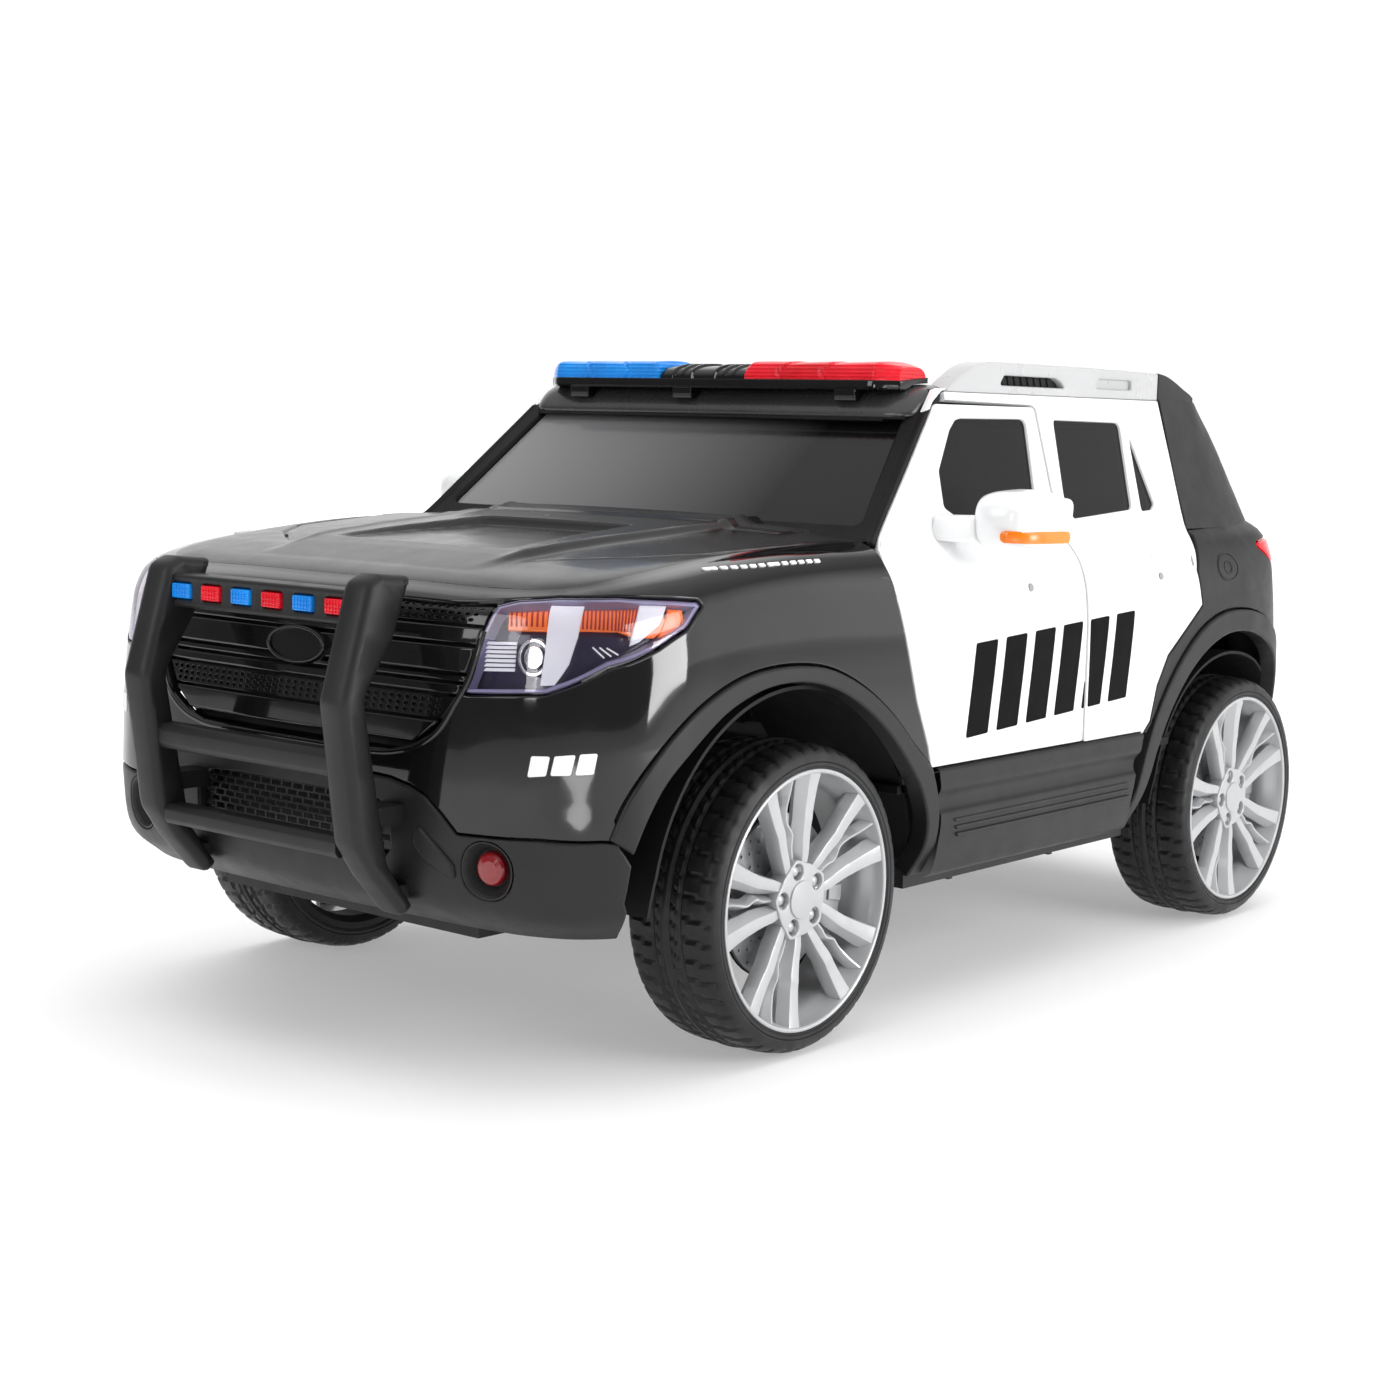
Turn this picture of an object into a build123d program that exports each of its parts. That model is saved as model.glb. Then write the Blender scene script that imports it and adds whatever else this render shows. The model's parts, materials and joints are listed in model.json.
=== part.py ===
from build123d import *
import os
from math import cos, hypot, radians, sin

# Child's battery ride-on patrol car. Millimetres. +X forward, +Y to the car's left, +Z up.
# Origin on the ground under the middle of the whole car.

os.makedirs("parts", exist_ok=True)

# ---------------------------------------------------------------- driving sizes
FRONT_AXLE_X = 291.0
REAR_AXLE_X = -444.0
AXLE_Z = 125.0
TYRE_R = 125.0
TYRE_W = 88.0
RIM_R = 105.0
WHEEL_Y = 259.0          # centre of each wheel from the middle plane
AXLE_R = 5.0
FIT = 0.06               # radial running clearance of a shaft in its hole

KINGPIN_Y = 195.0
ARM_L = 60.0             # steering arm, kingpin to tie rod pin
TIE_ROD_Z = 190.0

HALF_W = 300.0           # body side
GAP = 2.0                # shut gap round a door
SKIN = 4.0               # moulded skin

DOOR_AXIS = (172.0, 297.0)
WHEEL_HUB = (25.0, 0.0, 355.0)      # centre of the steering wheel
SHAFT_END = (207.0, 0.0, 206.5)     # lower end of the steering shaft

# lower body, side outline (x, z)
SIDE = [
    (500, 117), (546, 122), (560, 150), (566, 190), (563, 262), (553, 350), (546, 364),
    (500, 376), (359, 391), (234, 407), (158, 413),
    (-560, 413), (-592, 404), (-612, 385), (-619, 330), (-625, 262), (-620, 150), (-600, 117),
]
# lower body, half of the plan outline (x, y), front to rear
PLAN = [
    (566, 0), (563, 110), (552, 215), (538, 250), (505, 286), (455, 299), (400, 300),
    (-470, 300), (-530, 291), (-585, 262), (-612, 215), (-625, 110), (-625, 0),
]
# lower body, half of the front outline (y, z), bottom to top
FRONT = [(0, 117), (283, 117), (297, 180), (300, 230), (300, 335), (296, 365), (286, 387), (270, 401), (240, 409), (0, 420)]

# cabin side wall, outer line then inner line (y, z)
WALL = [
    (299, 205), (300, 230), (300, 335), (296, 365), (286, 387), (268, 402), (229, 533),
    (221, 533), (259, 402), (274, 383), (283, 360), (287, 335), (287, 205),
]
BELT_Z, ROOF_Z = 402.0, 533.0

# greenhouse, side outline and half plan
HOUSE_SIDE = [(174, 402), (166, 408), (30, 533), (-440, 533), (-476, 524), (-520, 478), (-570, 413), (-574, 402)]
HOUSE_PLAN = [(175, 0), (175, 270), (-430, 270), (-510, 258), (-560, 220), (-575, 150), (-575, 0)]

# shut lines in the side view (x, z)
DOOR = [(111, 209), (125, 233), (145, 273), (163, 324), (173, 357), (178, 392), (164, 402), (38, 518), (-128, 518), (-128, 212)]
DOOR_FRONT = [(111, 205), (125, 233), (145, 273), (163, 324), (173, 357), (178, 392), (164, 402)]
REAR_EDGE = [(-371, 533), (-369, 402), (-345, 363), (-350, 329), (-313, 304), (-282, 283), (-263, 255), (-252, 218), (-240, 205)]
DOOR_WINDOW = [(5, 506), (22, 495), (51, 460), (55, 430), (42, 421), (-98, 421), (-106, 506)]
REAR_WINDOW = [(-152, 506), (-279, 506), (-270, 421), (-148, 421)]
QUARTER_WINDOW = [(-290, 500), (-318, 430), (-312, 421), (-287, 421)]
HEADLIGHT = [(410, 368), (470, 380), (600, 380), (600, 304), (533, 304), (476, 322), (420, 345)]
TAIL_LAMP = [(-484, 403), (-650, 403), (-650, 352), (-560, 358), (-500, 383)]


# ---------------------------------------------------------------- small helpers
def prism_side(points, y0, y1):
    """Outline in the side view, from y0 to y1."""
    with BuildPart() as body:
        with BuildSketch(Plane.XZ.offset(-y1)):
            with BuildLine():
                Polyline(*points, close=True)
            make_face()
        extrude(amount=y1 - y0)
    return body.part


def prism_plan(points, z0, z1):
    """Outline in the plan view, from z0 to z1."""
    with BuildPart() as body:
        with BuildSketch(Plane.XY.offset(z0)):
            with BuildLine():
                Polyline(*points, close=True)
            make_face()
        extrude(amount=z1 - z0)
    return body.part


def prism_front(points, x0, x1):
    """Outline in the front view (y, z), from x0 to x1."""
    with BuildPart() as body:
        with BuildSketch(Plane.YZ.offset(x0)):
            with BuildLine():
                Polyline(*points, close=True)
            make_face()
        extrude(amount=x1 - x0)
    return body.part


def block(x0, x1, y0, y1, z0, z1):
    with BuildPart() as body:
        with Locations(((x0 + x1) / 2, (y0 + y1) / 2, (z0 + z1) / 2)):
            Box(x1 - x0, y1 - y0, z1 - z0)
    return body.part


def both_sides(half):
    """Half outline (a, b) closed by its mirror in b."""
    return list(half) + [(a, -b) for a, b in reversed(half) if b > 0.01]


def form(side, plan, front, inset, open_bottom=0.0):
    """Meeting of the side, plan and front outlines, each pulled in by inset."""
    with BuildPart() as body:
        with BuildSketch(Plane.XZ.offset(-400)):
            with BuildLine():
                Polyline(*[(x, z - (open_bottom if z < 180 else 0)) for x, z in side], close=True)
            make_face()
            if inset:
                offset(amount=-inset, kind=Kind.INTERSECTION)
        extrude(amount=800)
        with BuildSketch(Plane.XY):
            with BuildLine():
                Polyline(*both_sides(plan), close=True)
            make_face()
            if inset:
                offset(amount=-inset, kind=Kind.INTERSECTION)
        extrude(amount=700, mode=Mode.INTERSECT)
        with BuildSketch(Plane.YZ.offset(-700)):
            with BuildLine():
                Polyline(*([(y, z - (open_bottom if z < 150 else 0)) for y, z in front]
                           + [(-y, z - (open_bottom if z < 150 else 0)) for y, z in reversed(front) if y > 0.01]), close=True)
            make_face()
            if inset:
                offset(amount=-inset, kind=Kind.INTERSECTION)
        extrude(amount=1400, mode=Mode.INTERSECT)
    return body.part


def grown(points, amount, y0, y1):
    """Outline in the side view grown outwards by amount."""
    with BuildPart() as body:
        with BuildSketch(Plane.XZ.offset(-y1)):
            with BuildLine():
                Polyline(*points, close=True)
            make_face()
            offset(amount=amount, kind=Kind.INTERSECTION)
        extrude(amount=y1 - y0)
    return body.part


def keep(part):
    """Drops slivers, keeps the real solids."""
    solids = [s for s in part.solids() if s.volume > 60]
    return Part(solids)


def write(part, name):
    part.label = name
    export_step(part, "parts/" + name + ".step")


def tidy(node, name):
    node.part.label = name
    export_step(node.part, "parts/" + name + ".step")


# ---------------------------------------------------------------- outer forms
body_outer = form(SIDE, PLAN, FRONT, 0)
body_inner = form(SIDE, PLAN, FRONT, SKIN, open_bottom=60)
with BuildPart() as shell:
    add(body_outer)
    add(body_inner, mode=Mode.SUBTRACT)

proud_outer = form(SIDE, PLAN, FRONT, -4)
proud_inner = form(SIDE, PLAN, FRONT, 12, open_bottom=60)

HOUSE_FRONT = [(0, 402), (268, 402), (229, 533), (0, 533)]
with BuildPart() as house_outer:
    with BuildSketch(Plane.XZ.offset(-400)):
        with BuildLine():
            Polyline(*HOUSE_SIDE, close=True)
        make_face()
    extrude(amount=800)
    with BuildSketch(Plane.XY):
        with BuildLine():
            Polyline(*both_sides(HOUSE_PLAN), close=True)
        make_face()
    extrude(amount=700, mode=Mode.INTERSECT)
    with BuildSketch(Plane.YZ.offset(-700)):
        with BuildLine():
            Polyline((-268, 402), (268, 402), (229, 533), (-229, 533), close=True)
        make_face()
    extrude(amount=1400, mode=Mode.INTERSECT)
with BuildPart() as house_inner:
    with BuildSketch(Plane.XZ.offset(-400)):
        with BuildLine():
            Polyline(*[(x, z - (60 if z < 415 else 0)) for x, z in HOUSE_SIDE], close=True)
        make_face()
        offset(amount=-8, kind=Kind.INTERSECTION)
    extrude(amount=800)
    with BuildSketch(Plane.XY):
        with BuildLine():
            Polyline(*both_sides(HOUSE_PLAN), close=True)
        make_face()
        offset(amount=-8, kind=Kind.INTERSECTION)
    extrude(amount=700, mode=Mode.INTERSECT)
    with BuildSketch(Plane.YZ.offset(-700)):
        with BuildLine():
            Polyline((-259.6 - 18, 342), (259.6 + 18, 342), (220.6, 533), (-220.6, 533), close=True)
        make_face()
    extrude(amount=1400, mode=Mode.INTERSECT)
with BuildPart() as house:
    add(house_outer.part)
    add(house_inner.part, mode=Mode.SUBTRACT)
    add(block(-362, -42, -206, 206, 500, 560), mode=Mode.SUBTRACT)      # open top for the child


# wheel arch openings, side view: two arcs and straight ends
def arch(points, arcs, y0, y1):
    with BuildPart() as body:
        with BuildSketch(Plane.XZ.offset(-y1)):
            with BuildLine():
                for a, b, c in arcs:
                    ThreePointArc(a, b, c)
                Polyline(*points)
            make_face()
        extrude(amount=y1 - y0)
    return body.part


FRONT_ARCH = dict(arcs=[((486, 185), (432, 262), (325, 299)), ((325, 299), (195, 254), (128, 165))],
                  points=[(128, 165), (133, 100), (505, 100), (486, 185)])
REAR_ARCH = dict(arcs=[((-243, 140), (-308, 262), (-425, 300)), ((-425, 300), (-538, 262), (-588, 165))],
                 points=[(-588, 165), (-588, 100), (-237, 100), (-243, 140)])
FRONT_FLARE = dict(arcs=[((512, 196), (452, 283), (325, 313)), ((325, 313), (170, 262), (113, 204))],
                   points=[(113, 204), (101, 165), (108, 117), (516, 117), (512, 196)])
REAR_FLARE = dict(arcs=[((-224, 150), (-284, 285), (-425, 322)), ((-425, 322), (-554, 284), (-604, 165))],
                  points=[(-604, 165), (-604, 117), (-216, 117), (-224, 150)])

# ---------------------------------------------------------------- front end panels
FRONT_ZONE = DOOR_FRONT + [(164, 440), (700, 440), (700, 90), (104, 90)]
bonnet_zone = prism_plan(both_sides([(700, 0), (700, 226), (530, 226), (440, 240), (250, 258), (186, 262), (186, 0)]), 352, 440)
grille_zone = prism_front([(-203, 258), (203, 258), (196, 352), (-196, 352)], 480, 600)
headlight_zone = [prism_side(HEADLIGHT, s * 330 if s < 0 else 206, -206 if s < 0 else 330) for s in (1, -1)]
bumper_zone = prism_side([(455, 100), (700, 100), (700, 190), (440, 190)], -330, 330)

with BuildPart() as bonnet:
    add(shell.part)
    add(bonnet_zone, mode=Mode.INTERSECT)
    for zone in headlight_zone:
        add(zone, mode=Mode.SUBTRACT)
write(keep(bonnet.part), "bonnet")

with BuildPart() as grille:
    add(shell.part)
    add(grille_zone, mode=Mode.INTERSECT)
    # five long openings between the slats
    for z, h in ((338, 6), (318, 8), (300, 8), (282, 8), (267, 5)):
        add(block(520, 600, -176, 176, z - h / 2, z + h / 2), mode=Mode.SUBTRACT)
    # bare oval badge plate, standing on the slats
    with BuildSketch(Plane.YZ.offset(545)):
        with Locations((0, 320)):
            Ellipse(33.5, 15.5)
    extrude(amount=18)
    for y in (-90, 90):
        add(block(548, 554, y - 3, y + 3, 264, 342))
write(keep(grille.part), "grille")

with BuildPart() as headlights:
    add(shell.part)
    with BuildPart(mode=Mode.PRIVATE) as lamps:
        for zone in headlight_zone:
            add(zone)
    add(lamps.part, mode=Mode.INTERSECT)
write(keep(headlights.part), "headlights")

with BuildPart() as front_bumper:
    add(shell.part)
    add(bumper_zone, mode=Mode.INTERSECT)
    add(arch(FRONT_FLARE["points"], FRONT_FLARE["arcs"], 200, 330), mode=Mode.SUBTRACT)
    add(arch(FRONT_FLARE["points"], FRONT_FLARE["arcs"], -330, -200), mode=Mode.SUBTRACT)
    add(block(500, 600, -150, 150, 168, 182), mode=Mode.SUBTRACT)       # cooling slot
    for y in (-205, 205):
        with Locations(Location((556, y, 160), (0, 90, 0))):
            Cylinder(radius=22.6, height=40, mode=Mode.SUBTRACT)
write(keep(front_bumper.part), "front_bumper")

with BuildPart() as fog_lamps:
    for y in (-205, 205):
        with Locations(Location((551, y, 160), (0, 90, 0))):
            Cylinder(radius=22.4, height=12)
        with Locations(Location((557, y, 160), (0, 90, 0))):
            Cylinder(radius=14, height=10)
tidy(fog_lamps, "fog_lamps")

with BuildPart() as front_body:
    add(shell.part)
    add(prism_side(FRONT_ZONE, -330, 330), mode=Mode.INTERSECT)
    add(bonnet_zone, mode=Mode.SUBTRACT)
    add(grille_zone, mode=Mode.SUBTRACT)
    for zone in headlight_zone:
        add(zone, mode=Mode.SUBTRACT)
    add(bumper_zone, mode=Mode.SUBTRACT)
    for y0, y1 in ((150, 330), (-330, -150)):
        add(arch(FRONT_FLARE["points"], FRONT_FLARE["arcs"], y0, y1), mode=Mode.SUBTRACT)
    add(block(90, 186, -258, 258, 380, 430), mode=Mode.SUBTRACT)        # dash opening under the windscreen
    add(block(90, 250, -330, 330, 90, 204), mode=Mode.SUBTRACT)
    for y0, y1 in ((250, 330), (-330, -250)):
        add(grown(DOOR, GAP + 0.4, y0, y1), mode=Mode.SUBTRACT)       # shut gap in front of the doors
    add(house_outer.part, mode=Mode.SUBTRACT)
write(keep(front_body.part), "front_body")

# arch flares, a band round each opening standing 4 mm proud
for name, inner, outer in (("front_arch_flares", FRONT_ARCH, FRONT_FLARE), ("rear_arch_flares", REAR_ARCH, REAR_FLARE)):
    with BuildPart() as flares:
        for y0, y1 in ((180, 320), (-320, -180)):
            with BuildPart(mode=Mode.PRIVATE) as band:
                add(arch(outer["points"], outer["arcs"], y0, y1))
                add(arch(inner["points"], inner["arcs"], y0 - 1, y1 + 1), mode=Mode.SUBTRACT)
                add(block(-700, 700, y0, y1, 60, 117), mode=Mode.SUBTRACT)
                # the band follows the body's rounding, 4 mm proud
                add(proud_outer, mode=Mode.INTERSECT)
                add(proud_inner, mode=Mode.SUBTRACT)
            add(keep(band.part))
    write(keep(flares.part), name)

# liners over the wheels: half tubes, and at the back an inner wall
for name, x, r, y_in in (("front_arch_liners", FRONT_AXLE_X, 166, 156), ("rear_arch_liners", REAR_AXLE_X, 148, 206)):
    with BuildPart() as liners:
        for sign in (1, -1):
            y0, y1 = (y_in, 283) if sign > 0 else (-283, -y_in)
            with BuildPart(mode=Mode.PRIVATE) as tube:
                with Locations(Location((x, (y0 + y1) / 2, AXLE_Z), (90, 0, 0))):
                    Cylinder(radius=r + 3, height=y1 - y0)
                    Cylinder(radius=r, height=y1 - y0, mode=Mode.SUBTRACT)
                add(block(x - 250, x + 250, -300, 300, -200, AXLE_Z + 8), mode=Mode.SUBTRACT)
                add(proud_inner, mode=Mode.INTERSECT)
            add(keep(tube.part))
    tidy(liners, name)

# ---------------------------------------------------------------- cabin sides
with BuildPart() as wall_left:
    with BuildSketch(Plane.YZ.offset(-600)):
        with BuildLine():
            Polyline(*WALL, close=True)
        make_face()
    extrude(amount=800)
with BuildPart() as wall_right:
    with BuildSketch(Plane.YZ.offset(-600)):
        with BuildLine():
            Polyline(*[(-y, z) for y, z in WALL], close=True)
        make_face()
    extrude(amount=800)
WALLS = {"left": (wall_left.part, 150, 340), "right": (wall_right.part, -340, -150)}


PANEL = [(22, 533)] + REAR_EDGE + [(-126, 205), (-126, 519), (37, 519)]
for side in ("left", "right"):
    wall, y0, y1 = WALLS[side]
    s = 1 if side == "left" else -1
    with BuildPart() as door:
        add(wall)
        add(prism_side(DOOR, y0, y1), mode=Mode.INTERSECT)
        add(prism_side(DOOR_WINDOW, y0, y1), mode=Mode.SUBTRACT)
    write(keep(door.part), side + "_door")
    with BuildPart() as pane:
        add(wall)
        add(prism_side(DOOR_WINDOW, y0, y1), mode=Mode.INTERSECT)
        with BuildSketch(Plane.YZ.offset(-200)):
            with BuildLine():
                Polyline(*[(s * y, z) for y, z in ((264, 402), (225, 533), (222, 533), (261, 402))], close=True)
            make_face()
        extrude(amount=400, mode=Mode.INTERSECT)
    write(keep(pane.part), side + "_door_window")
    with BuildPart() as panel:
        add(wall)
        add(prism_side(PANEL, y0, y1), mode=Mode.INTERSECT)
        add(grown(DOOR, GAP, y0, y1), mode=Mode.SUBTRACT)
        add(prism_side(REAR_WINDOW, y0, y1), mode=Mode.SUBTRACT)
        add(prism_side(QUARTER_WINDOW, y0, y1), mode=Mode.SUBTRACT)
        add(arch(REAR_FLARE["points"], REAR_FLARE["arcs"], y0, y1), mode=Mode.SUBTRACT)
    write(keep(panel.part), side + "_side_panel")
    # mirror: a shell-shaped housing on a short foot, glass to the rear
    with BuildPart() as housing:
        with BuildSketch(Plane.YZ.offset(-5)):
            with BuildLine():
                Polyline(*[(s * y, z) for y, z in ((302, 392), (345, 392), (357, 402), (357, 436), (348, 447), (308, 447), (300, 436), (300, 396))], close=True)
            make_face()
        extrude(amount=85)
        chamfer(housing.faces().sort_by(Axis.X)[-1].edges(), 5)
        with BuildSketch(Plane.YZ.offset(-5)):
            with BuildLine():
                Polyline(*[(s * y, z) for y, z in ((308, 400), (344, 400), (351, 407), (351, 432), (344, 440), (312, 440), (307, 432))], close=True)
            make_face()
        extrude(amount=6, mode=Mode.SUBTRACT)
        with BuildSketch(Plane.YZ.offset(54)):
            with BuildLine():
                Polyline(*[(s * y, z) for y, z in ((262, 411), (262, 424), (306, 424), (306, 399), (281, 399))], close=True)
            make_face()
        extrude(amount=26)
        add(wall, mode=Mode.SUBTRACT)
    write(keep(housing.part), side + "_mirror")

with BuildPart() as side_glass:
    for side, s in (("left", 1), ("right", -1)):
        wall, y0, y1 = WALLS[side]
        for outline in (REAR_WINDOW, QUARTER_WINDOW):
            with BuildPart(mode=Mode.PRIVATE) as pane:
                add(wall)
                add(prism_side(outline, y0, y1), mode=Mode.INTERSECT)
                with BuildSketch(Plane.YZ.offset(-400)):
                    with BuildLine():
                        Polyline(*[(s * y, z) for y, z in ((264, 402), (225, 533), (222, 533), (261, 402))], close=True)
                    make_face()
                extrude(amount=400, mode=Mode.INTERSECT)
            add(keep(pane.part))
tidy(side_glass, "rear_side_windows")

# ---------------------------------------------------------------- windscreen and its frame
SCREEN_HOLE = [(-243, 416), (243, 416), (211, 514), (-211, 514)]
with BuildPart() as windscreen_frame:
    add(house.part)
    add(prism_side([(250, 402), (90, 402), (-42, 524), (-42, 560), (250, 560)], -330, 330), mode=Mode.INTERSECT)
    for y0, y1 in ((216, 340), (-340, -216)):
        add(grown(DOOR, GAP, y0, y1), mode=Mode.SUBTRACT)
        add(prism_side(PANEL, y0, y1), mode=Mode.SUBTRACT)
    add(prism_front(SCREEN_HOLE, 0, 250), mode=Mode.SUBTRACT)
write(keep(windscreen_frame.part), "windscreen_frame")

with BuildPart() as windscreen:
    with BuildSketch(Plane.XZ.offset(-260)):
        with BuildLine():
            Polyline((172, 395), (18, 534.3), (15.5, 531.5), (169.5, 392.2), close=True)
        make_face()
    extrude(amount=520)
    add(prism_front(SCREEN_HOLE, 0, 250), mode=Mode.INTERSECT)
write(keep(windscreen.part), "windscreen")

# ---------------------------------------------------------------- roof rails and their end caps
RAIL = [(8, 533.2), (-26, 553), (-50, 558), (-365, 558), (-365, 533.2)]
with BuildPart() as roof_rails:
    for y0, y1 in ((206, 229), (-229, -206)):
        with BuildPart(mode=Mode.PRIVATE) as rail:
            add(prism_side(RAIL, y0, y1))
            add(prism_side([(-80, 545), (-176, 545), (-184, 536), (-72, 536)], y0, y1), mode=Mode.SUBTRACT)
            add(prism_side([(-249, 547), (-312, 547), (-312, 537), (-241, 537)], y0, y1), mode=Mode.SUBTRACT)
        add(rail.part)
tidy(roof_rails, "roof_rails")

with BuildPart() as rail_caps:
    for y0, y1 in ((206, 229), (-229, -206)):
        add(prism_side([(-365.3, 558), (-385, 555), (-440, 534), (-440, 533.2), (-365.3, 533.2)], y0, y1))
tidy(rail_caps, "rail_end_caps")

# ---------------------------------------------------------------- rear end
rear_zone_side = prism_side([(-371, 560), (-371, 402)] + REAR_EDGE[1:] + [(-240, 90), (-700, 90), (-700, 560)], -330, 330)
tail_zone = [prism_side(TAIL_LAMP, 200, 330), prism_side(TAIL_LAMP, -330, -200)]
rear_bumper_zone = prism_side([(-500, 90), (-700, 90), (-700, 214), (-500, 214)], -330, 330)
tailgate_zone = prism_front([(-198, 214), (198, 214), (206, 380), (196, 521), (-196, 521), (-206, 380)], -700, -470)
REAR_GLASS = [(-172, 428), (172, 428), (160, 498), (-160, 498)]

with BuildPart() as house_rear:
    add(house.part)
    add(prism_side([(-371, 560), (-371, 402), (-700, 402), (-700, 560)], -330, 330), mode=Mode.INTERSECT)
with BuildPart() as tail_shell:
    add(shell.part)
    add(rear_zone_side, mode=Mode.INTERSECT)
    add(block(-562, -200, -256, 256, 380, 430), mode=Mode.SUBTRACT)     # open to the load bay
with BuildPart() as rear_body:
    add(tail_shell.part)
    add(house_rear.part)
    add(tailgate_zone, mode=Mode.SUBTRACT)
    for zone in tail_zone:
        add(zone, mode=Mode.SUBTRACT)
    add(rear_bumper_zone, mode=Mode.SUBTRACT)
    for y0, y1 in ((200, 330), (-330, -200)):
        add(arch(REAR_FLARE["points"], REAR_FLARE["arcs"], y0, y1), mode=Mode.SUBTRACT)
    add(block(-420, -200, -330, 330, 90, 204), mode=Mode.SUBTRACT)
write(keep(rear_body.part), "rear_body")

with BuildPart() as tailgate:
    add(tail_shell.part)
    add(house_rear.part)
    add(tailgate_zone, mode=Mode.INTERSECT)
    add(prism_front(REAR_GLASS, -700, -470), mode=Mode.SUBTRACT)
    for zone in tail_zone:
        add(zone, mode=Mode.SUBTRACT)
write(keep(tailgate.part), "tailgate")

with BuildPart() as rear_window:
    add(house_rear.part)
    add(prism_front(REAR_GLASS, -700, -470), mode=Mode.INTERSECT)
write(keep(rear_window.part), "rear_window")

with BuildPart() as tail_lamps:
    add(tail_shell.part)
    with BuildPart(mode=Mode.PRIVATE) as lamps:
        for zone in tail_zone:
            add(zone)
    add(lamps.part, mode=Mode.INTERSECT)
write(keep(tail_lamps.part), "tail_lamps")

with BuildPart() as rear_bumper:
    add(tail_shell.part)
    add(rear_bumper_zone, mode=Mode.INTERSECT)
    for y0, y1 in ((200, 330), (-330, -200)):
        add(arch(REAR_FLARE["points"], REAR_FLARE["arcs"], y0, y1), mode=Mode.SUBTRACT)
write(keep(rear_bumper.part), "rear_bumper")

# ---------------------------------------------------------------- sills
SILL = [(284, 117), (298, 117), (301, 135), (302, 168), (297, 172), (298, 178), (301, 184), (300, 204), (287, 204), (284, 196)]
with BuildPart() as sills:
    for s in (1, -1):
        with BuildPart(mode=Mode.PRIVATE) as sill:
            with BuildSketch(Plane.YZ.offset(-250)):
                with BuildLine():
                    Polyline(*[(s * y, z) for y, z in SILL], close=True)
                make_face()
            extrude(amount=370)
            add(arch(FRONT_FLARE["points"], FRONT_FLARE["arcs"], -330, 330), mode=Mode.SUBTRACT)
            add(arch(REAR_FLARE["points"], REAR_FLARE["arcs"], -330, 330), mode=Mode.SUBTRACT)
        add(keep(sill.part))
tidy(sills, "sill_steps")

# ---------------------------------------------------------------- push bar and its lamps
UPRIGHT = [(557, 381), (587, 383), (600, 377), (625, 291), (610, 184), (592, 158), (562, 125), (552, 133), (578, 168),
           (588, 218), (602, 293), (574, 335)]
with BuildPart() as push_bar:
    for y0, y1 in ((101, 131), (-131, -101)):
        add(prism_side(UPRIGHT, y0, y1))
    # cross rails: x0, x1, z0, z1
    for x0, x1, z0, z1 in ((573, 597, 344, 370), (594, 612, 233, 253), (588, 606, 172, 188)):
        add(block(x0, x1, -101, 101, z0, z1))
    # feet into the bumper
    for y0, y1 in ((104, 128), (-128, -104)):
        add(block(566.5, 596, y0, y1, 196, 212))
    for y in (-90, -54, -18, 18, 54, 90):
        with Locations((597, y, 357)):
            Box(6, 22, 12, mode=Mode.SUBTRACT)
write(keep(push_bar.part), "push_bar")

for name, places in (("push_bar_blue_lamps", (-90, -18, 54)), ("push_bar_red_lamps", (-54, 18, 90))):
    with BuildPart() as bar_lamps:
        for y in places:
            with Locations((596.5, y, 357)):
                Box(5, 21.4, 11.4)
    tidy(bar_lamps, name)

# ---------------------------------------------------------------- light bar
with BuildPart() as bar_base:
    with BuildSketch(Plane.XY.offset(536)):
        with BuildLine():
            Polyline((70, -200), (70, 200), (56, 220), (14, 220), (2, 200), (2, -200), (14, -220), (56, -220), close=True)
        make_face()
    extrude(amount=5)
    with Locations((39, 0, 546)):
        Box(58, 104, 10)
    for y in (-178, -60, 60, 178):
        with Locations((14, y, 534.6)):
            Box(24, 26, 2.9)
write(keep(bar_base.part), "light_bar_base")

for name, s in (("light_bar_red_lens", 1), ("light_bar_blue_lens", -1)):
    with BuildPart() as lens:
        with BuildSketch(Plane.XY.offset(541.2)):
            with BuildLine():
                Polyline(*[(x, s * y) for x, y in ((69, 53), (69, 199), (55, 218), (15, 218), (5, 199), (5, 53))], close=True)
            make_face()
        extrude(amount=16)
        chamfer(lens.faces().sort_by(Axis.Z)[-1].edges(), 6)
    tidy(lens, name)

# ---------------------------------------------------------------- floor tub
TUB = both_sides([(505, 0), (505, 150), (112, 150), (112, 268), (-262, 268), (-262, 200), (-598, 200), (-598, 0)])
with BuildPart() as tub:
    with BuildSketch(Plane.XY.offset(104)):
        with BuildLine():
            Polyline(*TUB, close=True)
        make_face()
    extrude(amount=96)
    with BuildSketch(Plane.XY.offset(108)):
        with BuildLine():
            Polyline(*TUB, close=True)
        make_face()
        offset(amount=-SKIN, kind=Kind.INTERSECTION)
    extrude(amount=96, mode=Mode.SUBTRACT)
    add(block(186, 560, -160, 160, 128, 210), mode=Mode.SUBTRACT)
    # ribs under the floor
    for x in (-150, 20):
        add(block(x - 3, x + 3, -256, 256, 98, 104))
    # hole for the rear axle
    with Locations(Location((REAR_AXLE_X, 0, AXLE_Z), (90, 0, 0))):
        Cylinder(radius=AXLE_R + 0.4, height=420, mode=Mode.SUBTRACT)
write(keep(tub.part), "floor_tub")

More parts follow.
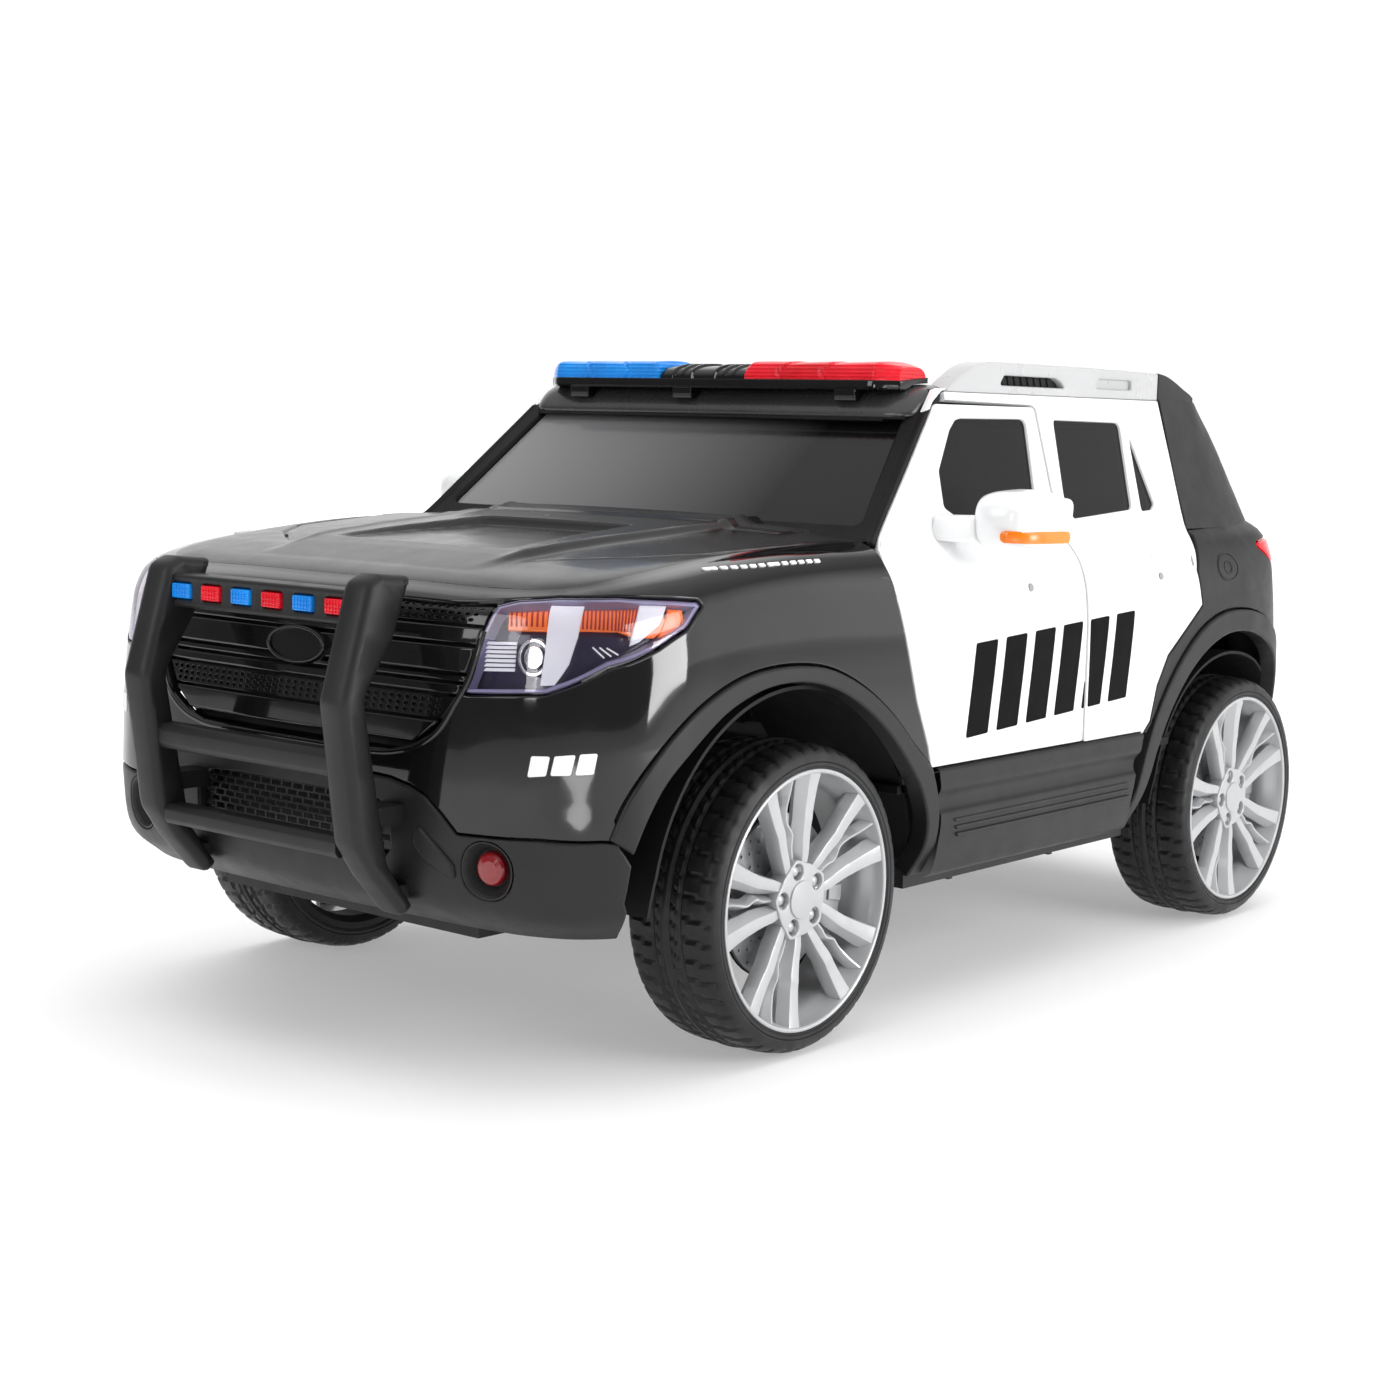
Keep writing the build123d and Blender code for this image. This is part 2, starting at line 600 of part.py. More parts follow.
# ---------------------------------------------------------------- running gear
with BuildPart() as front_beam:
    add(block(276, 306, -186, 186, 128.3, 150))
    for y in (-KINGPIN_Y, KINGPIN_Y):
        with Locations((FRONT_AXLE_X, y, 156)):
            Cylinder(radius=12, height=40)
    for y in (-KINGPIN_Y, KINGPIN_Y):
        with Locations((FRONT_AXLE_X, y, 156)):
            Cylinder(radius=AXLE_R + FIT, height=60, mode=Mode.SUBTRACT)
tidy(front_beam, "front_axle_beam")

with BuildPart() as left_knuckle:
    with Locations((FRONT_AXLE_X, KINGPIN_Y, (120 + 194) / 2)):
        Cylinder(radius=AXLE_R, height=74)
    # stub axle through the wheel
    with Locations(Location((FRONT_AXLE_X, (KINGPIN_Y - 4 + 292) / 2, AXLE_Z), (90, 0, 0))):
        Cylinder(radius=AXLE_R - 0.01, height=292 - KINGPIN_Y + 4)
    # collar that keeps the wheel off the kingpin
    with Locations(Location((FRONT_AXLE_X, 208, AXLE_Z), (90, 0, 0))):
        Cylinder(radius=11, height=6)
    # steering arm, flat bar to the rear with a pin up through the tie rod
    add(block(FRONT_AXLE_X - ARM_L - 8, FRONT_AXLE_X + 8, KINGPIN_Y - 8, KINGPIN_Y + 8, 180, 184.5))
    with Locations((FRONT_AXLE_X - ARM_L, KINGPIN_Y, 189)):
        Cylinder(radius=3, height=14)
write(keep(left_knuckle.part), "left_knuckle")
with BuildPart() as right_knuckle:
    add(mirror(left_knuckle.part, about=Plane.XZ, mode=Mode.PRIVATE))
write(keep(right_knuckle.part), "right_knuckle")

with BuildPart() as tie_rod:
    add(block(FRONT_AXLE_X - ARM_L - 7, FRONT_AXLE_X - ARM_L + 7, -KINGPIN_Y - 9, KINGPIN_Y + 9, 185, 190))
    for y in (KINGPIN_Y, -KINGPIN_Y):
        with Locations((FRONT_AXLE_X - ARM_L, y, 187.5)):
            Cylinder(radius=3 + (FIT if y > 0 else 0.4), height=12, mode=Mode.SUBTRACT)
write(keep(tie_rod.part), "tie_rod")

with BuildPart() as rear_axle:
    with Locations(Location((REAR_AXLE_X, 0, AXLE_Z), (90, 0, 0))):
        Cylinder(radius=AXLE_R, height=584)
tidy(rear_axle, "rear_axle")

with BuildPart() as gearboxes:
    for s in (1, -1):
        with BuildPart(mode=Mode.PRIVATE) as box_:
            with Locations(Location((REAR_AXLE_X, s * 180, AXLE_Z), (90, 0, 0))):
                Cylinder(radius=16.5, height=26)
            add(block(REAR_AXLE_X + 10, REAR_AXLE_X + 90, s * 180 - 13, s * 180 + 13, 109, 150))
            with Locations(Location((REAR_AXLE_X + 62, s * 140, 129), (90, 0, 0))):
                Cylinder(radius=18, height=56)
            with Locations(Location((REAR_AXLE_X, s * 180, AXLE_Z), (90, 0, 0))):
                Cylinder(radius=AXLE_R + 0.4, height=60, mode=Mode.SUBTRACT)
        add(box_.part)
tidy(gearboxes, "motor_gearboxes")

# wheels: name, axle x, side
WHEELS = [
    ("front_left", FRONT_AXLE_X, 1), ("front_right", FRONT_AXLE_X, -1),
    ("rear_left", REAR_AXLE_X, 1), ("rear_right", REAR_AXLE_X, -1),
]
# tyre section (distance from the wheel's middle plane, radius)
TYRE_SECTION = [(-44, 105.2), (-44, 113), (-40, 120), (-30, 125), (30, 125), (40, 120), (44, 113), (44, 105.2)]
# rim section: barrel with a face set just inside the outer edge
BARREL = [(-43, 105), (-43, 99), (-36, 93), (30, 93), (38, 99), (43, 99), (43, 105)]
for name, x, s in WHEELS:
    axis = Axis((x, 0, AXLE_Z), (0, 1, 0))
    with BuildPart() as tyre:
        with BuildSketch(Plane.YZ.offset(x)):
            with BuildLine():
                Polyline(*[(s * (WHEEL_Y + a), AXLE_Z + r) for a, r in TYRE_SECTION], close=True)
            make_face()
        revolve(axis=axis)
    tidy(tyre, name + "_tyre")
    with BuildPart() as rim:
        with BuildSketch(Plane.YZ.offset(x)):
            with BuildLine():
                Polyline(*[(s * (WHEEL_Y + a), AXLE_Z + r) for a, r in BARREL], close=True)
            make_face()
        revolve(axis=axis)
        # ten spokes and the hub, on the wheel's outer side
        with BuildSketch(Plane(origin=(x, s * (WHEEL_Y + 26), AXLE_Z), x_dir=(1, 0, 0), z_dir=(0, s, 0))):
            Circle(28)
            with PolarLocations(0, 10):
                with Locations((62, 0)):
                    Rectangle(72, 13)
        extrude(amount=12)
        with Locations(Location((x, s * (WHEEL_Y - 6), AXLE_Z), (90, 0, 0))):
            Cylinder(radius=14, height=72)
        # brake disc cast behind the spokes
        with Locations(Location((x, s * (WHEEL_Y + 8), AXLE_Z), (90, 0, 0))):
            Cylinder(radius=66, height=4)
        with Locations(Location((x, s * WHEEL_Y, AXLE_Z), (90, 0, 0))):
            Cylinder(radius=AXLE_R + FIT, height=120, mode=Mode.SUBTRACT)
    write(keep(rim.part), name + "_rim")

# ---------------------------------------------------------------- cabin
DASH = [(166, 398), (150, 400), (118, 395), (100, 372), (104, 338), (122, 326), (178, 326), (178, 398)]
with BuildPart() as dashboard:
    add(prism_side(DASH, -252, 252))
    # instrument hood over the middle
    add(prism_side([(118, 390), (104, 386), (98, 372), (104, 366), (124, 372)], -62, 62))
write(keep(dashboard.part), "dashboard")

dx, dz = WHEEL_HUB[0] - SHAFT_END[0], WHEEL_HUB[2] - SHAFT_END[2]
SHAFT_L = hypot(dx, dz)
COLUMN = Plane(origin=WHEEL_HUB, x_dir=(0, 1, 0), z_dir=(dx / SHAFT_L, 0, dz / SHAFT_L))
with BuildPart() as column:
    with BuildSketch(COLUMN.offset(-96)):
        Circle(15)
    extrude(amount=56)
    add(block(84, 116, -9, 9, 296, 326.0))
    with BuildSketch(COLUMN.offset(-120)):
        Circle(6 + FIT)
    extrude(amount=110, mode=Mode.SUBTRACT)
    add(block(60, 110, -20, 20, 326, 420), mode=Mode.SUBTRACT)
write(keep(column.part), "steering_column")

with BuildPart() as steering_wheel:
    with BuildSketch(COLUMN.offset(-SHAFT_L)):
        Circle(6)
    extrude(amount=SHAFT_L)
    with BuildSketch(COLUMN.offset(-12)):
        Circle(30)
    extrude(amount=22)
    with BuildSketch(COLUMN.offset(-6)):
        for a in (0, 180, 90):
            with Locations(Location((48 * cos(radians(a)), 48 * sin(radians(a)), 0), (0, 0, a))):
                Rectangle(64, 20)
    extrude(amount=8)
    with BuildSketch(Plane(origin=WHEEL_HUB, x_dir=(0, 1, 0), z_dir=(dz / SHAFT_L, 0, -dx / SHAFT_L))):
        with Locations((80, 0)):
            Circle(8)
    revolve(axis=Axis(WHEEL_HUB, (dx, 0, dz)))
write(keep(steering_wheel.part), "steering_wheel")

SEAT_SIDE = [(-116, 108), (-124, 218), (-140, 224), (-278, 214), (-296, 232), (-330, 386), (-341, 392), (-352, 386),
             (-347, 340), (-336, 200), (-336, 108)]
SEAT_HOLLOW = [(-124, 100), (-130, 212), (-142, 217), (-282, 206), (-292, 222), (-300, 250), (-324, 250), (-322, 100)]
with BuildPart() as seat:
    add(prism_side(SEAT_SIDE, -150, 150))
    add(prism_side(SEAT_HOLLOW, -143, 143), mode=Mode.SUBTRACT)
write(keep(seat.part), "seat")

with BuildPart() as battery:
    add(block(-300, -235, -75.5, 75.5, 108, 202))
tidy(battery, "battery")

with BuildPart() as deck:
    add(prism_plan(both_sides([(-300, 153), (-300, 282), (-500, 282), (-560, 262), (-592, 226), (-606, 120)]), 300, 304))
    add(block(-352.5, -290, -153, 153, 290, 310), mode=Mode.SUBTRACT)
    add(block(-358, -354, -153, 153, 108, 300))
    for y0, y1 in ((153, 282), (-282, -153)):
        add(block(-300, -296, y0, y1, 200, 304))
        add(block(-300, -256, y0, y1, 200, 204))
    add(body_inner, mode=Mode.INTERSECT)
write(keep(deck.part), "load_deck")

with BuildPart() as pedal:
    with BuildSketch(Plane.XZ.offset(-0)):
        with BuildLine():
            Polyline((150, 108), (158, 108), (140, 160), (134, 157), close=True)
        make_face()
    extrude(amount=46)
tidy(pedal, "accelerator_pedal")
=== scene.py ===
import json
import math
import random

import bpy
import bmesh
import numpy as np
from mathutils import Matrix, Vector
from mathutils.geometry import delaunay_2d_cdt


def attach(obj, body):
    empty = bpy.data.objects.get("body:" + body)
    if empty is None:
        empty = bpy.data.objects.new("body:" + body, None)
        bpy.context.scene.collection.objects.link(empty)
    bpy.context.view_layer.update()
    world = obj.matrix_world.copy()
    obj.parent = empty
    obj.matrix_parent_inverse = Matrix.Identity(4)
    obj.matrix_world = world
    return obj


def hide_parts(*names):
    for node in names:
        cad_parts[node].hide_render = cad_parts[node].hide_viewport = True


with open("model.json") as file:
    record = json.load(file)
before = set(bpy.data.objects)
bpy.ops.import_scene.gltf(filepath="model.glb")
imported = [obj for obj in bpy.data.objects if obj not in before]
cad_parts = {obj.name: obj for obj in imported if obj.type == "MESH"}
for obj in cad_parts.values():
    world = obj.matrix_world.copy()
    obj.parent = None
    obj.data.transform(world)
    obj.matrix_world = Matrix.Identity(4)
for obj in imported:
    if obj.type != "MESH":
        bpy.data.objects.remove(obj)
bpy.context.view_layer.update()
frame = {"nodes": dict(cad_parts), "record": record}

random.seed(7)
MM = 0.001
NODES = frame["nodes"]


# ------------------------------------------------------------------ small maths
def unit(v):
    v = np.asarray(v, float)
    return v / (np.linalg.norm(v, axis=-1, keepdims=True) + 1e-12)


def cubic(x, y, xq):
    """Smooth curve through rows y at x."""
    x = np.asarray(x, float); y = np.asarray(y, float); xq = np.asarray(xq, float)
    h = np.diff(x); sh = (-1,) + (1,) * (y.ndim - 1)
    d = np.diff(y, axis=0) / h.reshape(sh)
    m = np.zeros_like(y)
    m[1:-1] = (d[:-1] * h[1:].reshape(sh) + d[1:] * h[:-1].reshape(sh)) / (h[1:] + h[:-1]).reshape(sh)
    m[0] = d[0]; m[-1] = d[-1]
    i = np.clip(np.searchsorted(x, xq, side="right") - 1, 0, len(h) - 1)
    t = ((xq - x[i]) / h[i]).reshape(sh); hh = h[i].reshape(sh)
    return ((2 * t**3 - 3 * t**2 + 1) * y[i] + (t**3 - 2 * t**2 + t) * hh * m[i]
            + (-2 * t**3 + 3 * t**2) * y[i + 1] + (t**3 - t**2) * hh * m[i + 1])


class Loft:
    """Surface through a net of points in mm: rows of sections, each with the same number of points.
    Flat coordinates (s, t) are roughly millimetres along the rows and up the sections."""

    def __init__(self, net, nu=400, nv=120, side=(0, 1, 0)):
        net = np.array(net, float)
        self.nu, self.nv = nu, nv
        mid = net[:, net.shape[1] // 2]
        a = np.r_[0, np.cumsum(np.linalg.norm(np.diff(mid, axis=0), axis=1))]
        b = np.r_[0, np.cumsum(np.linalg.norm(np.diff(net, axis=1), axis=2).mean(0))]
        self.size = np.array([a[-1], b[-1]])
        a = a / a[-1]; b = b / b[-1]
        g = cubic(a, net, np.linspace(0, 1, nu))
        g = cubic(b, np.swapaxes(g, 0, 1), np.linspace(0, 1, nv))
        self.G = np.swapaxes(g, 0, 1)
        n = unit(np.cross(np.gradient(self.G, axis=0), np.gradient(self.G, axis=1)))
        if (n[nu // 2, nv // 2] @ np.asarray(side, float)) < 0:
            n = -n
        self.N = n

    def _mix(self, A, st):
        uv = np.asarray(st, float).reshape(-1, 2) / self.size
        x = np.clip(uv[:, 0], 0, 1) * (self.nu - 1); y = np.clip(uv[:, 1], 0, 1) * (self.nv - 1)
        i = np.minimum(x.astype(int), self.nu - 2); j = np.minimum(y.astype(int), self.nv - 2)
        fx = (x - i)[:, None]; fy = (y - j)[:, None]
        return (A[i, j] * (1 - fx) * (1 - fy) + A[i + 1, j] * fx * (1 - fy)
                + A[i, j + 1] * (1 - fx) * fy + A[i + 1, j + 1] * fx * fy)

    def at(self, st):
        return self._mix(self.G, st)

    def normal(self, st):
        return unit(self._mix(self.N, st))

    def near(self, points, dims=(0, 1, 2), xmin=None):
        """Flat coordinates of the surface places closest to the points, in the given axes."""
        out = []
        dims = list(dims)
        sub = self.G[:, :, dims].reshape(-1, len(dims))
        if xmin is not None:
            sub = np.where((self.G[:, :, 0] > xmin).reshape(-1, 1), sub, 1e6)
        for p in np.asarray(points, float).reshape(-1, len(dims)):
            k = int(np.argmin(((sub - p) ** 2).sum(1)))
            st = np.array([(k // self.nv) / (self.nu - 1), (k % self.nv) / (self.nv - 1)]) * self.size
            for _ in range(6):
                e = 0.6
                q = self.at([st])[0][dims]
                ps = (self.at([st + [e, 0]])[0][dims] - self.at([st - [e, 0]])[0][dims]) / (2 * e)
                pt = (self.at([st + [0, e]])[0][dims] - self.at([st - [0, e]])[0][dims]) / (2 * e)
                A = np.array([ps, pt]).T
                step = np.linalg.lstsq(A, p - q, rcond=None)[0]
                st = np.clip(st + np.clip(step, -4, 4), 0, self.size)
            out.append(st)
        return np.array(out)

    def side(self, points):
        return self.near(points, (0, 2))

    def front(self, points):
        return self.near(points, (1, 2))

    def top(self, points):
        return self.near(points, (0, 1))


# ------------------------------------------------------------------ outlines
def area2(p):
    x, y = p[:, 0], p[:, 1]
    return float(np.sum(x * np.roll(y, -1) - np.roll(x, -1) * y))


def ccw(p):
    p = np.asarray(p, float)
    return p if area2(p) > 0 else p[::-1].copy()


def fillet(points, radius, step=3.0):
    """Closed outline with rounded corners."""
    p = np.asarray(points, float); n = len(p)
    rad = np.broadcast_to(np.asarray(radius, float), (n,))
    out = []
    for i in range(n):
        a, b, c = p[i - 1], p[i], p[(i + 1) % n]
        u, v = a - b, c - b
        lu, lv = np.linalg.norm(u), np.linalg.norm(v)
        u, v = u / lu, v / lv
        cosang = np.clip(u @ v, -1, 1); half = math.acos(cosang) / 2
        if half > 1.5 or rad[i] < 0.05:
            out.append(b); continue
        d = min(rad[i] / math.tan(half), lu * 0.48, lv * 0.48)
        k = max(2, int(math.ceil((math.pi - 2 * half) / 0.35)))
        for j in range(k + 1):
            t = j / k
            out.append((1 - t) ** 2 * (b + u * d) + 2 * t * (1 - t) * b + t * t * (b + v * d))
    return np.array(out)


def resample(points, step, closed=True):
    """Adds points so that no side is longer than step, keeping the given ones."""
    p = np.asarray(points, float); out = []
    n = len(p) if closed else len(p) - 1
    for i in range(n):
        a, b = p[i], p[(i + 1) % len(p)]
        k = max(1, int(math.ceil(np.linalg.norm(b - a) / step)))
        for j in range(k):
            out.append(a + (b - a) * j / k)
    if not closed:
        out.append(p[-1])
    return np.array(out)


def drop_close(p, d=0.25):
    keep = [p[0]]
    for q in p[1:]:
        if np.linalg.norm(q - keep[-1]) > d:
            keep.append(q)
    if np.linalg.norm(keep[0] - keep[-1]) <= d:
        keep.pop()
    return np.array(keep)


def shift(p, d):
    """Closed outline moved to its left by d."""
    p = np.asarray(p, float)
    a = unit(p - np.roll(p, 1, axis=0)); b = unit(np.roll(p, -1, axis=0) - p)
    na = np.stack([-a[:, 1], a[:, 0]], 1); nb = np.stack([-b[:, 1], b[:, 0]], 1)
    m = unit(na + nb)
    k = 1 / np.clip((m * na).sum(1), 0.45, 1)
    return p + m * (d * k)[:, None]


def circle(c, r, n=24, ry=None, turn=0.0):
    t = np.linspace(0, 2 * math.pi, n, endpoint=False)
    x = r * np.cos(t); y = (ry or r) * np.sin(t)
    ca, sa = math.cos(turn), math.sin(turn)
    return np.stack([c[0] + ca * x - sa * y, c[1] + sa * x + ca * y], 1)


def curve2(points, n, closed=False):
    """Smooth line through points, n points long."""
    p = np.asarray(points, float)
    if closed:
        p = np.vstack([p[-2:], p, p[:3]])
    d = np.r_[0, np.cumsum(np.linalg.norm(np.diff(p, axis=0), axis=1))]
    if closed:
        return cubic(d, p, np.linspace(d[2], d[-3], n + 1)[:-1])
    return cubic(d, p, np.linspace(0, d[-1], n))


def inside(pts, poly):
    x, y = pts[:, 0], pts[:, 1]
    res = np.zeros(len(pts), bool)
    j = len(poly) - 1
    for i in range(len(poly)):
        xi, yi = poly[i]; xj, yj = poly[j]
        c = ((yi > y) != (yj > y)) & (x < (xj - xi) * (y - yi) / (yj - yi + 1e-12) + xi)
        res ^= c
        j = i
    return res


def far_from(pts, loop, d):
    q = resample(loop, d * 0.7)
    out = np.ones(len(pts), bool)
    for i in range(0, len(pts), 400):
        dd = ((pts[i:i + 400, None] - q[None]) ** 2).sum(2).min(1)
        out[i:i + 400] = dd > d * d
    return out


def fill(loops, grid):
    """Triangles over the area inside loops[0] and outside the others. Returns points and triangles; the loops' points come first."""
    pts = np.vstack(loops)
    edges = []; k = 0
    for lp in loops:
        n = len(lp); edges += [(k + i, k + (i + 1) % n) for i in range(n)]; k += n
    if grid:
        lo, hi = pts.min(0), pts.max(0)
        gx = np.arange(lo[0] + grid / 2, hi[0], grid); gy = np.arange(lo[1] + grid / 2, hi[1], grid * 0.87)
        X, Y = np.meshgrid(gx, gy)
        X = X + (np.arange(len(gy)) % 2)[:, None] * grid / 2
        g = np.stack([X.ravel(), Y.ravel()], 1)
        m = inside(g, loops[0])
        for lp in loops[1:]:
            m &= ~inside(g, lp)
        g = g[m]
        for lp in loops:
            if len(g):
                g = g[far_from(g, lp, grid * 0.45)]
    else:
        g = np.zeros((0, 2))
    allp = np.vstack([pts, g]) if len(g) else pts
    v, e, f, ov, oe, of_ = delaunay_2d_cdt([Vector((float(a), float(b))) for a, b in allp], edges, [], 0, 1e-6)
    V = np.array([(a.x, a.y) for a in v])
    tri = []
    cen = np.array([[sum(V[i][0] for i in t) / 3, sum(V[i][1] for i in t) / 3] for t in f])
    ok = inside(cen, loops[0])
    for lp in loops[1:]:
        ok &= ~inside(cen, lp)
    for t, good in zip(f, ok):
        if good:
            a, b, c = (V[i] for i in t)
            if (b[0] - a[0]) * (c[1] - a[1]) - (b[1] - a[1]) * (c[0] - a[0]) < 0:
                t = t[::-1]
            tri.append(tuple(t))
    return V, tri


# ------------------------------------------------------------------ making objects
MATS = {}
made = {}


def new_object(name, verts, faces, mat, body="body", smooth=35.0, replaces=(), slot=None, normals=None, bevel=0.0, seg=2):
    """verts in mm."""
    # nothing stands past the printed size
    verts = np.array(verts, float)
    verts[:, 0] = np.clip(verts[:, 0], -624.8, 624.8); verts[:, 1] = np.clip(verts[:, 1], -356.8, 356.8)
    me = bpy.data.meshes.new(name)
    me.from_pydata((np.asarray(verts, float) * MM).tolist(), [], [tuple(int(i) for i in f) for f in faces])
    me.validate()
    mats = mat if isinstance(mat, (list, tuple)) else [mat]
    for m in mats:
        me.materials.append(MATS[m])
    me.shade_smooth()
    if normals is not None:
        if len(normals) == len(me.vertices):
            me.normals_split_custom_set_from_vertices([tuple(n) for n in normals])
    elif smooth:
        me.set_sharp_from_angle(angle=math.radians(smooth))
    ob = bpy.data.objects.new(name, me)
    bpy.context.scene.collection.objects.link(ob)
    if bevel:
        b = ob.modifiers.new("edges", "BEVEL")
        b.width = bevel * MM; b.segments = seg; b.limit_method = "ANGLE"; b.angle_limit = math.radians(28)
        b.harden_normals = False
        b.use_clamp_overlap = True
    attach(ob, body)
    if replaces:
        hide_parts(*replaces)
    made[name] = ob
    return ob


class Shape:
    """Collects vertices and faces in mm, with a material index per face."""

    def __init__(self):
        self.v = []; self.f = []; self.m = []; self.n = 0

    def add(self, verts, faces, mat=0):
        verts = np.asarray(verts, float)
        k = self.n
        self.v.append(verts); self.n += len(verts)
        for f in faces:
            self.f.append(tuple(int(i) + k for i in f)); self.m.append(mat)
        return self

    def flip(self):
        self.f = [f[::-1] for f in self.f]
        return self

    def mirrored(self):
        """Adds the same shape on the other side of the middle plane."""
        V = np.vstack(self.v).copy(); V[:, 1] *= -1
        F = [f[::-1] for f in self.f]; M = list(self.m)
        k = self.n
        self.v.append(V); self.n += len(V)
        self.f += [tuple(i + k for i in f) for f in F]; self.m += M
        return self

    def other(self):
        """The same shape on the other side only."""
        s = Shape(); V = np.vstack(self.v).copy(); V[:, 1] *= -1
        s.v = [V]; s.n = len(V); s.f = [f[::-1] for f in self.f]; s.m = list(self.m)
        return s

    def verts(self):
        return np.vstack(self.v)

    def make(self, name, mat, **kw):
        ob = new_object(name, self.verts(), self.f, mat, **kw)
        if any(self.m):
            for p, i in zip(ob.data.polygons, self.m):
                p.material_index = i
        return ob


def strip(a, b, closed=True):
    """Quads between two loops of equal length that start at vertex numbers a and b: (a, n), (b, n)."""
    (a0, n), (b0, _) = a, b
    out = []
    for i in range(n if closed else n - 1):
        j = (i + 1) % n
        out.append((a0 + i, a0 + j, b0 + j, b0 + i))
    return out


def prism(shape, outline, axis, lo, hi, mat=0, holes=(), edge=0.0):
    """Outline extruded along axis 'x', 'y' or 'z' from lo to hi, closed. Outline axes: side (x,z) for y; front (y,z) for x; plan (x,y) for z.
    edge rounds the two rims by that much, holes included."""
    def place(p2, h):
        h = np.broadcast_to(h, (len(p2),))
        if axis == "y":
            return np.stack([p2[:, 0], h, p2[:, 1]], 1)
        if axis == "x":
            return np.stack([h, p2[:, 0], p2[:, 1]], 1)
        return np.stack([p2[:, 0], p2[:, 1], h], 1)
    flip = axis == "y"
    loops = [ccw(outline)] + [ccw(h)[::-1] for h in holes]
    prof = [(0.0, 0.0)]
    if edge:
        prof = [(edge * (1 - math.sin(a)), edge * (1 - math.cos(a))) for a in (0, math.pi / 6, math.pi / 3, math.pi / 2)]
    # prof: (inset, depth) from the flat face to the wall
    rings = []
    for side in (hi, lo):
        sgn = -1 if side == hi else 1
        for ins, dep in (prof if side == hi else prof[::-1]):
            rings.append([place(shift(lp, ins) if ins else lp, side + sgn * dep) for lp in loops])
    inner = [shift(lp, prof[0][0]) if prof[0][0] else lp for lp in loops]
    V2, tri = fill(inner, 0)
    nb = sum(len(lp) for lp in loops)
    base = shape.n
    V = []; F = []
    # ring vertices
    for r in rings:
        V.append(np.vstack(r))
    counts = [len(lp) for lp in loops]
    for k in range(len(rings) - 1):
        off = 0
        for c in counts:
            for i in range(c):
                j = (i + 1) % c
                a, b = k * nb + off + i, k * nb + off + j
                a2, b2 = (k + 1) * nb + off + i, (k + 1) * nb + off + j
                q = (a, a2, b2, b)
                F.append(q[::-1] if flip else q)
            off += c
    extra = V2[nb:]
    top0 = 0; last = (len(rings) - 1) * nb
    e1 = len(rings) * nb
    if len(extra):
        V.append(place(extra, hi)); V.append(place(extra, lo))
    def idx(i, which):
        if i < nb:
            return (top0 if which == 0 else last) + i
        return e1 + (i - nb) + (0 if which == 0 else len(extra))
    for t in tri:
        a = tuple(idx(i, 0) for i in t); b = tuple(idx(i, 1) for i in t)[::-1]
        if flip:
            a, b = a[::-1], b[::-1]
        F.append(a); F.append(b)
    shape.add(np.vstack(V), F, mat)
    return shape


def box(shape, x0, x1, y0, y1, z0, z1, mat=0):
    v = [(x, y, z) for x in (x0, x1) for y in (y0, y1) for z in (z0, z1)]
    f = [(0, 1, 3, 2), (4, 6, 7, 5), (0, 4, 5, 1), (2, 3, 7, 6), (0, 2, 6, 4), (1, 5, 7, 3)]
    return shape.add(v, f, mat)


def turned(shape, profile, centre, axis="y", n=48, mat=0, start=0.0, closed=True, side=1):
    """Profile (along the axis, radius) turned about it."""
    prof = np.asarray(profile, float); m = len(prof)
    V = []
    for i in range(n):
        a = start + 2 * math.pi * i / n
        c, s = math.cos(a), math.sin(a)
        for h, r in prof:
            if axis == "y":
                V.append((centre[0] + r * c, centre[1] + side * h, centre[2] + r * s))
            elif axis == "x":
                V.append((centre[0] + side * h, centre[1] + r * c, centre[2] + r * s))
            else:
                V.append((centre[0] + r * c, centre[1] + r * s, centre[2] + side * h))
    F = []
    for i in range(n):
        j = (i + 1) % n
        for k in range(m - 1 + (1 if closed else 0)):
            l = (k + 1) % m
            if prof[k][1] < 1e-6 and prof[l][1] < 1e-6:
                continue
            F.append((i * m + k, i * m + l, j * m + l, j * m + k))
    shape.add(V, F, mat)
    return shape


def tube_path(shape, pts, r, n=12, mat=0, cap=True):
    """Round bar along 3D points in mm."""
    P = np.asarray(pts, float); T = unit(np.gradient(P, axis=0))
    up = np.array([0, 0, 1.0]) if abs(T[0][2]) < 0.9 else np.array([1.0, 0, 0])
    rr = np.broadcast_to(r, (len(P),))
    V = []; a = unit(np.cross(T[0], up))
    for i in range(len(P)):
        a = unit(a - T[i] * (a @ T[i])); b = np.cross(T[i], a)
        for k in range(n):
            t = 2 * math.pi * k / n
            V.append(P[i] + rr[i] * (math.cos(t) * a + math.sin(t) * b))
    F = []
    for i in range(len(P) - 1):
        for k in range(n):
            l = (k + 1) % n
            F.append((i * n + k, i * n + l, (i + 1) * n + l, (i + 1) * n + k))
    if cap:
        F.append(tuple(range(n))[::-1]); F.append(tuple((len(P) - 1) * n + k for k in range(n)))
    return shape.add(V, F, mat)


def weld(ob, d=0.02):
    bm = bmesh.new(); bm.from_mesh(ob.data)
    bmesh.ops.remove_doubles(bm, verts=bm.verts, dist=d * MM)
    bmesh.ops.recalc_face_normals(bm, faces=bm.faces)
    bm.to_mesh(ob.data); bm.free()
    return ob


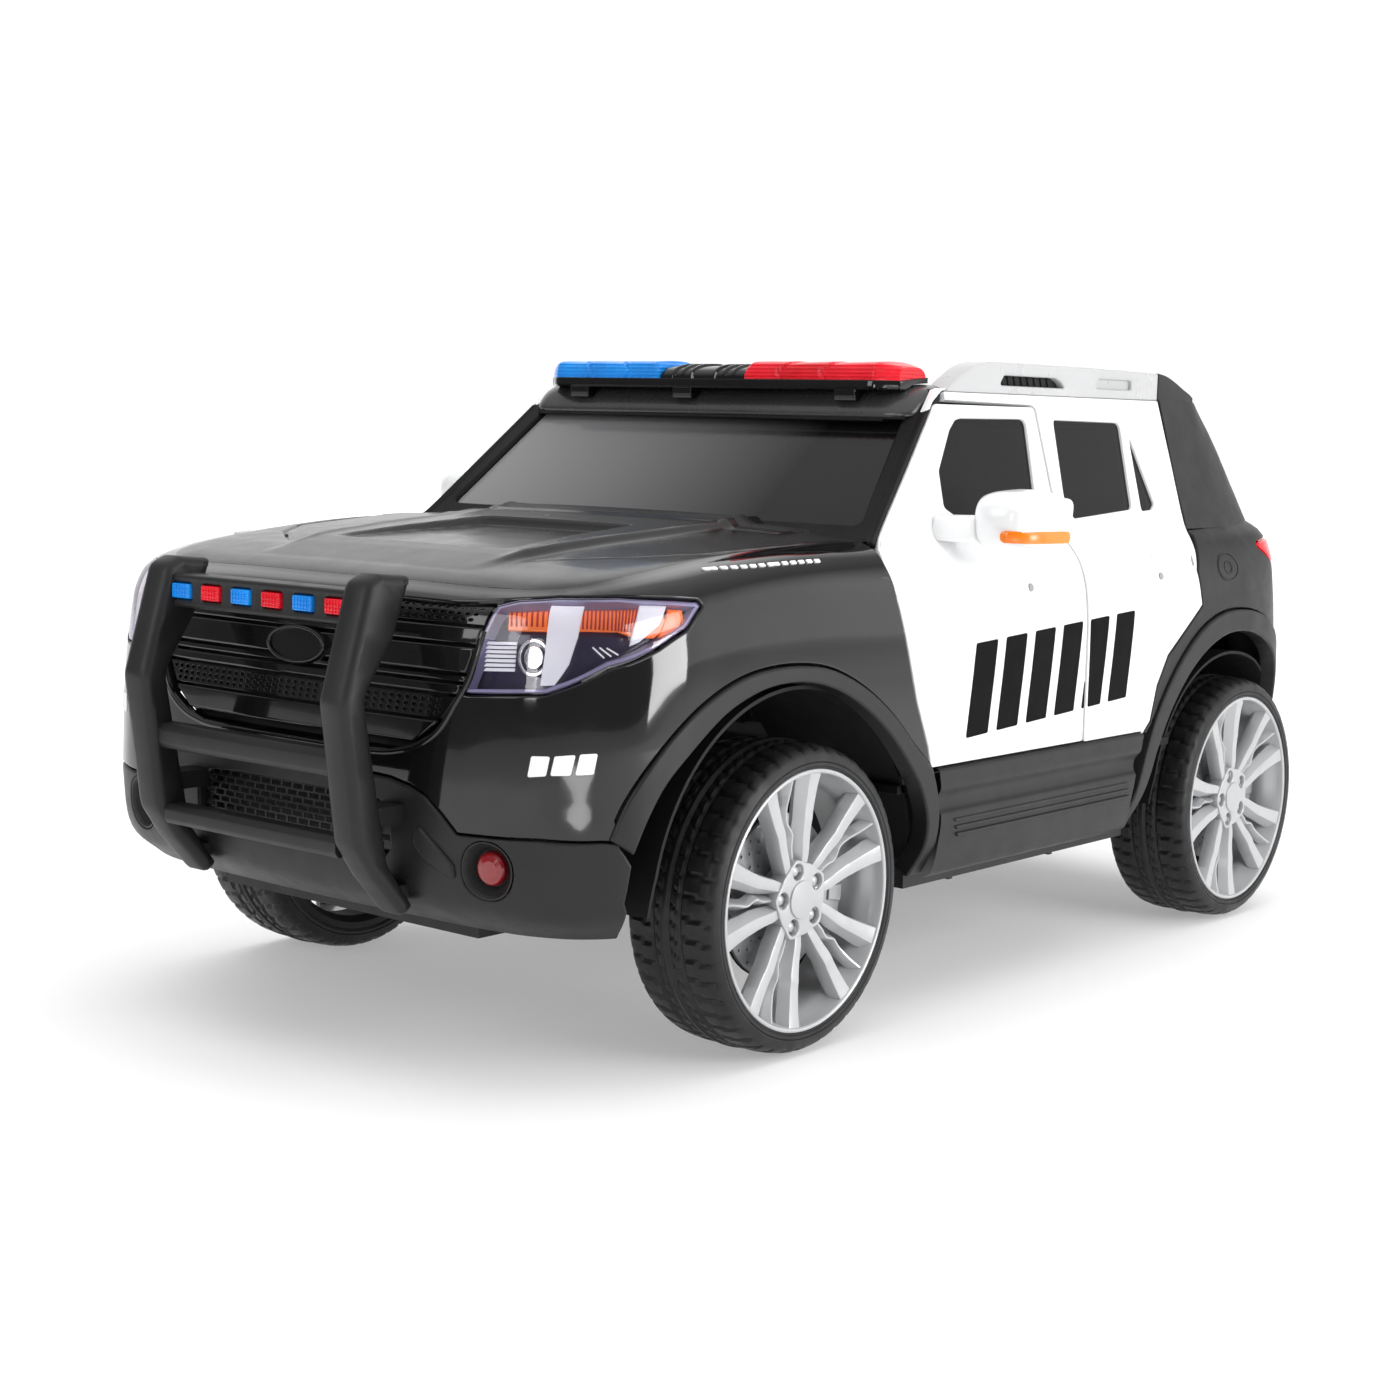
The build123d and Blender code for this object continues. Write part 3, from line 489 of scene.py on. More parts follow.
def rings(shape, R, mat=0, caps=True):
    """Closed sections joined one after the other."""
    R = np.asarray(R, float); m, n = R.shape[:2]
    F = [(i * n + k, i * n + (k + 1) % n, (i + 1) * n + (k + 1) % n, (i + 1) * n + k) for i in range(m - 1) for k in range(n)]
    if caps:
        F += [tuple(range(n))[::-1], tuple((m - 1) * n + k for k in range(n))]
    V = R.reshape(-1, 3)
    # outward: the volume has to come out positive
    vol = 0.0
    for f in F:
        a = V[f[0]]
        for i in range(1, len(f) - 1):
            vol += float(np.dot(a, np.cross(V[f[i]], V[f[i + 1]])))
    if vol < 0:
        F = [f[::-1] for f in F]
    return shape.add(V, F, mat)


class Panel:
    """A moulded panel on a loft: rounded edges, a skirt going in, and the loft's own normals."""

    def __init__(self):
        self.V = []; self.N = []; self.F = []; self.M = []; self.n = 0

    def add(self, loft, outline, holes=(), gap=1.0, r=2.2, thick=6.0, lift=0.0, grid=9.0, mat=0, step=4.0, back=None):
        """outline and holes in the loft's flat coordinates. lift raises the face above the loft."""
        loops = [resample(drop_close(ccw(outline)), step)] + [resample(drop_close(ccw(h)), step)[::-1] for h in holes]
        seq = [(r + gap, 0.0, 0.0), (r * 0.5 + gap, r * 0.134, 30.0), (r * 0.134 + gap, r * 0.5, 60.0), (gap, r, 88.0)]
        flat = [shift(lp, seq[0][0]) for lp in loops]
        V2, tri = fill(flat, grid)
        nb = sum(len(lp) for lp in loops)
        base = loft.at(V2); nor = loft.normal(V2)
        V = [base + nor * lift]; N = [nor]
        F = [tuple(t) for t in tri]
        # which way the flat coordinates turn against the outward normal
        T_ = np.array([t[:3] for t in tri]); P0 = V[0]
        turn = (np.cross(P0[T_[:, 1]] - P0[T_[:, 0]], P0[T_[:, 2]] - P0[T_[:, 0]]) * nor[T_[:, 0]]).sum() > 0
        if not turn:
            F = [f[::-1] for f in F]
        prev = list(range(nb)); count = len(V2)
        rings = list(seq[1:]) + [(gap, max(r + 0.5, thick + lift), 90.0)]
        for ins, dep, ang in rings:
            ring = []; out2 = []
            for lp in loops:
                q = shift(lp, ins); ring.append(q); out2.append(q - shift(lp, ins + 1.0))
            q = np.vstack(ring); o2 = np.vstack(out2)
            p = loft.at(q); nn = loft.normal(q)
            o3 = unit(loft.at(q + o2 * 1.5) - loft.at(q - o2 * 1.5))
            ca, sa = math.cos(math.radians(ang)), math.sin(math.radians(ang))
            V.append(p + nn * (lift - dep)); N.append(unit(nn * ca + o3 * sa))
            cur = list(range(count, count + nb)); count += nb
            off = 0
            for lp in loops:
                m = len(lp)
                for i in range(m):
                    j = (i + 1) % m
                    f = (prev[off + i], cur[off + i], cur[off + j], prev[off + j])
                    F.append(f if turn else f[::-1])
                off += m
            prev = cur
        V = np.vstack(V); N = np.vstack(N)
        k = self.n
        self.V.append(V); self.N.append(N); self.n += len(V)
        self.F += [tuple(i + k for i in f) for f in F]; self.M += [mat] * len(F)
        if back is None and thick > 5:
            back = mat
        if back is not None:
            # the inner face, so that the panel is whole from inside too
            V2, tri = fill([shift(lp, gap) for lp in loops], grid * 1.5)
            nor = loft.normal(V2)
            Vb = loft.at(V2) - nor * thick
            F = [tuple(t) for t in tri]
            if turn:
                F = [f[::-1] for f in F]
            k = self.n
            self.V.append(Vb); self.N.append(-nor); self.n += len(Vb)
            self.F += [tuple(i + k for i in f) for f in F]; self.M += [back] * len(F)
        return self

    def sheet(self, loft, outline, holes=(), lift=0.0, grid=9.0, mat=0, step=4.0, height=None):
        """Just the face, no edges. height(V2) gives extra height for each flat point."""
        loops = [resample(drop_close(ccw(outline)), step)] + [resample(drop_close(ccw(h)), step)[::-1] for h in holes]
        V2, tri = fill(loops, grid)
        base = loft.at(V2); nor = loft.normal(V2)
        hh = lift if height is None else lift + height(V2)[:, None]
        V = base + nor * hh
        F = [tuple(t) for t in tri]
        T_ = np.array([t[:3] for t in F])
        if (np.cross(V[T_[:, 1]] - V[T_[:, 0]], V[T_[:, 2]] - V[T_[:, 0]]) * nor[T_[:, 0]]).sum() < 0:
            F = [f[::-1] for f in F]
        k = self.n
        self.V.append(V); self.N.append(nor); self.n += len(V)
        self.F += [tuple(i + k for i in f) for f in F]; self.M += [mat] * len(F)
        return self

    def mirrored(self, only=False):
        V = np.vstack(self.V).copy(); N = np.vstack(self.N).copy()
        V[:, 1] *= -1; N[:, 1] *= -1
        F = [f[::-1] for f in self.F]; M = list(self.M)
        if only:
            p = Panel(); p.V = [V]; p.N = [N]; p.F = F; p.M = M; p.n = len(V)
            return p
        k = self.n
        self.V.append(V); self.N.append(N); self.n += len(V)
        self.F += [tuple(i + k for i in f) for f in F]; self.M += M
        return self

    def make(self, name, mat, **kw):
        V = np.vstack(self.V); N = np.vstack(self.N)
        ob = new_object(name, V, self.F, mat, normals=N, **kw)
        if any(self.M):
            for p, i in zip(ob.data.polygons, self.M):
                p.material_index = i
        return ob


# ------------------------------------------------------------------ materials
def new_mat(name):
    m = bpy.data.materials.new(name); m.use_nodes = True
    nt = m.node_tree
    b = nt.nodes["Principled BSDF"]
    MATS[name] = m
    return m, nt, b


def setv(node, **kw):
    for k, v in kw.items():
        s = node.inputs[k.replace("_", " ")]
        s.default_value = v


def tex(nt, kind, scale, detail=4.0, rough=0.55, stretch=(1, 1, 1), distort=0.0):
    co = nt.nodes.new("ShaderNodeTexCoord")
    mp = nt.nodes.new("ShaderNodeMapping"); mp.inputs["Scale"].default_value = stretch
    nt.links.new(co.outputs["Object"], mp.inputs["Vector"])
    if kind == "noise":
        t = nt.nodes.new("ShaderNodeTexNoise")
        t.inputs["Scale"].default_value = scale; t.inputs["Detail"].default_value = detail
        t.inputs["Roughness"].default_value = rough; t.inputs["Distortion"].default_value = distort
        out = t.outputs["Fac"]
    elif kind == "voronoi":
        t = nt.nodes.new("ShaderNodeTexVoronoi"); t.inputs["Scale"].default_value = scale
        out = t.outputs["Distance"]
    else:
        t = nt.nodes.new("ShaderNodeTexWave"); t.inputs["Scale"].default_value = scale
        t.inputs["Distortion"].default_value = distort
        out = t.outputs["Fac"]
    nt.links.new(mp.outputs["Vector"], t.inputs["Vector"])
    return out


def ramp(nt, fac, lo, hi, a=0.35, b=0.65):
    r = nt.nodes.new("ShaderNodeMapRange")
    r.inputs["From Min"].default_value = a; r.inputs["From Max"].default_value = b
    r.inputs["To Min"].default_value = lo; r.inputs["To Max"].default_value = hi
    nt.links.new(fac, r.inputs["Value"])
    return r.outputs["Result"]


def mixcol(nt, fac, c1, c2):
    m = nt.nodes.new("ShaderNodeMix"); m.data_type = "RGBA"
    m.inputs["A"].default_value = (*c1, 1); m.inputs["B"].default_value = (*c2, 1)
    nt.links.new(fac, m.inputs["Factor"])
    return m.outputs["Result"]


def bump(nt, b, fac, strength, dist):
    n = nt.nodes.new("ShaderNodeBump"); n.inputs["Strength"].default_value = strength
    n.inputs["Distance"].default_value = dist
    nt.links.new(fac, n.inputs["Height"]); nt.links.new(n.outputs["Normal"], b.inputs["Normal"])
    return n


def plastic(name, col, col2, rough, rough2, coat=0.0, grain=0.0, grain_scale=900, wave=0.0, spec=0.5, metal=0.0, coat_rough=0.06):
    m, nt, b = new_mat(name)
    setv(b, Metallic=metal); b.inputs["Specular IOR Level"].default_value = spec
    n1 = tex(nt, "noise", 9, 5)
    nt.links.new(mixcol(nt, ramp(nt, n1, 0, 1), col, col2), b.inputs["Base Color"])
    n2 = tex(nt, "noise", 46, 6, 0.6)
    nt.links.new(ramp(nt, n2, rough, rough2, 0.3, 0.7), b.inputs["Roughness"])
    b.inputs["Coat Weight"].default_value = coat; b.inputs["Coat Roughness"].default_value = coat_rough
    if grain:
        n3 = tex(nt, "noise", grain_scale, 3, 0.6)
        bump(nt, b, n3, grain, 0.0004)
    elif wave:
        n3 = tex(nt, "noise", 14, 2, 0.4)
        bump(nt, b, n3, wave, 0.001)
    return m, nt, b


# body plastics. The gloss has the faint waviness and small roughness changes of a moulded panel.
plastic("black_gloss", (0.006, 0.006, 0.0063), (0.0085, 0.0085, 0.009), 0.05, 0.10, coat=0.3, wave=0.02, spec=0.42, coat_rough=0.02)
plastic("black_satin", (0.0105, 0.0105, 0.011), (0.0155, 0.0155, 0.0165), 0.36, 0.48, grain=0.22, grain_scale=1400, spec=0.34)
plastic("black_matte", (0.005, 0.005, 0.0055), (0.009, 0.009, 0.0095), 0.55, 0.7, grain=0.3, grain_scale=1400, spec=0.3)
plastic("bonnet_black", (0.006, 0.006, 0.0065), (0.0095, 0.0095, 0.010), 0.2, 0.28, coat=0.15, coat_rough=0.12, wave=0.02, spec=0.38)
plastic("white_gloss", (0.83, 0.835, 0.84), (0.86, 0.865, 0.87), 0.16, 0.26, coat=0.4, wave=0.015)
plastic("frame_black", (0.005, 0.005, 0.0053), (0.008, 0.008, 0.0085), 0.4, 0.5, grain=0.2, grain_scale=1400, spec=0.16)
# a lighter copy of the body black: painted sheen for the bright reflection on the windscreen header's sloping face
plastic("header_black", (0.036, 0.036, 0.037), (0.046, 0.046, 0.047), 0.22, 0.3, coat=0.3, wave=0.02)
# a greyer copy of the body white: painted shade, so that the roof rails read light grey against the white backdrop
plastic("rail_white_painted_shade", (0.46, 0.463, 0.468), (0.49, 0.492, 0.497), 0.25, 0.34, coat=0.2)
plastic("white_decal", (0.86, 0.86, 0.86), (0.9, 0.9, 0.9), 0.3, 0.4)
plastic("black_decal", (0.003, 0.003, 0.003), (0.005, 0.005, 0.005), 0.5, 0.6, spec=0.06)
plastic("smoked", (0.03, 0.031, 0.033), (0.04, 0.041, 0.043), 0.10, 0.16, coat=0.3, wave=0.012)
plastic("seat", (0.012, 0.012, 0.013), (0.02, 0.02, 0.021), 0.42, 0.55, grain=0.5, grain_scale=520)
plastic("battery", (0.03, 0.032, 0.036), (0.05, 0.052, 0.056), 0.4, 0.5, grain=0.2)
plastic("rim_silver", (0.46, 0.465, 0.475), (0.50, 0.505, 0.515), 0.3, 0.36, coat=0.25, metal=0.35)
plastic("disc_grey", (0.30, 0.305, 0.31), (0.40, 0.40, 0.41), 0.3, 0.45, metal=0.6)
plastic("steel", (0.42, 0.42, 0.43), (0.52, 0.52, 0.53), 0.22, 0.38, metal=1.0)
plastic("bright_plate", (0.75, 0.75, 0.76), (0.82, 0.82, 0.83), 0.08, 0.16, metal=0.9)
plastic("amber", (0.78, 0.17, 0.004), (0.86, 0.22, 0.006), 0.18, 0.28, coat=0.3)
plastic("lamp_violet", (0.03, 0.026, 0.06), (0.055, 0.045, 0.10), 0.15, 0.25, coat=0.5)
plastic("lamp_rim", (0.26, 0.24, 0.40), (0.36, 0.33, 0.5), 0.14, 0.22, coat=0.6)
plastic("lamp_white", (0.72, 0.72, 0.76), (0.85, 0.85, 0.88), 0.16, 0.28, coat=0.4)
plastic("lamp_orange", (0.9, 0.12, 0.01), (0.95, 0.24, 0.03), 0.16, 0.28, coat=0.6)
plastic("fog_red", (0.20, 0.004, 0.008), (0.30, 0.007, 0.012), 0.12, 0.2, coat=0.6)
# near black for real dark faces (gauge, radio screen) and for painted shade: sheets and walls deep in openings,
# recesses and the inner wheel barrel
plastic("dark_hole", (0.002, 0.002, 0.002), (0.004, 0.004, 0.004), 0.6, 0.75)
plastic("socket_red", (0.5, 0.02, 0.015), (0.6, 0.03, 0.02), 0.3, 0.45)


# painted light: a glow on the white and orange lamp inserts, the violet lamp frame and the mirror's amber strip, so
# that they read bright through the clear lens
for nm, st in (("lamp_white", 0.45), ("lamp_orange", 0.3), ("lamp_rim", 0.15), ("amber", 0.10)):
    mm_ = MATS[nm]; bb = mm_.node_tree.nodes["Principled BSDF"]
    src = bb.inputs["Base Color"].links[0].from_socket
    mm_.node_tree.links.new(src, bb.inputs["Emission Color"]); bb.inputs["Emission Strength"].default_value = st


def tyre_mat():
    m, nt, b = new_mat("tyre")
    n1 = tex(nt, "noise", 30, 6, 0.6)
    nt.links.new(mixcol(nt, ramp(nt, n1, 0, 1), (0.007, 0.007, 0.0075), (0.014, 0.014, 0.015)), b.inputs["Base Color"])
    n2 = tex(nt, "noise", 80, 5)
    nt.links.new(ramp(nt, n2, 0.34, 0.52), b.inputs["Roughness"])
    n3 = tex(nt, "noise", 700, 4, 0.7)
    bump(nt, b, n3, 0.2, 0.0004); b.inputs["Specular IOR Level"].default_value = 0.35


tyre_mat()


def lens(name, col, col2, rough=0.1, trans=0.35, emit=0.0, ribs=0.0, rib_scale=60, direction="X"):
    m, nt, b = new_mat(name)
    n1 = tex(nt, "noise", 25, 3)
    c = mixcol(nt, ramp(nt, n1, 0, 1), col, col2)
    nt.links.new(c, b.inputs["Base Color"])
    b.inputs["Transmission Weight"].default_value = trans
    b.inputs["IOR"].default_value = 1.45
    b.inputs["Coat Weight"].default_value = 0.3; b.inputs["Coat Roughness"].default_value = 0.04
    b.inputs["Specular IOR Level"].default_value = 0.3
    n2 = tex(nt, "noise", 60, 4)
    nt.links.new(ramp(nt, n2, rough, rough + 0.1), b.inputs["Roughness"])
    if emit:
        nt.links.new(c, b.inputs["Emission Color"]); b.inputs["Emission Strength"].default_value = emit
    if ribs:
        w = tex(nt, "wave", rib_scale)
        wn = w.node; wn.bands_direction = direction
        bump(nt, b, w, ribs, 0.0012)
    return m


lens("blue_lens", (0.004, 0.12, 0.75), (0.006, 0.17, 0.85), 0.12, 0.12, 0.25)
lens("red_lens", (0.78, 0.008, 0.015), (0.88, 0.014, 0.02), 0.12, 0.12, 0.2)
lens("bar_blue", (0.004, 0.19, 0.62), (0.008, 0.27, 0.80), 0.16, 0.05, 0.22, ribs=0.5, rib_scale=95, direction="Z")
lens("bar_red", (0.60, 0.003, 0.012), (0.76, 0.008, 0.024), 0.16, 0.05, 0.16, ribs=0.5, rib_scale=95, direction="Z")


def clear_mat():
    m, nt, b = new_mat("clear_lens")
    nt.nodes.remove(b)
    out = nt.nodes["Material Output"]
    tr = nt.nodes.new("ShaderNodeBsdfTransparent"); tr.inputs["Color"].default_value = (0.93, 0.93, 0.97, 1)
    gl = nt.nodes.new("ShaderNodeBsdfGlossy"); gl.inputs["Color"].default_value = (1, 1, 1, 1)
    n2 = tex(nt, "noise", 30, 3); nt.links.new(ramp(nt, n2, 0.02, 0.06), gl.inputs["Roughness"])
    fr = nt.nodes.new("ShaderNodeFresnel"); fr.inputs["IOR"].default_value = 1.5
    mx = nt.nodes.new("ShaderNodeMixShader")
    nt.links.new(fr.outputs["Fac"], mx.inputs["Fac"])
    nt.links.new(tr.outputs["BSDF"], mx.inputs[1]); nt.links.new(gl.outputs["BSDF"], mx.inputs[2])
    nt.links.new(mx.outputs["Shader"], out.inputs["Surface"])


clear_mat()


def glass_mat(name, tint, rough=0.03):
    m, nt, b = new_mat(name)
    nt.nodes.remove(b)
    out = nt.nodes["Material Output"]
    tr = nt.nodes.new("ShaderNodeBsdfTransparent"); tr.inputs["Color"].default_value = (*tint, 1)
    gl = nt.nodes.new("ShaderNodeBsdfGlossy"); gl.inputs["Color"].default_value = (1, 1, 1, 1)
    n2 = tex(nt, "noise", 12, 3); nt.links.new(ramp(nt, n2, rough, rough + 0.05), gl.inputs["Roughness"])
    fr = nt.nodes.new("ShaderNodeFresnel"); fr.inputs["IOR"].default_value = 1.16
    di = nt.nodes.new("ShaderNodeBsdfDiffuse"); di.inputs["Color"].default_value = (0.014, 0.014, 0.0145, 1)
    m1 = nt.nodes.new("ShaderNodeMixShader"); m1.inputs["Fac"].default_value = 0.8
    nt.links.new(tr.outputs["BSDF"], m1.inputs[1]); nt.links.new(di.outputs["BSDF"], m1.inputs[2])
    mx = nt.nodes.new("ShaderNodeMixShader")
    nt.links.new(fr.outputs["Fac"], mx.inputs["Fac"])
    nt.links.new(m1.outputs["Shader"], mx.inputs[1]); nt.links.new(gl.outputs["BSDF"], mx.inputs[2])
    nt.links.new(mx.outputs["Shader"], out.inputs["Surface"])


glass_mat("smoked_glass", (0.16, 0.165, 0.17))


def screen_mat():
    """Smoked pane with a painted reflection: base colour lighter towards the right side of the car."""
    m, nt, b = new_mat("screen_glass")
    co = nt.nodes.new("ShaderNodeTexCoord"); sp = nt.nodes.new("ShaderNodeSeparateXYZ")
    nt.links.new(co.outputs["Object"], sp.inputs["Vector"])
    # painted reflection: base colour fades from grey on the car's right side to near black on its left
    f = ramp(nt, sp.outputs["Y"], 0, 1, -0.24, 0.19)
    n1 = tex(nt, "noise", 2.2, 2, 0.4)
    mx = nt.nodes.new("ShaderNodeMath"); mx.operation = "MULTIPLY_ADD"
    nt.links.new(n1, mx.inputs[0]); mx.inputs[1].default_value = 0.25
    nt.links.new(f, mx.inputs[2])
    nt.links.new(mixcol(nt, mx.outputs["Value"], (0.24, 0.24, 0.245), (0.004, 0.004, 0.0042)), b.inputs["Base Color"])
    b.inputs["Specular IOR Level"].default_value = 0.3
    b.inputs["Coat Weight"].default_value = 0.08; b.inputs["Coat Roughness"].default_value = 0.03
    n2 = tex(nt, "noise", 30, 3); nt.links.new(ramp(nt, n2, 0.08, 0.14), b.inputs["Roughness"])


screen_mat()


# ------------------------------------------------------------------ the lower body as one loft, left half
def body_net():
    F = [(40, 117), (8, 140), (0, 185), (1, 225), (4, 270), (9, 315), (14, 345), (21, 363), (44, 374)]
    S = [(17, 117), (3, 150), (0, 195), (0, 240), (0, 290), (2, 340), (7, 368), (17, 388), (32, 402)]
    R = [(25, 117), (5, 150), (0, 195), (0, 240), (2, 290), (6, 335), (11, 372), (20, 395), (45, 411)]
    # plan point, outward direction, then (inset, height) from the sill to the top edge
    rows = [
        ((566, 0), (1, 0), F),
        ((564, 90), (1, .03), F),
        ((557, 180), (.985, .17), [(38, 117), (8, 140), (0, 185), (0, 225), (3, 270), (8, 315), (13, 346), (20, 362), (43, 373)]),
        ((545, 232), (.88, .47), [(34, 118), (8, 140), (0, 185), (0, 225), (2, 270), (6, 315), (12, 348), (20, 364), (43, 374)]),
        ((522, 268), (.70, .71), [(28, 119), (7, 140), (0, 185), (0, 225), (1, 270), (5, 315), (11, 350), (21, 367), (46, 377)]),
        ((490, 290), (.38, .925), [(22, 120), (5, 142), (0, 187), (0, 227), (0, 270), (4, 318), (9, 352), (21, 371), (50, 381)]),
        ((450, 298.5), (.1, .995), [(17, 120), (3, 145), (0, 190), (0, 232), (0, 278), (2, 328), (7, 360), (20, 378), (51, 385)]),
        ((400, 300), (0, 1), [(17, 117), (3, 150), (0, 195), (0, 240), (0, 290), (2, 338), (7, 368), (20, 385), (50, 391)]),
        ((300, 300), (0, 1), [(17, 117), (3, 150), (0, 195), (0, 240), (0, 290), (2, 343), (7, 375), (20, 393), (45, 400)]),
        ((180, 300), (0, 1), [(17, 117), (3, 150), (0, 195), (0, 240), (0, 290), (2, 342), (8, 374), (20, 393), (38, 403)]),
        ((90, 300), (0, 1), S), ((0, 300), (0, 1), S), ((-250, 300), (0, 1), S), ((-400, 300), (0, 1), S),
        ((-465, 299.5), (-.02, 1), [(17, 117), (3, 150), (0, 195), (0, 240), (0, 290), (2, 340), (8, 370), (18, 391), (36, 406)]),
        ((-525, 292), (-.25, .968), [(20, 117), (4, 150), (0, 195), (0, 240), (1, 290), (4, 338), (9, 371), (19, 394), (40, 409)]),
        ((-575, 264), (-.66, .75), [(23, 117), (5, 150), (0, 195), (0, 240), (2, 290), (6, 335), (11, 372), (20, 395), (44, 411)]),
        ((-607, 218), (-.9, .43), R), ((-621, 120), (-.99, .12), R), ((-625, 0), (-1, 0), R),
    ]
    rows = ([((x, -y), (nx, -ny), prof) for (x, y), (nx, ny), prof in rows[3:0:-1]] + rows
            + [((x, -y), (nx, -ny), prof) for (x, y), (nx, ny), prof in rows[-2:-5:-1]])
    net = []
    for (x, y), (nx, ny), prof in rows:
        L = math.hypot(nx, ny)
        net.append([(x - nx / L * d, y - ny / L * d, z) for d, z in prof])
    return net



# cabin side, from the sill to the roof, straight along the car
SIDE_PROF = [(300, 198), (300, 225), (300, 260), (300, 295), (298.6, 335), (294.5, 362), (286, 382), (276, 394), (268, 402),
             (262.5, 416), (256, 438), (248, 466), (240, 494), (233, 519), (229, 533)]
D = Loft([[(x, y, z) for y, z in SIDE_PROF] for x in (200, 100, 0, -100, -200, -300, -400, -500)], 160, 260)

# greenhouse behind the white panel, belt to roof, side to rear centre
H = Loft([
    [(-362, 268, 402), (-362, 256, 438), (-362, 240, 494), (-362, 229, 533)],
    [(-420, 268, 402), (-418, 256, 438), (-414, 240, 494), (-412, 229, 532.5)],
    [(-470, 266, 403), (-462, 254, 440), (-450, 238, 495), (-442, 227, 531)],
    [(-520, 256, 406), (-508, 244, 441), (-485, 228, 493), (-463, 215, 527.5)],
    [(-552, 232, 410), (-536, 222, 442), (-505, 205, 490), (-474, 190, 525)],
    [(-566, 190, 412), (-549, 182, 443), (-514, 166, 489), (-479, 150, 524)],
    [(-572, 100, 413), (-554, 96, 443), (-518, 88, 488), (-482, 80, 523.5)],
    [(-574, 0, 413), (-556, 0, 443), (-520, 0, 488), (-483, 0, 523.5)],
], 220, 90, side=(-0.7, 0.7, 0))

B = Loft(body_net(), 760, 150)
TOP = B.size[1]
E = 3.2                      # rolled edge plus half gap, added where two halves or pieces join without a gap


def low(pts, dims=(0, 1, 2)):
    return B.near(pts, dims)


def at_top(pts):
    """Places on the body loft's top edge, pushed out so that the panel's face ends exactly on it."""
    st = B.near(pts, (0, 1))
    st[:, 1] = TOP + E
    return st


# ---- outlines, side view (x, z) unless three numbers
FLARE_OUT = [(506, 198), (496, 223), (472, 256), (442, 281), (404, 300), (354, 312), (312, 313), (264, 306), (226, 291),
             (185, 266), (151, 237), (121, 209), (111, 180), (110, 150), (113, 121)]
FLARE_IN = [(489, 186), (478, 212), (462, 236), (441, 255), (409, 277), (380, 290), (346, 298), (308, 299), (263, 290),
            (225, 273), (188, 248), (158, 219), (138, 194), (129, 172), (128, 145), (136, 121)]
REAR_FLARE_IN = [(-236, 121), (-243, 145), (-256, 172), (-272, 204), (-297, 237), (-326, 264), (-362, 285), (-403, 297), (-440, 298),
                 (-484, 288), (-521, 267), (-552, 235), (-574, 195), (-585, 150), (-587, 121)]
REAR_FLARE_OUT = [(-219, 121), (-226, 145), (-238, 178), (-252, 210), (-276, 245), (-306, 277), (-345, 304), (-395, 320), (-440, 321),
                  (-490, 311), (-533, 288), (-567, 252), (-591, 205), (-602, 150), (-604, 121)]
PANEL_FRONT = [(122, 209), (128, 233), (147, 273), (164, 324), (174, 357), (178, 385)]
REAR_EDGE = [(-238, 209), (-252, 221), (-263, 255), (-282, 283), (-313, 304), (-350, 329), (-344, 363), (-368, 396)]

side_st = lambda pts: B.near([(x, z) for x, z in pts], (0, 2))
f_out = curve2(side_st(FLARE_OUT), 70)
f_in = curve2(side_st(FLARE_IN), 70)
r_out = curve2(side_st(REAR_FLARE_OUT), 70)
r_in = curve2(side_st(REAR_FLARE_IN), 70)

lamp_out = low([(534, 194, 364), (524, 208, 368), (510, 233, 370), (484, 266, 370.5), (457, 283, 370), (424, 291.5, 368), (421, 294, 364), (428, 295, 359),
                (440, 296, 348), (467, 293, 335), (503, 277, 322), (529, 253, 306), (535, 244, 302), (546, 215, 300), (552, 174, 297)])
# grille opening, car's left half: top centre to the lamp, then its own edge below the lamp
grille_low = low([(557, 155, 270), (560, 131, 257), (563, 110, 252), (565, 60, 250), (566, 0, 250)])
grille_top = low([(545, 0, 364), (545, 90, 364), (541, 150, 364)])
mid0 = B.near([(566, 0, 240)])[0][0]            # flat coordinate of the middle plane
mid1 = B.near([(-625, 0, 240)])[0][0]           # the same at the rear
seam_c = low([(566, 0, 232), (564, 60, 232), (562, 112, 230), (561, 133, 226), (561, 149, 220), (560, 165, 208), (558, 179, 195),
              (551, 217, 196), (539, 245, 197), (511, 278, 196.5), (495, 288, 196)])
# fender and fascia, one gloss moulding
top_line = np.array([[s, TOP + E] for s in np.linspace(B.near([(178, 270, 400)])[0][0], mid0 - E, 40)])
fender = np.vstack([
    [[mid0 - E, seam_c[0][1]]], seam_c[1:],
    f_out[(f_out[:, 1] > side_st([(120, 205)])[0][1]) & (np.arange(70) > 1)],
    side_st(PANEL_FRONT), top_line,
    [[mid0 - E, grille_top[0][1]]], grille_top[1:], fillet(lamp_out, [0, 0, 0, 0, 0, 3, 6, 5, 0, 0, 0, 0, 0, 4, 6])[1:],
    grille_low[:-1], [[mid0 - E, grille_low[-1][1]]],
])
p = Panel().add(B, fender, gap=0.8, r=1.8, thick=7, grid=8, step=4)
p.mirrored().make("fender_and_nose", "black_gloss", replaces=("front_body",), slot="black_gloss")

# ---- bumper, satin, with its lower mesh opening and the fog lamp recess
bump_low = low([(488, 290, 178), (491, 287, 150), (487, 285, 143), (481, 272, 121)])
mesh_open = low([(565, 0, 213), (564, 60, 213), (563, 100, 211), (562, 112, 205), (562, 112, 176), (563, 104, 168), (564, 60, 166), (565, 0, 166)])
fog_c = low([(553, 204, 170)])[0]
low_line = np.array([[s, -E] for s in np.linspace(bump_low[-1][0], mid0 - E, 40)])
fang = low([(562, 142, 200), (557, 176, 172), (557, 178, 160), (560, 150, 170), (561, 138, 184)])
bumper = np.vstack([
    [[mid0 - E, seam_c[0][1]]], seam_c[1:], low([(497, 287, 192)]), bump_low, low_line,
    [[mid0 - E, mesh_open[-1][1]]], mesh_open[1:-1][::-1], [[mid0 - E, mesh_open[0][1]]],
])
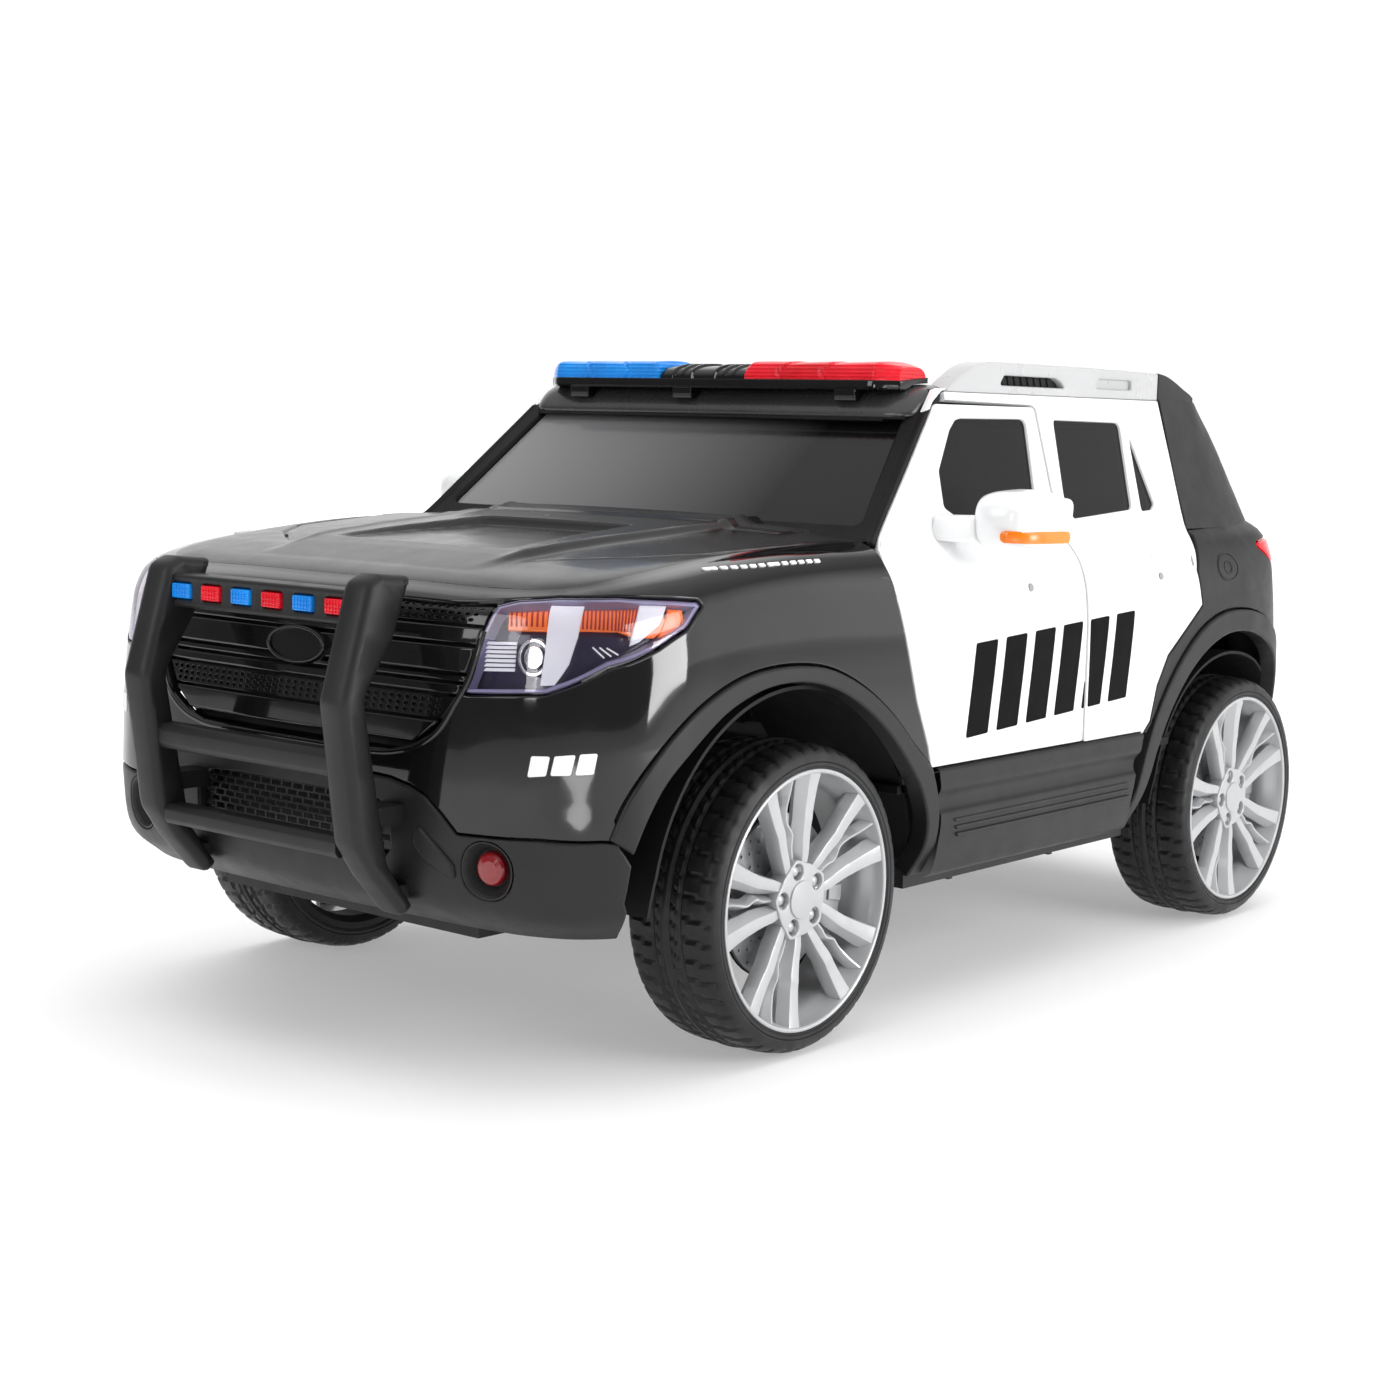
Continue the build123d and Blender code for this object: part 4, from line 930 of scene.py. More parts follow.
p = Panel().add(B, bumper, holes=[circle(fog_c, 21.5, 32)], gap=0.8, r=2.4, thick=7, grid=8, step=4)
# raised fang
p.add(B, fillet(fang, 7), gap=0.0, r=2.4, thick=1, lift=2.6, grid=9, step=3)
p.mirrored().make("front_bumper_skin", "black_satin", replaces=("front_bumper",), slot="black_satin")

# ---- flares: a raised band with a rolled inner edge going into the arch
for name, a, b, node in (("front_flares", f_out, f_in, "front_arch_flares"), ("rear_flares", r_out, r_in, "rear_arch_flares")):
    band = np.vstack([a, b[::-1]])
    p = Panel().add(B, band, gap=0.3, r=2.6, thick=13, lift=3.2, grid=8, step=4)
    c = (a - b); c = b + c * 0.0
    p.mirrored().make(name, "black_satin", replaces=(node,), slot="black_satin")

# ---- white side panel and door on the cabin side loft
dn = lambda pts: D.near([(x, z) for x, z in pts], (0, 2))
DOOR = [(122, 213), (128, 233), (147, 273), (164, 324), (174, 357), (178, 385), (170, 398), (160, 407), (100, 461), (38, 519), (-126, 519), (-126, 213)]
DOOR_WIN = [(0, 506), (10, 504), (22, 495), (51, 460), (54, 430), (42, 424), (6, 423), (-12, 430), (-46, 436), (-97, 436), (-107, 507)]
PANEL = [(-129, 212), (-129, 520), (20, 522), (20, 530), (-365, 530), (-367, 470), (-368, 402)] + REAR_EDGE[::-1][1:] + [(-236, 212)]
REAR_WIN = [(-156, 507), (-279, 506), (-270, 424), (-157, 417), (-148, 437)]
QUARTER = [(-292, 497), (-316, 428), (-309, 423), (-288, 422)]
door_win = fillet(dn(DOOR_WIN), [5, 4, 5, 5, 5, 5, 6, 6, 6, 6, 7])
rear_win = fillet(dn(REAR_WIN), [6, 6, 6, 6, 8])
quarter_win = fillet(dn(QUARTER), [3, 3, 3, 3])
door_out = fillet(dn(DOOR), [3, 0, 0, 0, 0, 5, 4, 4, 0, 10, 6, 4])
p = Panel().add(D, door_out, holes=[door_win], gap=0.5, r=1.8, thick=9, grid=10, step=5)
q = p.mirrored(only=True)
p.make("left_door_skin", "white_gloss", body="left_door", replaces=("left_door",), slot="white_gloss")
q.make("right_door_skin", "white_gloss", body="right_door", replaces=("right_door",), slot="white_gloss")
panel_out = fillet(dn(PANEL), [3, 8, 0, 3, 0, 0, 0] + [0] * (len(REAR_EDGE) - 1) + [3])
p = Panel().add(D, panel_out, holes=[rear_win, quarter_win], gap=0.5, r=1.8, thick=9, grid=10, step=5)
q = p.mirrored(only=True)
p.make("left_side_skin", "white_gloss", replaces=("left_side_panel",), slot="white_gloss")
q.make("right_side_skin", "white_gloss", replaces=("right_side_panel",), slot="white_gloss")

# ---- panes, set 3.5 mm into the panels
def pane(loft, outline, name, body, node, mirror_only=None):
    p = Panel().sheet(loft, shift(ccw(outline), -1.5), lift=-3.4, grid=14, step=6)
    if mirror_only is None:
        p.mirrored()
    elif mirror_only:
        p = p.mirrored(only=True)
    return p


for side, flag in (("left", False), ("right", True)):
    pane(D, door_win, None, None, None, flag).make(side + "_door_pane", "smoked_glass", body=side + "_door", replaces=(side + "_door_window",), slot="smoked")
p = Panel().sheet(D, shift(ccw(rear_win), -1.5), lift=-3.4, grid=14, step=6).sheet(D, shift(ccw(quarter_win), -1.5), lift=-3.4, grid=14, step=6)
p.mirrored().make("rear_side_panes", "smoked_glass", replaces=("rear_side_windows",), slot="smoked")

# ---- sill: two facets with a step and three grooves
SILL = [(296.5, 212), (300.5, 210), (301.5, 204), (301.5, 193), (299.5, 190), (297.5, 186), (299.0, 176), (301.8, 172), (302.0, 168), (301.0, 150), (299.5, 132), (296, 121), (290, 117.5)]
xs_f = curve2([(111, 212), (109, 186), (108, 160), (111, 140), (115, 117)], 30)
xs_r = curve2([(-240, 212), (-229, 186), (-222, 160), (-218, 140), (-217, 117)], 30)
s = Shape()
prof = curve2(SILL, 60)
rows = []
for k, (y, z) in enumerate(prof):
    xa = np.interp(-z, -xs_f[:, 1], xs_f[:, 0]); xb = np.interp(-z, -xs_r[:, 1], xs_r[:, 0])
    rows.append([(xb + (xa - xb) * t, y, z) for t in np.linspace(0, 1, 40)])
n = 40
V = np.array(rows).reshape(-1, 3)
F = [(i * n + j, i * n + j + 1, (i + 1) * n + j + 1, (i + 1) * n + j) for i in range(len(rows) - 1) for j in range(n - 1)]
s.add(V, [f[::-1] for f in F])
# groove blades
for z0, z1, x0, x1 in ((157, 160.5, -214, 84), (163.5, 167, -211, 86), (150.5, 154, -216, 82)):
    prism(s, fillet([(x0, z0), (x1, z0), (x1 + 3, z1), (x0 + 3, z1)], 1.5), "y", 299.0, 303.2, edge=1.0)
s.mirrored().make("sill_skins", "black_satin", replaces=("sill_steps",), slot="black_satin")

# ---- rear quarter, gloss below the belt, and tail
tail_lamp = low([(-484, 296, 393), (-520, 289, 396), (-560, 268, 395), (-592, 232, 396), (-606, 208, 397), (-612, 204, 372), (-612, 206, 352), (-600, 232, 352),
                 (-560, 273, 360), (-520, 290, 372)])
rear_start = [(-240, 209)]
end = B.size[0]
bump_r = low([(-603, 234, 206), (-615, 190, 214), (-621, 120, 214), (-624, 60, 214)])
quarter = np.vstack([
    side_st([(-241, 209)]), r_out[(r_out[:, 1] > side_st([(-240, 209)])[0][1])],
    low([(-597, 240, 205), (-606, 222, 206), (-612, 200, 212)]), low([(-614, 196, 260), (-610, 200, 330), (-600, 206, 385)]),
    at_top([(-585, 205)]), [[st, TOP + E] for st in np.linspace(B.near([(-580, 215, 411)])[0][0], B.near([(-366, 270, 402)])[0][0], 25)],
    side_st(REAR_EDGE[::-1]),
])
p = Panel().add(B, quarter, holes=[fillet(tail_lamp, 4)], gap=0.8, r=1.8, thick=7, grid=9, step=5)
# greenhouse behind the white panel
hn = lambda pts, d=(0, 2): H.near(pts, d)
HT = H.size[1]
hq = np.vstack([hn([(-368, 404), (-368, 532)])[:, :], [[st, HT] for st in np.linspace(4, H.near([(-480, 190, 524)])[0][0], 20)],
                [[st, 0] for st in np.linspace(H.near([(-566, 190, 412)])[0][0], 6, 20)]])
p.add(H, hq, gap=0.4, r=1.5, thick=6, grid=10, step=6)
p.mirrored().make("rear_quarters", "black_satin", replaces=("rear_body",), slot="black_satin")


# ------------------------------------------------------------------ bonnet
EDGE = B.at([[s_, TOP] for s_ in np.linspace(B.near([(165, 270, 400)], (0, 1, 2))[0][0], mid0, 400)])      # side to nose middle
EDGE_N = B.normal([[s_, TOP] for s_ in np.linspace(B.near([(165, 270, 400)], (0, 1, 2))[0][0], mid0, 400)])


def bonnet_height(x, y):
    """Crowned top with a raised middle, two ridges and a recess."""
    zc = np.interp(x, [150, 180, 234, 300, 359, 400, 450, 500, 524], [412, 411, 408.5, 403, 398.5, 394.5, 389, 381.5, 377])
    ze = np.interp(x, [150, 179, 259, 338, 404, 453, 489, 508, 524], [404, 404, 401, 396.5, 391.5, 386, 380.5, 377.5, 377])
    Yh = np.interp(x, [150, 259, 338, 404, 453, 489, 524], [271, 274, 276, 270, 256, 236, 200])
    v = np.clip(np.abs(y) / Yh, 0, 1)
    z = ze + (zc - ze) * (1 - v**2.4)
    a = np.abs(y)
    # raised middle with a sharp ridge
    yr = 128 + (430 - x) * 0.06
    up = np.clip((yr + 9 - a) / 18, 0, 1); up = up * up * (3 - 2 * up)
    fade = np.clip((492 - x) / 60, 0, 1)
    z = z + 5.2 * up * fade
    z = z + 2.2 * np.exp(-((a - yr + 4) / 4.2) ** 2) * np.clip((468 - x) / 40, 0, 1)
    # recess between the ridges, deepest at its rear edge
    ht = np.interp(x, [270, 430], [88, 102])
    ins = np.clip((ht - a) / 5.0, 0, 1) * np.clip((x - 266) / 5.0, 0, 1) * np.clip((432 - x) / 14.0, 0, 1)
    z = z - ins * np.interp(x, [266, 432], [8.5, 2.2])
    # cowl: a low step up below the windscreen
    cw = np.clip((214 - x) / 7, 0, 1) * np.clip((205 - a) / 8, 0, 1)
    z = z + 2.0 * cw
    # flat outer wing crease, along the side
    yw = np.interp(x, [180, 234, 351, 397, 425, 452], [262, 258, 240, 205, 168, 130])
    z = z - 2.6 * np.exp(-((a - yw) / 2.2) ** 2) * np.clip((x - 190) / 20, 0, 1) * np.clip((448 - x) / 25, 0, 1)
    return z


def bonnet_grid():
    # plan mapping between the rear line, the middle and the edge
    nx_, ny_ = 150, 171
    ex, ey, ez = EDGE[:, 0], EDGE[:, 1], EDGE[:, 2]
    # corner parameter: where the edge turns from side to front
    kc = int(np.argmin(np.abs(ex - ey * 2.28)))
    side_i = np.arange(0, kc + 1); front_i = np.arange(kc, len(ex))
    V = []; src = []
    us = np.linspace(0, 1, nx_); vs = np.linspace(-1, 1, ny_)
    sx = lambda u: (1 - u) * 165 + u * ex[kc]
    # edge points by fraction along each branch
    side_f = (ex[side_i] - ex[0]) / (ex[kc] - ex[0])
    front_f = ey[front_i] / ey[kc]
    P = np.zeros((nx_, ny_, 3))
    for i, u in enumerate(us):
        sy = np.interp(u, side_f, ey[side_i]); sxx = np.interp(u, side_f, ex[side_i])
        for j, v in enumerate(vs):
            a = abs(v)
            fx = np.interp(a, front_f[::-1], ex[front_i][::-1])
            fy = a * ey[kc]
            x = sxx + (fx - ex[kc]) * u
            y = sy * a
            P[i, j] = (x, math.copysign(y, v) if v else 0.0, 0)
    XY = P[:, :, :2].reshape(-1, 2)
    a = np.abs(XY[:, 1])
    q = np.stack([XY[:, 0], a], 1)
    E2 = EDGE[:, :2]
    d2 = np.empty(len(q)); near_i = np.empty(len(q), int)
    for k in range(0, len(q), 2000):
        dd = ((q[k:k + 2000, None] - E2[None]) ** 2).sum(2)
        near_i[k:k + 2000] = dd.argmin(1); d2[k:k + 2000] = np.sqrt(dd.min(1))
    z = bonnet_height(XY[:, 0], XY[:, 1])
    ez_i = EDGE[near_i, 2]
    zh_edge = bonnet_height(EDGE[near_i, 0], EDGE[near_i, 1])
    drop = (zh_edge - ez_i) * np.exp(-d2 / np.interp(XY[:, 0], [400, 500], [9, 12]))
    z = z - drop
    V = np.column_stack([XY, z])
    F = []
    for i in range(nx_ - 1):
        for j in range(ny_ - 1):
            k = i * ny_ + j
            F.append((k, k + ny_, k + ny_ + 1, k + 1))
    # normals from the grid
    G = V.reshape(nx_, ny_, 3)
    n = unit(np.cross(np.gradient(G, axis=0), np.gradient(G, axis=1)))
    if n[nx_ // 2, ny_ // 2, 2] < 0:
        n = -n
    n = n.reshape(-1, 3)
    en = EDGE_N[near_i].copy(); en[:, 1] *= np.where(XY[:, 1] < 0, -1, 1)
    w = np.clip(1 - d2 / 5.0, 0, 1)[:, None]
    n = unit(n * (1 - w) + en * w)
    return V, F, n


bv, bf, bn = bonnet_grid()
a_, b_, c_ = (bv[i] for i in bf[len(bf) // 2][:3])
if np.cross(b_ - a_, c_ - a_)[2] < 0:
    bf = [f[::-1] for f in bf]
new_object("bonnet_skin", bv, bf, "bonnet_black", replaces=("bonnet",), slot="black_gloss", normals=bn)

# cowl: smooth raised rear strip below the windscreen, with one small peg
s = Shape(); R = []
for y in np.linspace(-206, 206, 61):
    e = max(0.0, (abs(y) - 176) / 30.0)
    zt = float(bonnet_height(np.array([188.0]), np.array([y]))[0]) + 1.9 * (1 - e ** 2)
    R.append([(178.5, y, zt - 9), (178.5, y, zt - 0.8), (179.6, y, zt), (186, y, zt + 0.1), (192, y, zt - 1.0), (203, y, zt - 4.6), (203, y, zt - 9)])
rings(s, R)
COWL_PEG = 43.0
prism(s, fillet([(178.8, 404), (192.5, 404), (191, 414.2), (180.2, 416.6)], 1.2), "y", COWL_PEG - 1.6, COWL_PEG + 1.6, edge=0.7)
s.make("cowl_strip", "black_satin", slot="black_satin", smooth=40)

# ------------------------------------------------------------------ grille
gn = lambda pts: B.near(pts, (1, 2), xmin=420)


def half_width(z):
    return float(np.interp(z, [256, 269, 293, 300, 337, 364], [131, 153, 170, 175, 187, 191]))


def bar_outline(z0, z1, cut=3.0):
    w0, w1 = half_width(z0) - cut, half_width(z1) - cut
    lo_ = [(y, z0) for y in np.linspace(-w0, w0, 31)]
    hi_ = [(y, z1) for y in np.linspace(w1, -w1, 31)]
    return gn(lo_ + hi_)


p = Panel()
# near-black sheet deep behind the bars: painted shade inside the grille opening
p.sheet(B, bar_outline(252, 366, 0.5), lift=-14, grid=16, mat=1, step=10)
for z0, z1, lift in ((333.5, 346.5, -3.0), (312.5, 331.5, -2.2), (305.8, 310.6, -4.5), (296.2, 304.0, -3.4), (258.5, 275.8, -2.0)):
    p.add(B, bar_outline(z0, z1), gap=0.0, r=min(2.2, (z1 - z0) / 2.6), thick=9 + lift, lift=lift, grid=12, step=8)
# perforated bands
for z0, z1 in ((348.6, 364.5), (277.8, 294.4)):
    holes = []
    zm = (z0 + z1) / 2
    for r_ in (-1, 0, 1):
        z = zm + r_ * 4.7
        w = half_width(z) - 9
        ys = np.arange(-w + (4.1 if r_ == 0 else 0), w, 8.2)
        for y in ys:
            c = gn([(y, z)])[0]
            holes.append(circle(c, 2.5, 10, ry=1.55))
    p.add(B, bar_outline(z0, z1), holes=holes, gap=0.0, r=0.5, thick=-1.0, lift=-4.6, grid=0, step=3, mat=0)
# bare oval plate: rim and slightly domed disc
c = gn([(0, 320)])[0]
p.add(B, circle(c, 33.5, 72, ry=15.6), holes=[circle(c, 30.4, 60, ry=12.9)], gap=0.0, r=1.3, thick=5, lift=3.6, grid=0, step=3)
p.sheet(B, circle(c, 30.6, 60, ry=13.1), grid=2.6, lift=0, step=3,
        height=lambda v: 0.6 + 2.2 * np.clip(1 - ((v[:, 0] - c[0]) / 31) ** 2 - ((v[:, 1] - c[1]) / 13.4) ** 2, 0, 1))
p.make("grille_face", ["black_gloss", "dark_hole"], replaces=("grille",), slot="black_gloss")

# thin ridge round the grille
gr = low([(547, 190, 345), (548, 185, 322), (550.5, 180, 305), (553, 172, 291), (557, 157, 268), (560, 133, 254), (563, 112, 249), (565, 60, 247.5), (566, 0, 247.5)])
line = curve2(gr, 60)
tn = unit(np.gradient(line, axis=0)); nn_ = np.stack([-tn[:, 1], tn[:, 0]], 1)
band = np.vstack([line + nn_ * 2.4, (line - nn_ * 2.4)[::-1]])
band[(np.arange(len(band)) == 59) | (np.arange(len(band)) == 60), 0] -= E - 1
p = Panel().add(B, band, gap=0.0, r=2.0, thick=1.5, lift=1.7, grid=0, step=3)
p.mirrored().make("grille_surround", "black_gloss", slot="black_gloss")

# ------------------------------------------------------------------ lower mesh in the bumper
p = Panel()
mo = [(-113, 168), (-104, 164), (104, 164), (113, 168), (113, 208), (104, 215), (-104, 215), (-113, 208)]
# near-black sheet behind the mesh: painted shade inside the opening
p.sheet(B, gn(mo), lift=-15, grid=16, mat=1, step=10)
holes = []
for i, z in enumerate(np.arange(170.5, 211, 5.6)):
    for y in np.arange(-108 + (6.5 if i % 2 else 0), 105, 13.0):
        holes.append(gn([(y - 5.2, z - 1.9), (y + 5.2, z - 1.9), (y + 5.2, z + 1.9), (y - 5.2, z + 1.9)]))
p.add(B, gn([(-115, 166), (115, 166), (115, 213), (-115, 213)]), holes=holes, gap=0.0, r=0.5, thick=-3, lift=-8.0, grid=0, step=30)
p.make("bumper_mesh", ["black_satin", "dark_hole"], slot="black_satin")

# fog lamps: recess cup, ring, red lens, riding on the bumper
p = Panel()
fc = fog_c
# the deep cup walls take the near-black material: painted shade in the recess
for r0_, r1_, l0, l1, mt in ((21.8, 20.6, -0.6, -1.0, 0), (20.6, 19.2, -1.0, -3.0, 0), (19.2, 14.5, -3.0, -10.5, 2), (14.5, 12.8, -10.5, -11.0, 2), (12.8, 12.2, -11.0, -6.8, 1), (12.2, 10.6, -6.8, -5.2, 1), (10.6, 6.5, -5.2, -4.0, 1), (6.5, 0.05, -4.0, -3.5, 1)):
    n_ = 40
    c0, c1 = circle(fc, r0_, n_), circle(fc, r1_, n_)
    V = np.vstack([B.at(c0) + B.normal(c0) * l0, B.at(c1) + B.normal(c1) * l1])
    F = [(i, (i + 1) % n_, n_ + (i + 1) % n_, n_ + i) for i in range(n_)]
    a_, b_, d_ = V[0], V[1], V[n_]
    if np.dot(np.cross(V[1] - V[0], V[n_ + 1] - V[0]), B.normal([fc])[0] + 0.4 * unit((V[0] - V[n_]) if l0 > l1 else -(V[n_] - V[0]))) < 0:
        F = [f[::-1] for f in F]
    p.V.append(V); p.N.append(np.vstack([B.normal(c0), B.normal(c1)])); p.F += [tuple(i + p.n for i in f) for f in F]; p.M += [mt] * len(F); p.n += len(V)
V = np.vstack(p.V)
s = Shape().add(V, p.F); s.m = list(p.M)
s.mirrored().make("fog_lamp_units", ["black_satin", "fog_red", "dark_hole"], replaces=("fog_lamps",), slot="red_lens", smooth=30)

# ------------------------------------------------------------------ headlights
p = Panel()
lo2 = fillet(lamp_out, [4, 0, 0, 0, 0, 3, 6, 5, 0, 0, 0, 0, 0, 4, 6])
lo2 = ccw(lo2)
p.sheet(B, shift(lo2, 0.4), lift=-15, grid=10, mat=0)
# inner rim that holds the lens, a violet frame
fr_in = shift(resample(drop_close(lo2), 4), 4.2)
p.add(B, shift(lo2, 1.0), holes=[fr_in], gap=0.0, r=0.7, thick=13, lift=-2.2, grid=0, mat=5)
# orange ribbed strip
strip_ = low([(533, 201, 362), (521, 229, 365), (503, 257, 366), (474, 278, 366), (455, 284, 366), (452, 292, 350), (466, 291, 342), (486, 285, 345), (494, 278, 349),
              (513, 262, 349.5), (531, 234, 348), (540, 205, 347)])
p.add(B, strip_, gap=0.0, r=1.2, thick=3, lift=-7.5, grid=9, mat=1)
tip = low([(449, 287, 364), (436, 290, 363), (437, 294, 354), (450, 294, 345), (463, 292, 342)])
p.add(B, tip, gap=0.0, r=1.2, thick=3, lift=-6.5, grid=9, mat=1)
# fine ribs across the strip
for k in range(34):
    t = k / 33
    top_ = np.array([np.interp(t, [0, .33, .66, 1], v) for v in ([532, 512, 488, 462], [204, 246, 269, 284], [361, 364, 364, 364])])
    bot_ = np.array([np.interp(t, [0, .33, .66, 1], v) for v in ([538, 520, 496, 472], [208, 252, 277, 289], [350, 351, 350, 346])])
    ab = B.near([top_, bot_])
    d_ = unit(ab[1] - ab[0]); w = np.array([-d_[1], d_[0]]) * 0.75
    p.add(B, np.array([ab[0] + w, ab[1] + w, ab[1] - w, ab[0] - w]), gap=0.0, r=0.5, thick=-5.6, lift=-6.3, grid=0, mat=2, step=20)
# white ribbed inner block
for k in range(7):
    z = 315.5 + k * 3.3
    blk = B.near([(549, 189, z), (543.5, 217, z + 1.6), (543, 217, z + 3.9), (547, 191, z + 2.4)])
    p.add(B, blk, gap=0.0, r=0.5, thick=-2, lift=-6.0, grid=0, mat=3, step=20)
# white panels in the lamp, a painted reflection: they stand in for the bright reflection crossing the lens
w1 = low([(517, 231, 367), (505, 253, 367.5), (518, 259, 344), (524, 256, 324), (533, 249, 309), (538, 239, 308), (534, 240, 334)])
p.add(B, w1, gap=0.0, r=1.0, thick=-1, lift=-4.4, grid=8, mat=3)
w2 = low([(472, 278, 367), (450, 286, 367), (462, 290, 352), (480, 287, 340), (488, 284, 337), (484, 284, 350)])
p.add(B, w2, gap=0.0, r=1.0, thick=-1, lift=-4.4, grid=8, mat=3)
# lower rib lines near the outer corner
for k in range(3):
    a0 = np.array([511 - k * 5, 268 + k * 2.6, 337 - k * 0.5]); a1 = np.array([503 - k * 5, 273 + k * 2.4, 328.5 + k * 1.0])
    ab = B.near([a0, a1]); d_ = unit(ab[1] - ab[0]); w = np.array([-d_[1], d_[0]]) * 0.6
    p.add(B, np.array([ab[0] + w, ab[1] + w, ab[1] - w, ab[0] - w]), gap=0.0, r=0.4, thick=-8, lift=-8.5, grid=0, mat=3, step=20)
# projector: ring and ball
pc = low([(537, 231, 328)])[0]
for r0_, r1_, lf, mt in ((13.4, 10.6, -5.0, 4), (10.6, 8.4, -8.0, 0), (8.2, 0.2, -6.0, 4)):
    p.add(B, circle(pc, r0_, 36), holes=[circle(pc, r1_, 28)] if r1_ > 1 else [], gap=0.0, r=0.8, thick=-3, lift=lf, grid=0 if r1_ > 1 else 3, mat=mt, step=4)
q = p.mirrored()
q.make("headlight_inners", ["lamp_violet", "lamp_orange", "socket_red", "lamp_white", "bright_plate", "lamp_rim"], replaces=("headlights",), slot="clear_lens")
p = Panel().add(B, shift(lo2, 1.2), gap=0.0, r=1.6, thick=2.6, lift=-0.2, grid=8)
p.mirrored().make("headlight_lenses", "clear_lens", slot="clear_lens")

# dark plate deep behind the grille, closing the nose; its near-black colour is painted shade inside the opening
s = Shape()
prism(s, fillet([(-236, 352), (-236, 262), (-150, 196), (150, 196), (236, 262), (236, 352)], 12), "x", 488, 490)
s.make("nose_plate", "dark_hole", slot="black_satin")

# ------------------------------------------------------------------ push bar
UP = [(557, 381), (587, 383), (600, 377), (625, 291), (610, 184), (592, 158), (562, 125), (552, 133), (578, 168), (588, 218), (602, 293), (574, 335)]
s = Shape()
for y0, y1 in ((101, 131), (-131, -101)):
    o = resample(fillet(UP, [4, 5, 12, 16, 22, 22, 6, 4, 16, 40, 22, 20]), 9)
    prism(s, o, "y", y0, y1, edge=7.0)
# top lamp housing with six pockets
lampy = (-90, -54, -18, 18, 54, 90)
prism(s, fillet([(-101.5, 344), (101.5, 344), (101.5, 370), (-101.5, 370)], 0.5), "x", 573, 597.2, edge=2.6,
      holes=[fillet([(y - 11.6, 350.6), (y + 11.6, 350.6), (y + 11.6, 363.4), (y - 11.6, 363.4)], 2.0) for y in lampy])
box(s, 575, 589, -101, 101, 346, 368)
s2 = Shape()
prism(s2, fillet([(595, 233), (609, 233), (612, 238), (612, 248), (608, 253), (594, 253)], 2.5), "y", -101.5, 101.5)
prism(s2, fillet([(588, 172), (603, 172), (606, 176), (606, 184), (602, 188), (588, 188)], 2.5), "y", -101.5, 101.5)
for y0, y1 in ((104, 128), (-128, -104)):
    box(s2, 560, 596, y0, y1, 197, 211)
    box(s2, 557, 566, y0, y1, 140, 150)
s.add(s2.verts(), s2.f)
s.make("push_bar_frame", "black_satin", replaces=("push_bar",), slot="black_satin", smooth=40)
for nm, ys, mt, node in (("push_bar_blue_lights", (-90, -18, 54), "bar_blue", "push_bar_blue_lamps"), ("push_bar_red_lights", (-54, 18, 90), "bar_red", "push_bar_red_lamps")):
    s = Shape()
    for y in ys:
        prism(s, fillet([(y - 10.8, 351.2), (y + 10.8, 351.2), (y + 10.8, 362.8), (y - 10.8, 362.8)], 1.6), "x", 591, 598.8, edge=1.5)
        # cut pattern: fine bars
        for k in range(5):
            prism(s, [(y - 8.4 + k * 3.4, 352.6), (y - 7.2 + k * 3.4, 352.6), (y - 7.2 + k * 3.4, 361.6), (y - 8.4 + k * 3.4, 361.6)], "x", 598.4, 599.5, edge=0.3)
        for z in (354.4, 357.2, 360.0):
            prism(s, [(y - 9, z - .4), (y + 9, z - .4), (y + 9, z + .4), (y - 9, z + .4)], "x", 598.4, 599.3, edge=0.2)
    s.make(nm, mt, replaces=(node,), slot="blue_lens" if "blue" in nm else "red_lens", smooth=30)


# ------------------------------------------------------------------ windscreen frame, header, screen
def wide(z):
    return float(np.interp(z, [402, 416, 438, 466, 494, 519, 533, 536], [268, 262.5, 256, 248, 240, 233, 229, 228]))


SLOPE = [(177, 399), (166, 408), (138.8, 433), (111.6, 458), (84.4, 483), (57.2, 508), (43.6, 520.5), (30, 533)]
W = Loft([[(x - 1.5 * (1 - abs(f) ** 3) * 0, f * wide(z), z) for x, z in SLOPE] for f in np.linspace(-1, 1, 13)], 200, 120, side=(1, 0, 0.5))
wn = lambda pts: W.near(pts, (1, 2))
screen_hole = fillet(wn([(-243, 416), (243, 416), (211, 514), (-211, 514)]), [9, 9, 7, 7])
frame_out = np.vstack([wn([(y, 403.0) for y in np.linspace(-264.5, 264.5, 25)]), wn([(wide(z) - 1.2, z) for z in np.linspace(404, 532, 18)]),
                       wn([(y, 532.4) for y in np.linspace(226, -226, 21)]), wn([(-wide(z) + 1.2, z) for z in np.linspace(532, 404, 18)])])
p = Panel().add(W, frame_out, holes=[screen_hole], gap=0.2, r=3.2, thick=13, grid=11, step=6)
# A-pillar sides, on the cabin side loft, beside the doors
pil = fillet(dn([(176, 403), (168, 409), (56.4, 510.6), (47, 513.2), (101, 463), (161, 409), (170, 401.5)]), [1, 6, 2, 1, 0, 0, 2])
tip = fillet(dn([(56.4, 510.6), (33, 532), (12, 532.4), (24, 529), (40, 519.8), (47, 513.2)]), [1, 2, 1, 1, 0, 1])
q = Panel().add(D, pil, gap=0.3, r=1.4, thick=8, grid=8, step=4).add(D, tip, gap=0.2, r=1.0, thick=8, grid=8, step=4, mat=2).mirrored()
k = p.n
p.V += q.V; p.N += q.N; p.F += [tuple(i + k for i in f) for f in q.F]; p.M += q.M; p.n += q.n
# dark rubber step round the pane
p.add(W, shift(ccw(screen_hole), -2.0), holes=[shift(ccw(screen_hole), 4.5)], gap=0.0, r=0.7, thick=7, lift=-5.0, grid=0, step=6, mat=1)
p.make("screen_frame_skin", ["frame_black", "black_matte", "white_gloss"], replaces=("windscreen_frame",), slot="black_satin")

